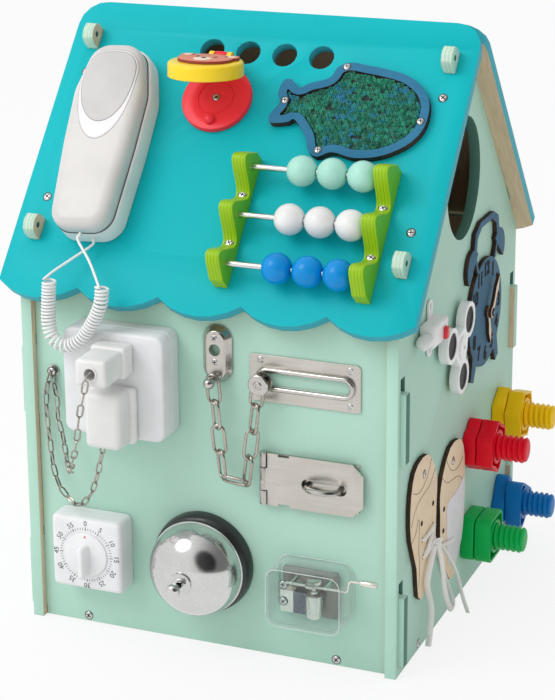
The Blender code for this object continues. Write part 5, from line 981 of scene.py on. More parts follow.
def moulded(name, color, roughness=0.3, grain=1400, depth=0.00002, shade=0.9, coat=0.0, shine=0.4):
    """Injection-moulded plastic: a faint orange peel, a little dust and handling."""
    finish = Finish(name)
    peel = finish.noise(grain, detail=2)
    cloud = finish.noise(24, detail=4)
    tone = finish.mix(tuple(c * shade for c in color), color, cloud.step(0.3, 0.65))
    finish.relief(peel * 0.7 + cloud * 0.3, depth, 0.5)
    return finish.give(base_color=tone, roughness=roughness + cloud * 0.14 + peel * 0.04, coat_weight=coat,
                       specular_ior_level=shine)


cradle_white = moulded("cradle_white", (0.80, 0.81, 0.80), 0.28)
handset_grey = moulded("handset_grey", (0.68, 0.66, 0.64), 0.22)
panel_grey = moulded("panel_grey", (0.60, 0.59, 0.58), 0.34)
crescent_white = moulded("crescent_white", (0.80, 0.80, 0.82), 0.2)
gap_shade = moulded("gap_shade", (0.05, 0.045, 0.045), 0.6)

cradle = pillow(phone_outline(0, -CRADLE_SHORT),
                [(0.0006, LOOSE), (0.0001, 0.0010), (0, 0.002), (0, 0.0120), (0.0004, 0.0150),
                 (0.0007, 0.0172), (0.0011, 0.0184), (0.0018, CRADLE_THICK)])
new_piece("cradle", cradle, "house", cradle_white, "white_plastic", ("phone_cradle",), PHONE)

HANDSET_LOW = CRADLE_THICK + HANDSET_GAP
HANDSET_TOP = CRADLE_THICK + HANDSET_THICK
handset_rows = [(0.0008, 0), (0.0002, 0.0004), (0, 0.0011), (0.0001, 0.0066), (0.0006, 0.0092),
                (0.0017, 0.0114),
                (0.0032, 0.0130), (0.0050, 0.0141), (0.0072, 0.0147)]
handset = pillow(phone_outline(HANDSET_INSET, HANDSET_OVERHANG),
                 [(d, HANDSET_LOW + h) for d, h in handset_rows],
                 crown=HANDSET_TOP - HANDSET_LOW - handset_rows[-1][1], rings=9)
handset_tree = BVHTree.FromPolygons([v.co for v in handset.vertices], [p.vertices for p in handset.polygons])


def panel_loop(width, up, down, count=96):
    """The panel's edge: a blunt arch above its widest line, an ellipse below."""
    loop = []
    for i in range(count):
        c, s = cos(2 * pi * i / count), sin(2 * pi * i / count)
        if s > 0:
            loop.append((width * (1 if c > 0 else -1) * abs(c) ** 0.66, PANEL_AT + up * s ** 0.74))
        else:
            loop.append((width * c, PANEL_AT + down * s))
    return loop


def skin(loop, proud, finish):
    """A thin skin laid on the handset from a loop inwards, proud of it."""
    centre = Vector((0, PANEL_AT - 0.008))
    rows = []
    for k, share in enumerate((1, 0.99, 0.93, 0.8, 0.6, 0.4, 0.2, 0.01)):
        row = [centre.lerp(Vector(p), share) for p in loop]
        hits = [handset_tree.ray_cast(Vector((*p, 0.2)), Vector((0, 0, -1)))[0].z for p in row]
        rows.append([(*p, z + (proud if k else -0.0002)) for p, z in zip(row, hits)])
    return coated(lofted(rows, merge=0.00001), finish)


seam_shadow = moulded("seam_shadow", (0.20, 0.19, 0.19), 0.6)
skins = [skin(panel_loop(0.0240, 0.0252, 0.0555), 0.00010, seam_shadow),
         skin(panel_loop(0.0237, 0.0249, 0.0551), 0.00024, crescent_white),
         skin(panel_loop(0.0224, 0.0236, 0.0402), 0.00034, seam_shadow),
         skin(panel_loop(0.0220, 0.0232, 0.0398), 0.00050, panel_grey)]
new_piece("handset_shell", joined([coated(handset, handset_grey)] + skins, 50), "handset", None,
          "pale_grey_plastic", ("phone_handset",), PHONE)
# Painted shade: a dark tube along the gap between handset and cradle.
loop = [(*p, CRADLE_THICK) for p in phone_outline(HANDSET_INSET - 0.0002, HANDSET_OVERHANG - 0.0001)]
new_piece("cradle_gap", tube(loop + loop[:2], 0.00045, 1), "house", gap_shade, "black_plastic", (), PHONE)
rests = []
for at, width, length in ((0.050, 0.021, 0.018), (-0.053, 0.017, 0.018)):
    ring = [(width * cos(2 * pi * n / 56), at + length * sin(2 * pi * n / 56)) for n in range(56)]
    rows = [(0, -0.0004), (0, 0.0005), (0.0004, 0.0008), (0.0030, 0.0008), (0.0036, 0.0001)]
    rests.append(pillow(ring, [(d, CRADLE_THICK + h) for d, h in rows]))
new_piece("cradle_rests", joined(rests, 40), "house", cradle_white, "white_plastic", (), PHONE)

# ---------------------------------------------------------------- Peekaboo disc
# A red moulded disc with a knob and a hinged yellow lid over it, opened to show a
# plain pink bear's face on its outside.
PEEK_AT = (-0.0305, -0.0835)
PEEK = ROOF @ Matrix.Translation((*PEEK_AT, 0))
PEEK_RADIUS = 0.029
LID_RADIUS = 0.030
LID_AXIS = 0.031
LID_AXIS_HEIGHT = 0.0155
LID_OPEN = radians(51)
PEEK_THICK = 0.005
LID_THICK = 0.012
LID_WALL = 0.0022
red = moulded("glossy_red", (0.93, 0.035, 0.055), 0.22, coat=0.1, shine=0.25)
yellow = moulded("glossy_yellow", (0.95, 0.66, 0.015), 0.24, coat=0.1)
bear_pink = moulded("bear_pink", (0.74, 0.22, 0.13), 0.4)
bear_edge = moulded("bear_edge", (0.30, 0.05, 0.03), 0.5)
bear_dark = moulded("bear_dark", (0.06, 0.03, 0.03), 0.4)
bear_pale = moulded("bear_pale", (0.88, 0.72, 0.58), 0.4)

base = revolve([(0, 0.0046), (0.0140, 0.0046), (0.0143, 0.0041), (0.0148, 0.0041), (0.0151, 0.0048),
                (0.0156, 0.0050), (0.0280, 0.0050), (0.0286, 0.0048), (PEEK_RADIUS, 0.0043),
                (PEEK_RADIUS, LOOSE),
                (0, LOOSE)], 72)
knob = revolve([(0, 0.0082), (0.0020, 0.0080), (0.0038, 0.0070), (0.0044, 0.0055), (0.0040, 0.0040),
                (0.0036, 0.0032), (0, 0.0032)], 32)
knob.transform(Matrix.Translation((0, -0.0205, 0.0016)))
lug = baked(block((-0.005, 0.0255, 0.0006), (0.005, LID_AXIS + 0.0034, LID_AXIS_HEIGHT + 0.0032)),
            [("BEVEL", {"width": 0.0012, "segments": 3})])
notch = block((-0.02, LID_AXIS - 0.02, 0.0049), (0.02, LID_AXIS + 0.0006, LID_AXIS_HEIGHT - 0.0042))
disc = joined([base, knob, soft(carved(lug, notch), 40)])
new_piece("peek_disc", disc, "house", red, "red_plastic", ("peekaboo_base",), PEEK)
screws("peek_screw", "house", [(*PEEK_AT, 0.0045)], size=0.85)

HINGE = PEEK @ Matrix.Translation((0, LID_AXIS, LID_AXIS_HEIGHT)) @ Matrix.Rotation(-LID_OPEN, 4, "X")
lid_low = PEEK_THICK + LOOSE - LID_AXIS_HEIGHT
lid_high = lid_low + LID_THICK
lid = revolve([(0, lid_high), (LID_RADIUS - 0.0035, lid_high), (LID_RADIUS - 0.0015, lid_high - 0.0003),
               (LID_RADIUS - 0.0004, lid_high - 0.0012), (LID_RADIUS, lid_high - 0.0026),
               (LID_RADIUS, lid_low + 0.0005), (LID_RADIUS - 0.0006, lid_low),
               (LID_RADIUS - LID_WALL, lid_low),
               (LID_RADIUS - LID_WALL, lid_high - LID_WALL), (0, lid_high - LID_WALL)], 80)
lid.transform(Matrix.Translation((0, -LID_AXIS, 0)))
lid = carved(lid, block((-0.0056, -0.0052, lid_low - 0.004), (0.0056, 0.0052, lid_high + 0.004)))
across = Matrix.Rotation(pi / 2, 4, "Y")
hinge_parts = [lid]
for low, high in ((-0.0096, -0.0056), (0.0056, 0.0096)):
    hinge_parts += [rod(0.0040, low, high, 32), block((low, -0.0072, -0.0036), (high, 0, 0.0012))]
    hinge_parts[-2].transform(across)
pin = rod(0.0015, -0.0085, 0.0085, 20)
pin.transform(across)
parts = [coated(mesh, yellow) for mesh in hinge_parts + [pin]]
for x, y, radius, high, finish in (
        (-0.0185, 0.0085, 0.0062, 0.0026, bear_pink), (0.0185, 0.0085, 0.0062, 0.0026, bear_pink),
        (-0.0185, 0.0085, 0.0034, 0.0028, bear_pale), (0.0185, 0.0085, 0.0034, 0.0028, bear_pale),
        (0, -0.001, 0.0175, 0.0026, bear_pink), (0, -0.0065, 0.0072, 0.0029, bear_pale),
        (-0.0075, 0.0022, 0.0015, 0.0029, bear_dark), (0.0075, 0.0022, 0.0015, 0.0029, bear_dark),
        (0, -0.0038, 0.0021, 0.0032, bear_dark)):
    spot = revolve([(0, high), (radius * 0.93, high), (radius, high * 0.93), (radius, high - 0.0024),
                    (0, high - 0.0024)], 40)
    wide = 1.28 if radius > 0.017 else 1
    spot.transform(Matrix.Translation((x, y - LID_AXIS, lid_high)) @ Matrix.Diagonal((wide, 1, 1, 1)))
    coated(spot, finish, bear_edge)
    for face in spot.polygons:
        face.material_index = 1 if finish is bear_pink and face.normal.z <= 0.3 else 0
    parts.append(spot)
new_piece("peek_lid", joined(parts, 40), "peekaboo_lid", None, "yellow_plastic", ("peekaboo_lid",), HINGE)

# ---------------------------------------------------------------- Abacus
# Two wavy ply brackets painted lime stand on the roof with three steel rods between
# them; turned and lacquered wooden beads slide on the rods.
ABACUS_LEFT, ABACUS_RIGHT, ABACUS_RAIL = 0.009, 0.135, 0.0115
ABACUS_TOP, ABACUS_PITCH, ROD_HEIGHT = 0.1465, 0.041, 0.016
BEAD_RADIUS = 0.01215
BEAD_BORE = 0.0025
RAIL_SPAN = (0.1325, 0.2425)
RAIL_WAVE = (0.0197, 0.0126)
lime_face = painted_ply("lime_face", (0.17, 0.52, 0.004), (0.14, 0.46, 0.004), (6, 6, 6), 0.36)
# The sawn edges are a lighter lime than the faces as a painted highlight where they catch the light, with the
# ply's real veneer lines.
lime_edge_veneer_and_highlight = painted_ply("lime_edge_veneer_and_highlight", (0.38, 0.62, 0.010), (0.30, 0.54, 0.008), (6, 6, 6), 0.34, veneer=0.0026)


def plate(loops, low, high, finishes, ease=0.0, sides=2):
    """Flat outlines, holes included, from height low to high; face, edge and back
    take the finishes in that order, and the curve's own bevel eases the edges."""
    curve = bpy.data.curves.new("outline", "CURVE")
    curve.dimensions = "2D"
    curve.fill_mode = "BOTH"
    curve.extrude = (high - low) / 2 - ease
    curve.bevel_depth = ease
    curve.bevel_resolution = sides
    curve.offset = -ease
    for loop in loops:
        spline = curve.splines.new("POLY")
        spline.points.add(len(loop) - 1)
        for point, (x, y) in zip(spline.points, loop):
            point.co = (x, y, 0, 1)
        spline.use_cyclic_u = True
    work = bmesh.new()
    work.from_mesh(baked(curve))
    bpy.data.curves.remove(curve)
    bmesh.ops.remove_doubles(work, verts=work.verts, dist=0.000005)
    bmesh.ops.recalc_face_normals(work, faces=work.faces)
    mesh = coated(as_mesh(work, 40), *finishes)
    mesh.transform(Matrix.Translation((0, 0, (low + high) / 2)))
    for face in mesh.polygons if len(finishes) > 1 else ():
        z = face.normal.z
        face.material_index = 0 if z > 0.9 else len(finishes) - 1 if z < -0.9 and len(finishes) > 2 else 1
    return mesh


wave = []
for n in range(89):
    down = RAIL_SPAN[0] + (RAIL_SPAN[1] - RAIL_SPAN[0]) * n / 88
    wave.append((down, RAIL_WAVE[0] + RAIL_WAVE[1] * cos(2 * pi * (down - ABACUS_TOP) / ABACUS_PITCH)))
feet = [(down, LOOSE) for down in RAIL_SPAN]
outline = rounded(feet + wave[::-1], [0, 0, 0.003] + [0] * 87 + [0.003], 4)
brackets = [plate([outline], -low - ABACUS_RAIL, -low, (lime_face, lime_edge_veneer_and_highlight, lime_face), 0.0009, 3)
            for low in (ABACUS_LEFT, ABACUS_RIGHT - ABACUS_RAIL)]
upright = ROOF @ Matrix(((0, 0, -1), (-1, 0, 0), (0, 1, 0))).to_4x4()
new_piece("abacus_brackets", joined(brackets), "house", None, "lime_paint", ("abacus_frame",), upright)
rods = []
for row in range(3):
    rods.append(rod(0.00235, ABACUS_LEFT + 0.004, ABACUS_RIGHT - 0.004))
    height = Matrix.Translation((0, -ABACUS_TOP - row * ABACUS_PITCH, ROD_HEIGHT))
    rods[-1].transform(height @ Matrix.Rotation(pi / 2, 4, "Y"))
rod_steel = metal("rod_steel", (0.76, 0.75, 0.74), 0.14, (0.02, 1, 1))
new_piece("abacus_rods", joined(rods), "house", rod_steel, "brushed_steel", (), ROOF)
screws("abacus_screws", "house", [(x, -ABACUS_TOP - (row + 0.5) * ABACUS_PITCH, 0.0071)
                                 for x in (0.01475, 0.12925) for row in range(2)])


def lacquer(name, color):
    """Gloss lacquer over turned beech: the end grain ghosts through round the bore."""
    finish = Finish(name)
    rings = finish.noise(120, stretch=(0.15, 1, 1), detail=5, rough=0.6)
    cloud = finish.noise(35, detail=3)
    tone = finish.mix(tuple(c * 0.86 for c in color), color, (rings * 0.5 + cloud * 0.6).step(0.3, 0.75))
    finish.relief(rings, 0.00008, 0.3)
    return finish.give(base_color=tone, roughness=0.20 + cloud * 0.12, coat_weight=0.15,
                       specular_ior_level=0.2)


BEAD_COLORS = {"mint": (0.44, 0.79, 0.68), "white": (0.86, 0.86, 0.85), "blue": (0.001, 0.27, 0.70)}
bead_finishes = {name: lacquer("bead_" + name, color) for name, color in BEAD_COLORS.items()}
flat_half = sqrt(BEAD_RADIUS ** 2 - (BEAD_BORE + 0.0008) ** 2)
start = acos(flat_half / BEAD_RADIUS)
angles = [start + (pi - 2 * start) * k / 28 for k in range(29)]
bead_row = [(BEAD_RADIUS * sin(a), BEAD_RADIUS * cos(a)) for a in angles]
bead_row += [(BEAD_BORE, -flat_half + 0.0005), (BEAD_BORE, flat_half - 0.0005)]
for row, (name, finish) in enumerate(bead_finishes.items()):
    for n in range(3):
        x = ABACUS_RIGHT - ABACUS_RAIL - LOOSE - BEAD_RADIUS - (2 - n) * (2 * BEAD_RADIUS + LOOSE)
        place = ROOF @ Matrix.Translation((x, -ABACUS_TOP - row * ABACUS_PITCH, ROD_HEIGHT))
        number = "_%s_%d" % (name, n + 1)
        new_piece("ball" + number, revolve(bead_row, 56, closed=True), "bead" + number, finish,
                  name + "_bead",
                  ("bead" + number,), place @ Matrix.Rotation(pi / 2, 4, "Y"))

# ---------------------------------------------------------------- Fish
# Two laser-cut ply layers with charred edges, the upper one stained blue and open
# over a field of flip sequins, green one way and blue the other.
FISH = ROOF @ Matrix.Translation((0.083, -0.087, 0))
FISH_LENGTH, FISH_HEIGHT, FISH_THICK = 0.128, 0.084, 0.0067
FISH_SHARES = ((0.500, -0.010), (0.484, 0.160), (0.420, 0.300), (0.310, 0.405), (0.170, 0.455),
               (0.060, 0.478),
               (-0.060, 0.498), (-0.140, 0.440), (-0.175, 0.325), (-0.290, 0.255), (-0.355, 0.200),
               (-0.420, 0.280),
               (-0.470, 0.255), (-0.482, 0.120), (-0.455, 0.030), (-0.500, -0.110), (-0.480, -0.190),
               (-0.375, -0.170), (-0.330, -0.140), (-0.235, -0.300), (-0.195, -0.440), (-0.130, -0.498),
               (-0.040, -0.440), (0.100, -0.478), (0.260, -0.440), (0.400, -0.320), (0.478, -0.170))
FISH_FIELD = 0.0068
SEQUIN_STEP = 0.0031
SEQUIN_ROW = SEQUIN_STEP * 0.82
WORN_PATCHES = ((0.012, 0.012), (-0.018, 0.002), (0.010, -0.021))


def inside(point, loop):
    x, y = point
    found = False
    for (ax, ay), (bx, by) in zip(loop, loop[1:] + loop[:1]):
        if (ay > y) != (by > y) and x < (bx - ax) * (y - ay) / (by - ay) + ax:
            found = not found
    return found


def edge_gap(point, loop):
    """Distance from a point to a closed outline."""
    spot = Vector(point)
    least = 1
    for a, b in zip(loop, loop[1:] + loop[:1]):
        a, span = Vector(a), Vector(b) - Vector(a)
        share = max(0, min(1, (spot - a).dot(span) / max(span.length_squared, 1e-12)))
        least = min(least, (spot - a - span * share).length)
    return least


def stained_ply(name, color, shade, grain_way):
    """Water stain on raw ply: the grain drinks it unevenly."""
    finish = Finish(name)
    grain = finish.noise(90, stretch=grain_way, detail=6, rough=0.65)
    cloud = finish.noise(30, detail=3)
    tone = finish.mix(shade, color, (grain * 0.7 + cloud * 0.5).step(0.3, 0.85))
    finish.relief(grain, 0.00025, 0.6)
    return finish.give(base_color=tone, roughness=0.62 + grain * 0.18, specular_ior_level=0.15)


def charred(name):
    """A laser-cut edge: brown to black with the veneer lines burnt at uneven depth."""
    finish = Finish(name)
    lines = finish.noise(500, detail=5, rough=0.7)
    burn = finish.noise(60, detail=3)
    tone = finish.mix((0.022, 0.010, 0.006), (0.14, 0.065, 0.030), (lines * 0.6 + burn * 0.5).step(0.45, 0.9))
    finish.relief(lines, 0.0002, 0.7)
    return finish.give(base_color=tone, roughness=0.75 + lines * 0.15)


fish_blue = stained_ply("fish_blue", (0.040, 0.200, 0.345), (0.026, 0.145, 0.27), (1, 8, 8))
char = charred("charred_edge")
backing = Finish("dark_net")
net_lines = backing.noise(900, detail=3)
tone = backing.mix((0.008, 0.016, 0.013), (0.02, 0.05, 0.04), net_lines)
backing.relief(net_lines, 0.0002, 0.8)
backing.give(base_color=tone, roughness=0.7 + net_lines * 0.2)
outer = smooth([(x * FISH_LENGTH, y * FISH_HEIGHT) for x, y in FISH_SHARES], 6, True)
outer = anticlockwise([tuple(p) for p in outer])
field = spaced(inset(spaced(outer, 160), FISH_FIELD), 160)
field = [p for p in field if inside(p, outer) and edge_gap(p, outer) > FISH_FIELD * 0.93]
field = spaced([tuple(p) for p in smooth(field, 3, True)], 150)
fish = [plate([outer], LOOSE, 0.0032, (fish_blue, char, char), 0.0001),
        plate([outer, field], 0.00335, FISH_THICK, (fish_blue, char, char), 0.00015),
        plate([field], 0.0030, 0.0036, (backing.material,))]
new_piece("fish_layers", joined(fish, 40), "house", None, "blue_stain", ("fish_board",), FISH)
screws("fish_screws", "house", [(x, y, FISH_THICK) for x, y in ((0.0723, -0.049), (0.0286, -0.0824),
                                                                (0.142, -0.0916), (0.066, -0.123))],
                                                                size=0.85)

sequin_finish = Finish("sequins")
scatter = sequin_finish.noise(230, detail=2)
patch = sequin_finish.noise(38, detail=3)
tone = sequin_finish.mix((0.002, 0.085, 0.055), (0.006, 0.235, 0.120), scatter.step(0.35, 0.7))
tone = sequin_finish.mix(tone, (0.006, 0.13, 0.24), (patch * 0.5 + scatter * 0.6).step(0.56, 0.70))
sequin_finish.relief(sequin_finish.noise(1500), 0.0001, 0.5)
sequin_finish.give(base_color=tone, metallic=0.25 + scatter * 0.2, roughness=0.30 + scatter * 0.2,
                   specular_ior_level=0.35)
sequin = revolve([(0.00036, 0.00004), (0.0010, 0.00020), (0.00162, 0.0), (0.0010, 0.00010),
                  (0.00036, -0.00006)],
                 9, closed=True)


def jitter(i, j, k):
    return (sin(i * 12.9898 + j * 78.233 + k * 37.719) * 43758.5453) % 1.0 * 2 - 1


def worn(x, y):
    """Inside one of the few worn patches where the net shows through."""
    return min(hypot((x - a) / 0.0042, (y - b) / 0.0020) for a, b in WORN_PATCHES) <= 1


sequin_places = []
for j in range(int(FISH_HEIGHT / SEQUIN_ROW) + 1):
    for i in range(int(FISH_LENGTH / SEQUIN_STEP) + 1):
        x = -FISH_LENGTH / 2 + (i + 0.5 * (j % 2)) * SEQUIN_STEP + jitter(i, j, 1) * 0.0003
        y = -FISH_HEIGHT / 2 + j * SEQUIN_ROW + jitter(i, j, 2) * 0.0003
        lost = jitter(i, j, 7) <= -0.965 or worn(x, y)
        if lost or not inside((x, y), field) or edge_gap((x, y), field) <= 0.0006:
            continue
        place = FISH @ Matrix.Translation((x, y, 0.0046 + 0.0002 * jitter(i, j, 5)))
        tilt, roll = 0.30 + 0.18 * jitter(i, j, 3), 0.2 * jitter(i, j, 4)
        sequin_places.append(place @ Matrix.Rotation(tilt, 4, "X") @ Matrix.Rotation(roll, 4, "Y"))
new_piece("fish_sequins", set_out(sequin, sequin_places, sequin_finish.material), "house", None,
          "green_plastic")

# ---------------------------------------------------------------- Socket and plugs
# A surface socket box of white ABS with two plugs pushed in; the plugs' blades are
# nickelled brass, and the boxes are two mouldings with a fine seam.
SOCKET_AT = (-0.067, 0.2205)
SOCKET_SIDE = 0.086
SOCKET_DEPTH = 0.029
UPPER_AT = (-0.063, 0.2448)
LOWER_AT = (-0.0643, 0.1993)


def round_box(half_x, half_y, radius, count):
    """A rectangle with round corners as count points."""
    corners = [(a * half_x, b * half_y) for a, b in ((-1, -1), (1, -1), (1, 1), (-1, 1))]
    return spaced(rounded(corners, radius, 6), count)


shell_white = moulded("shell_white", (0.80, 0.81, 0.82), 0.3)
plug_white = moulded("plug_white", (0.83, 0.83, 0.82), 0.26)
box = pillow(round_box(SOCKET_SIDE / 2, SOCKET_SIDE / 2, 0.0075, 120),
             [(0.0008, LOOSE), (0, 0.0010), (0, 0.0128), (0.0006, 0.0131), (0.0006, 0.0136), (0, 0.0139),
              (0, 0.0268), (0.0007, 0.0281), (0.0020, SOCKET_DEPTH)], rings=6)
box.transform(FRONT @ Matrix.Translation((*SOCKET_AT, 0)))
before = block((-0.2, -WALL_FACE - 0.2, 0), (0.2, -WALL_FACE - SOCKET_DEPTH - 0.0002, 0.5))
blades = {name: carved(copy_of(name), before) for name in ("upper_plug", "lower_plug")}
new_piece("socket_box", soft(carved(box, *blades.values()), 45), "house", shell_white, "white_plastic",
          ("wall_socket",))
PLUG_LOW = SOCKET_DEPTH + LOOSE


def soft_block(at, half_x, half_y, low, high, radius):
    """A moulded block out from the socket's face, its edges rounded to one radius."""
    shape = block((-half_x, -half_y, low), (half_x, half_y, high))
    shape.transform(Matrix.Translation((*at, PLUG_LOW)))
    return soft(baked(shape, [("BEVEL", {"width": radius, "segments": 5})]), 50)


bore = rod(0.0045, -0.012, 0.002, 32)
bore.transform(Matrix.Translation((*UPPER_AT, PLUG_LOW + 0.045)))
plug_shapes = {
    "upper_plug": [soft_block(UPPER_AT, 0.0148, 0.01255, 0, 0.016, 0.0030),
                   carved(soft_block(UPPER_AT, 0.013, 0.01075, 0.004, 0.045, 0.0034), bore)],
    "lower_plug": [soft_block(LOWER_AT, 0.0190, 0.0228, 0, 0.008, 0.0034),
                   soft_block(LOWER_AT, 0.01525, 0.02275, 0.002, 0.026, 0.0052)]}
for name, shapes in plug_shapes.items():
    for mesh in shapes:
        coated(mesh, plug_white).transform(FRONT)
    whole = joined(shapes + [coated(blades[name], nickel)], 50)
    new_piece(name + "_body", whole, name, None, "white_plastic", (name,))
ring = revolve([(0.0046, 0.0743), (0.0060, 0.0743), (0.0062, 0.0748), (0.0059, 0.0751), (0.0047, 0.0751),
                (0.0045, 0.0747)], 40, closed=True)
new_piece("plug_hole_rim", ring, "upper_plug", plug_white, "white_plastic", (),
          FRONT @ Matrix.Translation((*UPPER_AT, 0)))
anchor = PLUG_CHAIN_UPPER[0][:2]
fixing = FRONT @ Matrix.Translation((*anchor, 0))
washer = revolve([(0.0012, 0.0003), (0.0050, 0.0003), (0.0052, 0.0008), (0.0050, 0.0014), (0.0012, 0.0016)],
                 32,
                 closed=True)
new_piece("chain_washer", washer, "house", zinc, "brushed_steel", (), fixing)
screws("chain_screw", "house", [(*anchor, 0.0042)], base=FRONT)
new_piece("chain_screw_shank", rod(0.0018, 0.0001, 0.0042, 20), "house", zinc, "brushed_steel", (), fixing)

# ---------------------------------------------------------------- Door chain
# A pressed stainless keeper with a keyhole and a ball stud, a slotted track with a
# rolled rim, a washer-ended slider, and welded steel links hanging between them.
KEEPER_AT = (0.010, 0.2475)
KEEPER_HALF = (0.01235, 0.0235)
KEYHOLE = (0.0052, 0.2517)
STUD_AT = (0.010, 0.2285)
LINK_HEIGHT = 0.0128
LINK_WIRE = 0.0013
LINK_WIDTH = 0.0100
LINK_TURN = radians(40)
LEG_FOOT = (0.0376, 0.1485)
KEEPER_LOW = (0.0180, 0.1510)
TRACK_HALF = (0.04525, 0.0190)
TRACK_AT = (0.08175, 0.232)
SLOT = (0.0455, 0.1188, 0.011)
SLIDER_AT = (0.0489, 0.2305)
satin_steel = metal("satin_steel", (0.66, 0.63, 0.585), 0.25, (0.04, 1, 1), 0.00002, (0.55, 0.52, 0.475))
polished_steel = metal("polished_steel", (0.66, 0.63, 0.60), 0.09, None, 0.00002, (0.50, 0.47, 0.44))
link_steel = metal("link_steel", (0.56, 0.52, 0.47), 0.13, None, 0.00003, (0.34, 0.31, 0.275))


def slot_loop(left, low, right, high, steps=14):
    """An outline with round ends, its long way along the longer side."""
    radius = min(right - left, high - low) / 2
    return rounded([(left, low), (right, low), (right, high), (left, high)], radius * 0.999, steps)


keeper = pillow(slot_loop(-KEEPER_HALF[0], -KEEPER_HALF[1], KEEPER_HALF[0], KEEPER_HALF[1]),
                [(0.0004, LOOSE), (0, 0.0007), (0, 0.0014), (0.0005, 0.0020), (0.0014, 0.0029),
                 (0.0030, 0.0058),
                 (0.0040, 0.0070), (0.0050, 0.0075)], rings=4)
keeper.transform(Matrix.Translation((*KEEPER_AT, 0)))
bore = rod(KEYHOLE[0] - 0.0004, -0.001, 0.0200, 40)
bore.transform(Matrix.Translation((KEEPER_AT[0], KEYHOLE[1], 0)))
keeper = coated(carved(keeper, bore), polished_steel, satin_steel)
for face in keeper.polygons:
    face.material_index = 1 if face.normal.z > 0.97 else 0
stud = revolve([(0, 0.0237), (0.0014, 0.0235), (0.0030, 0.0225), (0.0042, 0.0207), (0.0046, 0.0186),
                (0.0043, 0.0166), (0.0034, 0.0152), (0.0022, 0.0146), (0.0019, 0.0142), (0.0019, 0.0060),
                (0, 0.0060)], 40)
stud.transform(Matrix.Translation((*STUD_AT, 0)))
new_piece("chain_keeper", joined([keeper, coated(stud, polished_steel)], 50), "house", None, "brushed_steel",
          ("chain_keeper_plate",), FRONT)
screws("keeper_screws", "house", [(KEEPER_AT[0], height, 0.0073) for height in (0.2612, 0.2420)], 0.8, FRONT)

slot_top = TRACK_AT[1] + SLOT[2] / 2
slot_bottom = TRACK_AT[1] - SLOT[2] / 2
opening = slot_loop(SLOT[0], slot_bottom, SLOT[1], slot_top)
corners = [(TRACK_AT[0] + a * TRACK_HALF[0], TRACK_AT[1] + b * TRACK_HALF[1])
           for a, b in ((-1, -1), (1, -1), (1, 1), (-1, 1))]
track = plate([rounded(corners, 0.003, 6), opening], LOOSE, 0.0015, (satin_steel,), 0.0003)
rim_loop = slot_loop(SLOT[0] - 0.0019, slot_bottom - 0.0019, SLOT[1] + 0.0019, slot_top + 0.0019)
rim = coated(tube([(x, z, 0.0028) for x, z in rim_loop], 0.0021, 5, closed=True), polished_steel)
new_piece("chain_track", joined([track, rim], 50), "house", None, "brushed_steel", ("chain_track_plate",),
          FRONT)
screws("track_screws", "house", [(0.0456, 0.2465, 0.0012), (0.1185, 0.2463, 0.0012),
                                 (0.1186, 0.2176, 0.0012)],
       0.85, FRONT)
slider = revolve([(0, 0.0166), (0.0012, 0.0166), (0.0016, 0.0171), (0.0028, 0.0170), (0.0033, 0.0165),
                  (0.0036, 0.0160), (0.0070, 0.0160), (0.0079, 0.0157), (0.00825, 0.0152), (0.0080, 0.0146),
                  (0.0074, 0.0144),
                  (0.0026, 0.0144), (0.0026, 0.0069), (0.0079, 0.0069), (0.00825, 0.0064), (0.0080, 0.0055),
                  (0.0026, 0.0053), (0.0026, 0.0003), (0, 0.0003)], 48)
new_piece("chain_slide_button", slider, "chain_slider", polished_steel, "brushed_steel", ("chain_slider",),
          FRONT @ Matrix.Translation((*SLIDER_AT, 0)))


def straight_links(first, last, turns, width):
    """Links down a straight run, each turned about its length."""
    first, last = Vector((*first, LINK_HEIGHT)), Vector((*last, LINK_HEIGHT))
    along = (last - first).normalized()
    across = Vector((0, 0, 1)).cross(along).normalized()
    places = []
    for i, turn in enumerate(turns):
        centre = first.lerp(last, (i + 0.5) / len(turns))
        flat_way = across * cos(turn) + along.cross(across) * sin(turn)
        turned = Matrix((along, flat_way, along.cross(flat_way))).transposed().to_4x4()
        places.append(FRONT @ Matrix.Translation(centre) @ turned)
    pitch = (last - first).length / len(turns)
    shape = link_shape(pitch + 4.2 * LINK_WIRE, width + 2 * LINK_WIRE, LINK_WIRE, 9, 14)
    return set_out(shape, places, link_steel)


def leg_top(pin, grip):
    return (pin[0], pin[1] + grip + LINK_WIRE + LOOSE)


low_link = ((KEEPER_LOW[0] + LINK_WIRE, KEEPER_LOW[1] - LINK_WIRE),
            (LEG_FOOT[0] + 0.0006, LEG_FOOT[1] - 0.0004))
legs = {
    "keeper": [straight_links(leg_top(STUD_AT, 0.0019), KEEPER_LOW, (0, LINK_TURN, 0, LINK_TURN), LINK_WIDTH),
               straight_links(*low_link, (LINK_TURN,), LINK_WIDTH * 0.85)],
    "slider": [straight_links(leg_top(SLIDER_AT, 0.0026), LEG_FOOT, (0, LINK_TURN, -LINK_TURN, LINK_TURN),
                              LINK_WIDTH)]}
for name, links in legs.items():
    leg = joined(links)
    leg.shade_smooth()
    new_piece(name + "_links", leg, name + "_leg", None, "brushed_steel", ("door_chain_%s_leg" % name,))

# ---------------------------------------------------------------- Hasp and staple
# Pressed steel sheet, 1.8 mm, bright-zinc plated: a leaf screwed to the wall carries
# a staple and a pin, and the slotted strap turns on the pin.
staple_bright = metal("staple_bright", (0.60, 0.57, 0.54), 0.12, None, 0.00002, (0.42, 0.40, 0.37))
dressed("hasp_leaf", "hasp_base", "house", (satin_steel, staple_bright),
        lambda n, c: 1 if c.x > 0.080 and c.y < -WALL_FACE - 0.0022 or c.x < 0.052 else 0, 0.0003,
        "brushed_steel")
dressed("hasp_slotted_strap", "hasp_strap", "hasp_strap", (satin_steel, staple_bright),
        lambda n, c: 1 if c.x < 0.0525 else 0, 0.00035, "brushed_steel")

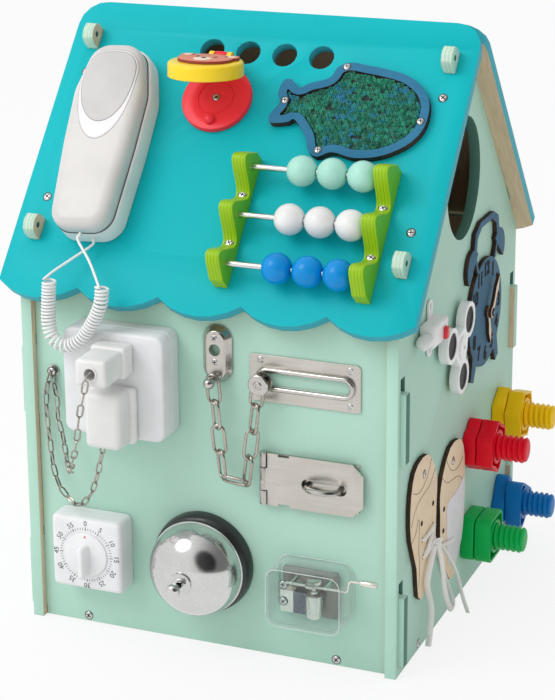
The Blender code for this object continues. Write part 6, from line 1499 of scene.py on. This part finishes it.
# ---------------------------------------------------------------- Kitchen timer
# A square clockwork timer in white ABS: a ring of printed minutes on its face and a
# dial with a standing grip that is wound to the time.
TIMER = FRONT @ Matrix.Translation((-0.099, 0.070, 0))
TIMER_SIDE = 0.062
TIMER_HIGH = 0.022
FIGURES_AT = 0.0266
TICKS_AT = 0.0222
timer_white = moulded("timer_white", (0.86, 0.86, 0.875), 0.34)
dial_white = moulded("dial_white", (0.88, 0.88, 0.89), 0.3)
ink = moulded("printed_ink", (0.030, 0.030, 0.034), 0.5)
red_ink = moulded("red_ink", (0.75, 0.03, 0.03), 0.5)
case = pillow(round_box(TIMER_SIDE / 2, TIMER_SIDE / 2, 0.0042, 96),
              [(0.0010, LOOSE), (0, 0.0010), (0, 0.0178), (0.0006, 0.0198), (0.0016, 0.0211),
               (0.0030, 0.0218),
               (0.0044, TIMER_HIGH)], rings=6)
new_piece("timer_box", case, "house", timer_white, "white_plastic", ("timer_case",), TIMER)
ridge = pillow(slot_loop(-0.0032, -0.0172, 0.0032, 0.0100, 8),
               [(-0.0008, 0.0010), (-0.0002, 0.0018), (0.0001, 0.0075), (0.0006, 0.0100), (0.0014, 0.0114),
                (0.0022, 0.0118)], rings=3)
knob = revolve([(0, 0.0015), (0.0180, 0.0015), (0.0186, 0.0012), (0.0188, 0.0006), (0.0188, 0.0003),
                (0, 0.0003)], 72)
arrow = plate([[(-0.0011, 0.0150), (0.0011, 0.0150), (0, 0.0173)]], 0.0013, 0.0016, (red_ink,))
dial = joined([coated(ridge, dial_white), coated(knob, dial_white), arrow], 45)
new_piece("timer_knob", dial, "timer_dial", None, "white_plastic", ("timer_dial",),
          TIMER @ Matrix.Translation((0, 0, TIMER_HIGH)))


def lettering(word, size, finish, place, high=0.00006, bold=0.0):
    """Printed or burnt figures as a skin a little proud of their face."""
    curve = bpy.data.curves.new("word", "FONT")
    curve.body = word
    curve.size = size
    curve.align_x = "CENTER"
    curve.align_y = "CENTER"
    curve.extrude = high
    curve.offset = bold
    curve.resolution_u = 3
    mesh = baked(curve)
    bpy.data.curves.remove(curve)
    mesh.transform(place)
    return coated(mesh, finish)


marks = []
for n in range(12):
    angle = 2 * pi * n / 12
    spot = TIMER @ Matrix.Translation((FIGURES_AT * sin(angle), FIGURES_AT * cos(angle), TIMER_HIGH))
    marks.append(lettering(str(5 * n), 0.0060, ink, spot @ Matrix.Rotation(-angle, 4, "Z")))
tick = block((-0.00018, -0.0010, -0.00005), (0.00018, 0.0010, 0.00008))
ticks = [TIMER @ Matrix.Rotation(-2 * pi * n / 60, 4, "Z") @ Matrix.Translation((0, TICKS_AT, TIMER_HIGH)) @
         Matrix.Scale(1.5 if n % 5 == 0 else 1.0, 4) for n in range(60)]
marks.append(set_out(tick, ticks, ink))
new_piece("timer_figures", joined(marks), "house", None, "black_plastic")

# ---------------------------------------------------------------- Desk bell
# A spun steel dome, chromed, on a black pressed base; a sprung plunger through its
# top strikes it from inside.
BELL = FRONT @ Matrix.Translation((-0.0045, 0.0715, 0))
bell_chrome = metal("bell_chrome", (0.70, 0.695, 0.69), 0.045, None, 0.00001, (0.60, 0.595, 0.59))
bell_black = moulded("bell_black", (0.020, 0.020, 0.022), 0.28, coat=0.4)
foot = revolve([(0, 0.0120), (0.0330, 0.0120), (0.0378, 0.0112), (0.0402, 0.0096), (0.0414, 0.0072),
                (0.0420, 0.0030), (0.0420, 0.0008), (0.0414, LOOSE), (0, LOOSE)], 96)
post = revolve([(0, 0.0240), (0.0030, 0.0240), (0.0030, 0.0300), (0.0060, 0.0300), (0.0070, 0.0280),
                (0.0070, 0.0110), (0, 0.0110)], 32)
new_piece("bell_foot", joined([foot, post], 40), "house", bell_black, "black_plastic", ("bell_base",), BELL)
rise = []
for k in range(33):
    angle = (pi / 2) * k / 32
    rise.append((0.0378 * cos(angle) + 0.0004 * (1 - k / 32), 0.0160 + 0.0308 * sin(angle) ** 0.94))
outer_rise = [(0.0384, 0.0146), (0.0390, 0.0150), (0.0389, 0.0157)] + rise[:-1] + [(0.0036, 0.0470)]
inner_rise = [(max(r - 0.0015, 0.0036), h - 0.0013) for r, h in rise[:-1]][::-1]
dome = revolve(outer_rise + [(0.0036, 0.0455)] + inner_rise[1:] + [(0.0374, 0.0146)], 128, closed=True)
new_piece("bell_shell", dome, "house", bell_chrome, "chrome", ("bell_dome",), BELL)
plunger = revolve([(0, 0.0650), (0.0022, 0.0648), (0.0040, 0.0639), (0.0051, 0.0624), (0.0055, 0.0605),
                   (0.0053, 0.0588), (0.0040, 0.0580), (0.0030, 0.0578), (0.0027, 0.0560), (0.0022, 0.0550),
                   (0.0022, 0.0310), (0, 0.0310)], 48)
new_piece("bell_button", plunger, "bell_plunger", bell_chrome, "chrome", ("bell_plunger",), BELL)
collar = revolve([(0.0027, 0.0462), (0.0085, 0.0462), (0.0090, 0.0470), (0.0086, 0.0480), (0.0060, 0.0486),
                  (0.0052, 0.0500), (0.0046, 0.0504), (0.0027, 0.0504)], 48, closed=True)
new_piece("bell_collar", collar, "house", bell_chrome, "chrome", (), BELL)

# ---------------------------------------------------------------- Music box
# A hand-cranked 18-note movement: chromed bed, pinned cylinder and steel comb, under
# a clear polystyrene lid; the crank comes out through the side.
MUSIC_AT = (0.090, 0.0643)
MUSIC_SIZE = (0.062, 0.0485, 0.031)
MUSIC_WALL = 0.0018
MUSIC_CORNER = 0.009
DRUM_AT = (0.0945, 0.0155)
DRUM_RADIUS = 0.0066
DRUM_LOW, DRUM_HIGH = 0.0475, 0.0655
CRANK_AT = (0.0765, 0.0245)
NOTES = 18
GOLDEN_TURN = 2.39996


def clear_plastic(name, tint, body):
    """Clear polystyrene: mostly see-through, bright where it is seen edge on."""
    finish = Finish(name)
    haze = finish.noise(60, detail=3)
    scuff = finish.noise(900, stretch=(1, 1, 0.2), detail=3)
    finish.relief(scuff, 0.00002, 0.3)
    finish.give(base_color=(0.90, 0.94, 0.93), roughness=0.06 + scuff * 0.08, coat_weight=0.3)
    edge = finish.node("ShaderNodeLayerWeight", {}, {"Blend": 0.42}, 1)
    glass = finish.node("ShaderNodeBsdfTransparent", {}, {"Color": tint})
    share = edge ** 2.6 * 0.9 + haze * 0.04 + body
    finish.blend_in(share, glass, Value(finish, finish.shader.outputs[0]))
    return finish.material


def box_loop(inset_by):
    corner = MUSIC_CORNER - inset_by
    return round_box(MUSIC_SIZE[0] / 2 - inset_by, MUSIC_SIZE[1] / 2 - inset_by, corner, 72)


clear_case = clear_plastic("clear_case", (0.93, 0.97, 0.96), 0.02)
# Painted highlight: the edge lines are near-opaque bright plastic, standing for the lid's reflections along
# its edges.
edge_highlight_line = clear_plastic("edge_highlight_line", (0.97, 1.0, 0.99), 0.45)
shell = pillow(box_loop(0), [(0, LOOSE), (0, 0.0282), (0.0004, 0.0296), (0.0012, 0.0305),
                             (0.0024, MUSIC_SIZE[2])], rings=3)
hollow = pillow(box_loop(MUSIC_WALL), [(0, -0.002), (0, 0.0278), (0.0006, 0.0288), (0.0014, 0.0292)], rings=3)
crank_hole = rod(0.0014, -0.003, 0.003)
crank_hole.transform(Matrix.Translation((MUSIC_SIZE[0] / 2 - 0.0008, CRANK_AT[0] - MUSIC_AT[1],
                                         CRANK_AT[1])) @
                     Matrix.Rotation(pi / 2, 4, "Y"))
# Painted highlights: bright tubes along the lid's top and bottom edges.
rim_highlights = []
for height, drawn in ((0.0300, 0.0007), (0.0012, -0.0002)):
    loop = [(x, y, height) for x, y in box_loop(drawn)]
    rim_highlights.append(tube(loop + loop[:2], 0.00042, 1))
rim_highlights = joined(rim_highlights)
rim_highlights.shade_smooth()
MUSIC = FRONT @ Matrix.Translation((*MUSIC_AT, 0))
new_piece("music_box_rims", rim_highlights, "house", edge_highlight_line, "clear_plastic", (), MUSIC)
new_piece("music_box_lid", soft(carved(shell, hollow, crank_hole), 45), "house", clear_case, "clear_plastic",
          ("music_box_case",), MUSIC)
movement = metal("movement_plate", (0.27, 0.25, 0.23), 0.30, None, 0.00004, (0.17, 0.16, 0.145))
teeth_dark = metal("teeth_dark", (0.07, 0.08, 0.13), 0.25)
movement_bright = metal("movement_bright", (0.80, 0.77, 0.72), 0.12)
dressed("music_bed", "music_box_frame", "house", (movement, movement_bright),
        lambda n, c: 1 if c.y < -WALL_FACE - 0.0090 and (c.x > 0.0765 or abs(n.y) < 0.5) else 0, 0.00015,
        "brushed_steel")
dressed("music_cylinder", "music_box_drum", "music_drum", (movement_bright,), None, 0.0001, "chrome")
dressed("music_handle", "music_box_crank", "music_crank", (movement_bright,), None, 0.0001, "brushed_steel")
pin = revolve([(0, 0.0006), (0.00022, 0.0005), (0.00026, -0.0002), (0, -0.0002)], 6)
pins = []
drum_long = DRUM_HIGH - DRUM_LOW
for n in range(150):
    height = DRUM_LOW + 0.0012 + (drum_long - 0.0024) * ((n * 7) % NOTES + 0.5) / NOTES
    out = Matrix.Translation((DRUM_AT[0], height, DRUM_AT[1])) @ Matrix.Rotation(n * GOLDEN_TURN, 4, "Y")
    pins.append(FRONT @ out @ Matrix.Translation((0, 0, DRUM_RADIUS)))
new_piece("music_pins", set_out(pin, pins, movement_bright), "music_drum", None, "chrome")
tine = block((0, -0.00036, -0.0003), (0.0105, 0.00036, 0.0003))
heights = [DRUM_LOW + drum_long * (n + 0.5) / NOTES for n in range(NOTES)]
tines = [FRONT @ Matrix.Translation((0.0772, height, 0.0158)) for height in heights]
new_piece("music_tines", set_out(tine, tines, teeth_dark), "house", None, "brushed_steel")
screws("music_screws", "house", [(0.0690, height, 0.0165) for height in (0.0700, 0.0560)], 0.95, FRONT)

# ---------------------------------------------------------------- Alarm clock
# Four millimetre ply cut by laser, so its edges are burnt brown; the dial is stained
# slate blue with burnt figures, and two bare birch hands turn on one pivot.
CLOCK = SIDE @ Matrix.Translation((0.0555, 0.236, 0))
CLOCK_THICK = 0.004
slate = stained_ply("slate_stain", (0.085, 0.185, 0.275), (0.060, 0.140, 0.215), (8, 1, 8))
birch_face = Finish("birch_face")
grain = birch_face.noise(70, stretch=(8, 8, 1), detail=6, rough=0.6)
fleck = birch_face.noise(500, stretch=(6, 6, 1), detail=2)
tone = birch_face.mix((0.78, 0.60, 0.41), (0.90, 0.76, 0.57), (grain * 0.7 + fleck * 0.3).step(0.3, 0.75))
birch_face.relief(grain + fleck * 0.4, 0.0001, 0.5)
birch_face.give(base_color=tone, roughness=0.55 + grain * 0.2, specular_ior_level=0.25)


def cut_face(normal, centre):
    return 0 if abs(normal.x) > 0.8 else 1


dressed("clock_dial", "alarm_clock_face", "house", (slate, char), cut_face, 0.00012, "blue_stain")
burnt_black = stained_ply("burnt_black", (0.020, 0.014, 0.012), (0.008, 0.006, 0.006), (1, 1, 1))
figures = []
for n in range(1, 13):
    angle = 2 * pi * n / 12
    spot = Matrix.Translation((0.0368 * sin(angle), 0.0368 * cos(angle), CLOCK_THICK + LOOSE))
    figures.append(lettering(str(n), 0.0165, burnt_black, CLOCK @ spot, 0.00010, 0.00045))
new_piece("clock_figures", joined(figures), "house", None, "black_plastic")
for name in ("hour_hand", "minute_hand"):
    dressed(name + "_birch", name, name, (birch_face.material, char), cut_face, 0.00012, "pale_plywood")
pivot = revolve([(0, 0.0118), (0.0018, 0.0115), (0.0027, 0.0106), (0.0027, 0.0100), (0, 0.0100)], 28)
new_piece("clock_pivot", pivot, "house", zinc, "brushed_steel", (), CLOCK)

# ---------------------------------------------------------------- Push light
# A small white switch box screwed under the eave with a red push button and a clear
# bulb in a ribbed collar.
BULB_REACH = -0.1125
light_white = moulded("light_white", (0.84, 0.84, 0.85), 0.3)
light_red = moulded("light_red", (0.75, 0.03, 0.045), 0.25)
bulb_clear = moulded("bulb_clear", (0.74, 0.76, 0.77), 0.08, coat=0.6)
dressed("light_box", "push_light_case", "house", (light_white, bulb_clear),
        lambda n, c: 1 if c.y < BULB_REACH else 0, 0.0004, "white_plastic")
dressed("light_push", "push_light_button", "light_button", (light_red,), None, 0.0004, "red_plastic")

# ---------------------------------------------------------------- Spinner
# A three-armed white ABS spinner with a bearing under its cap; each arm carries a
# glossy black weight.
SPINNER_AT = (-0.0326, 0.233)
SPINNER = SIDE @ Matrix.Translation((*SPINNER_AT, 0))
spinner_white = moulded("spinner_white", (0.86, 0.86, 0.86), 0.2, coat=0.3)
weight_black = moulded("weight_black", (0.004, 0.004, 0.008), 0.3, shine=0.12)
dressed("spinner_arms", "spinner", "spinner", (spinner_white,), None, 0.0011, "white_plastic")
weights = []
for k in range(3):
    weights.append(revolve([(0, 0.0093), (0.0050, 0.0094), (0.0090, 0.0097), (0.0100, 0.0102),
                            (0.0106, 0.0100),
                            (0.0109, 0.0092), (0.0109, 0.0080), (0, 0.0080)], 48))
    arm = Matrix.Rotation(radians(41) + 2 * pi * k / 3, 4, "Z") @ Matrix.Translation((0.0265, 0, 0.00035))
    weights[-1].transform(arm)
new_piece("spinner_weights", joined(weights), "spinner", weight_black, "black_plastic", (), SPINNER)
cap = revolve([(0, 0.0130), (0.0070, 0.0129), (0.0086, 0.0125), (0.0095, 0.0118), (0.0095, 0.0110),
               (0, 0.0110)], 48)
new_piece("spinner_cap", cap, "spinner", spinner_white, "white_plastic", (), SPINNER)
screws("spinner_screw", "spinner", [(*SPINNER_AT, 0.0127)], 0.7, SIDE)

# ---------------------------------------------------------------- Bolts and nuts
# Four oversize bolts of tough polypropylene, one shape and colour each; the heads
# are screwed to the wall, the nuts run off over a coarse rolled thread.
BOLT_ROOT = 0.0093
BOLT_CREST = 0.0110
BOLT_TIP = 0.0510
BOLT_PITCH = 0.0046
THREAD_FROM = 0.0125
BOLTS = (("hexagon", (0.112, 0.128), "yellow", (0.96, 0.60, 0.002)),
         ("flower", (0.027, 0.129), "red", (0.78, 0.002, 0.018)),
         ("triangle", (0.116, 0.044), "blue", (0.002, 0.17, 0.52)),
         ("square", (0.026, 0.049), "green", (0.001, 0.45, 0.090)))


def thread(low, high, around=48, rows_a_turn=8):
    """A coarse round thread with its lead-in, from low to high."""
    count = int((high - low) / BOLT_PITCH * rows_a_turn)
    rows = []
    for j in range(count + 1):
        height = low + (high - low) * j / count
        end = (high - height) / 0.0045
        row = []
        for i in range(around):
            lift = 0.5 - 0.5 * cos(2 * pi * ((height / BOLT_PITCH - i / around) % 1))
            radius = BOLT_ROOT + (BOLT_CREST - BOLT_ROOT) * min(1, lift * 1.25)
            if end < 1:
                radius = min(radius, BOLT_CREST * (0.72 + 0.28 * sqrt(max(0, 1 - (1 - end) ** 2))))
            row.append((radius * cos(2 * pi * i / around), radius * sin(2 * pi * i / around), height))
        rows.append(row)
    rows.append([(x * 0.55, y * 0.55, high + 0.0003) for x, y, height in rows[-1]])
    return lofted(rows, caps=(0, -1), angle=60)


for name, spot, tint, color in BOLTS:
    finish = moulded("bolt_" + tint, color, 0.3, shine=0.2)
    slot = tint + "_plastic"
    above = block((SIDE_FACE + THREAD_FROM, spot[0] - 0.02, spot[1] - 0.02),
                  (SIDE_FACE + 0.06, spot[0] + 0.02, spot[1] + 0.02))
    head = eased(carved(copy_of("bolt_" + name), above), 0.0009, 3)
    stem = thread(THREAD_FROM - 0.002, BOLT_TIP)
    stem.transform(SIDE @ Matrix.Translation((*spot, 0)))
    new_piece("toy_bolt_" + name, joined([head, stem], 50), "house", finish, slot, ("bolt_" + name,))
    dressed("toy_nut_" + name, "nut_" + name, "nut_" + name, (finish,), None, 0.0007, slot)

# ---------------------------------------------------------------- Shoes
# A pair of shoe soles cut by laser from bare birch ply, with scored seams and round
# eyelets to practise lacing; each is screwed on at the toe.
SHOE_SIZE = (0.067, 0.116, 0.004)
LACE_SHARES = ((0.343, 0.096), (-0.082, 0.045), (0.357, -0.063), (-0.037, -0.084), (0.366, -0.162),
               (-0.007, -0.214))
SHOES = {"left_shoe": (-0.1045, 0.1068, 1), "right_shoe": (-0.0293, 0.090, -1)}
SEAMS = (((-0.46, 0.10), (-0.30, 0.20), (-0.05, 0.24), (0.20, 0.26), (0.42, 0.34)),
         ((-0.40, 0.33), (-0.18, 0.29), (0.08, 0.33), (0.26, 0.44)),
         ((-0.46, -0.02), (-0.30, 0.02), (-0.20, 0.10), (-0.16, 0.02), (-0.18, -0.12), (-0.14, -0.26),
          (-0.16, -0.40)))
TONGUE = ((0.20, 0.10), (-0.20, 0.12), (-0.47, 0.15), (-0.47, -0.10), (-0.38, -0.30), (-0.12, -0.42),
          (0.16, -0.34), (0.22, -0.05))
scored = charred("scored_line")
eyelet = revolve([(0.0012, 0.0001), (0.0021, 0.0001), (0.0021, -0.0004), (0.0012, -0.0004)], 20, closed=True)


def shoe_spot(name, share):
    """A point of a shoe's face from its shares of the shoe's size."""
    y, z, way = SHOES[name]
    return Vector((y + way * share[0] * SHOE_SIZE[0], z + share[1] * SHOE_SIZE[1], SHOE_SIZE[2]))


for name in SHOES:
    dressed(name + "_ply", name, "house", (birch_face.material, char), cut_face, 0.00012, "pale_plywood")
    marks = [tube(smooth([shoe_spot(name, share) for share in seam], 6), 0.00022, 1) for seam in SEAMS]
    for share in LACE_SHARES:
        marks.append(eyelet.copy())
        marks[-1].transform(Matrix.Translation(shoe_spot(name, share) + Vector((0, 0, LOOSE))))
    marks = joined(marks)
    marks.shade_smooth()
    new_piece(name + "_scoring", marks, "house", scored, "pale_plywood", (), SIDE)
screws("shoe_screws", "house", [(-0.1045, 0.1515, 0.0041), (-0.0293, 0.1345, 0.0041)], 0.9, SIDE)
tongue_white = moulded("tongue_white", (0.80, 0.79, 0.82), 0.55, grain=700, depth=0.00006)
tongue = smooth([shoe_spot("right_shoe", share).xy for share in TONGUE], 5, True)
tongue = plate([anticlockwise([tuple(p) for p in tongue])], SHOE_SIZE[2] + 0.00005, SHOE_SIZE[2] + 0.0005,
               (tongue_white,), 0.0001)
new_piece("right_shoe_tongue", tongue, "house", None, "white_plastic", (), SIDE)
crossings = []
over = Vector((0, 0, 1))
for name, first, last in (("left_shoe", 3, 2), ("left_shoe", 5, 2), ("left_shoe", 5, 4),
                          ("right_shoe", 5, 4)):
    a, b = shoe_spot(name, LACE_SHARES[first]), shoe_spot(name, LACE_SHARES[last])
    row = [a - over * 0.0012, a + over * 0.0007, a.lerp(b, 0.2) + over * 0.0014,
           a.lerp(b, 0.5) + over * 0.0017,
           a.lerp(b, 0.8) + over * 0.0014, b + over * 0.0007, b - over * 0.0012]
    crossings.append(woven_tube([SIDE @ p for p in smooth(row, 4)], 0.0019, 0.0016, 14))
crossings = joined(crossings)
crossings.shade_smooth()
new_piece("laces_tight", crossings, "house", lace_cotton.material, "lace_cotton")
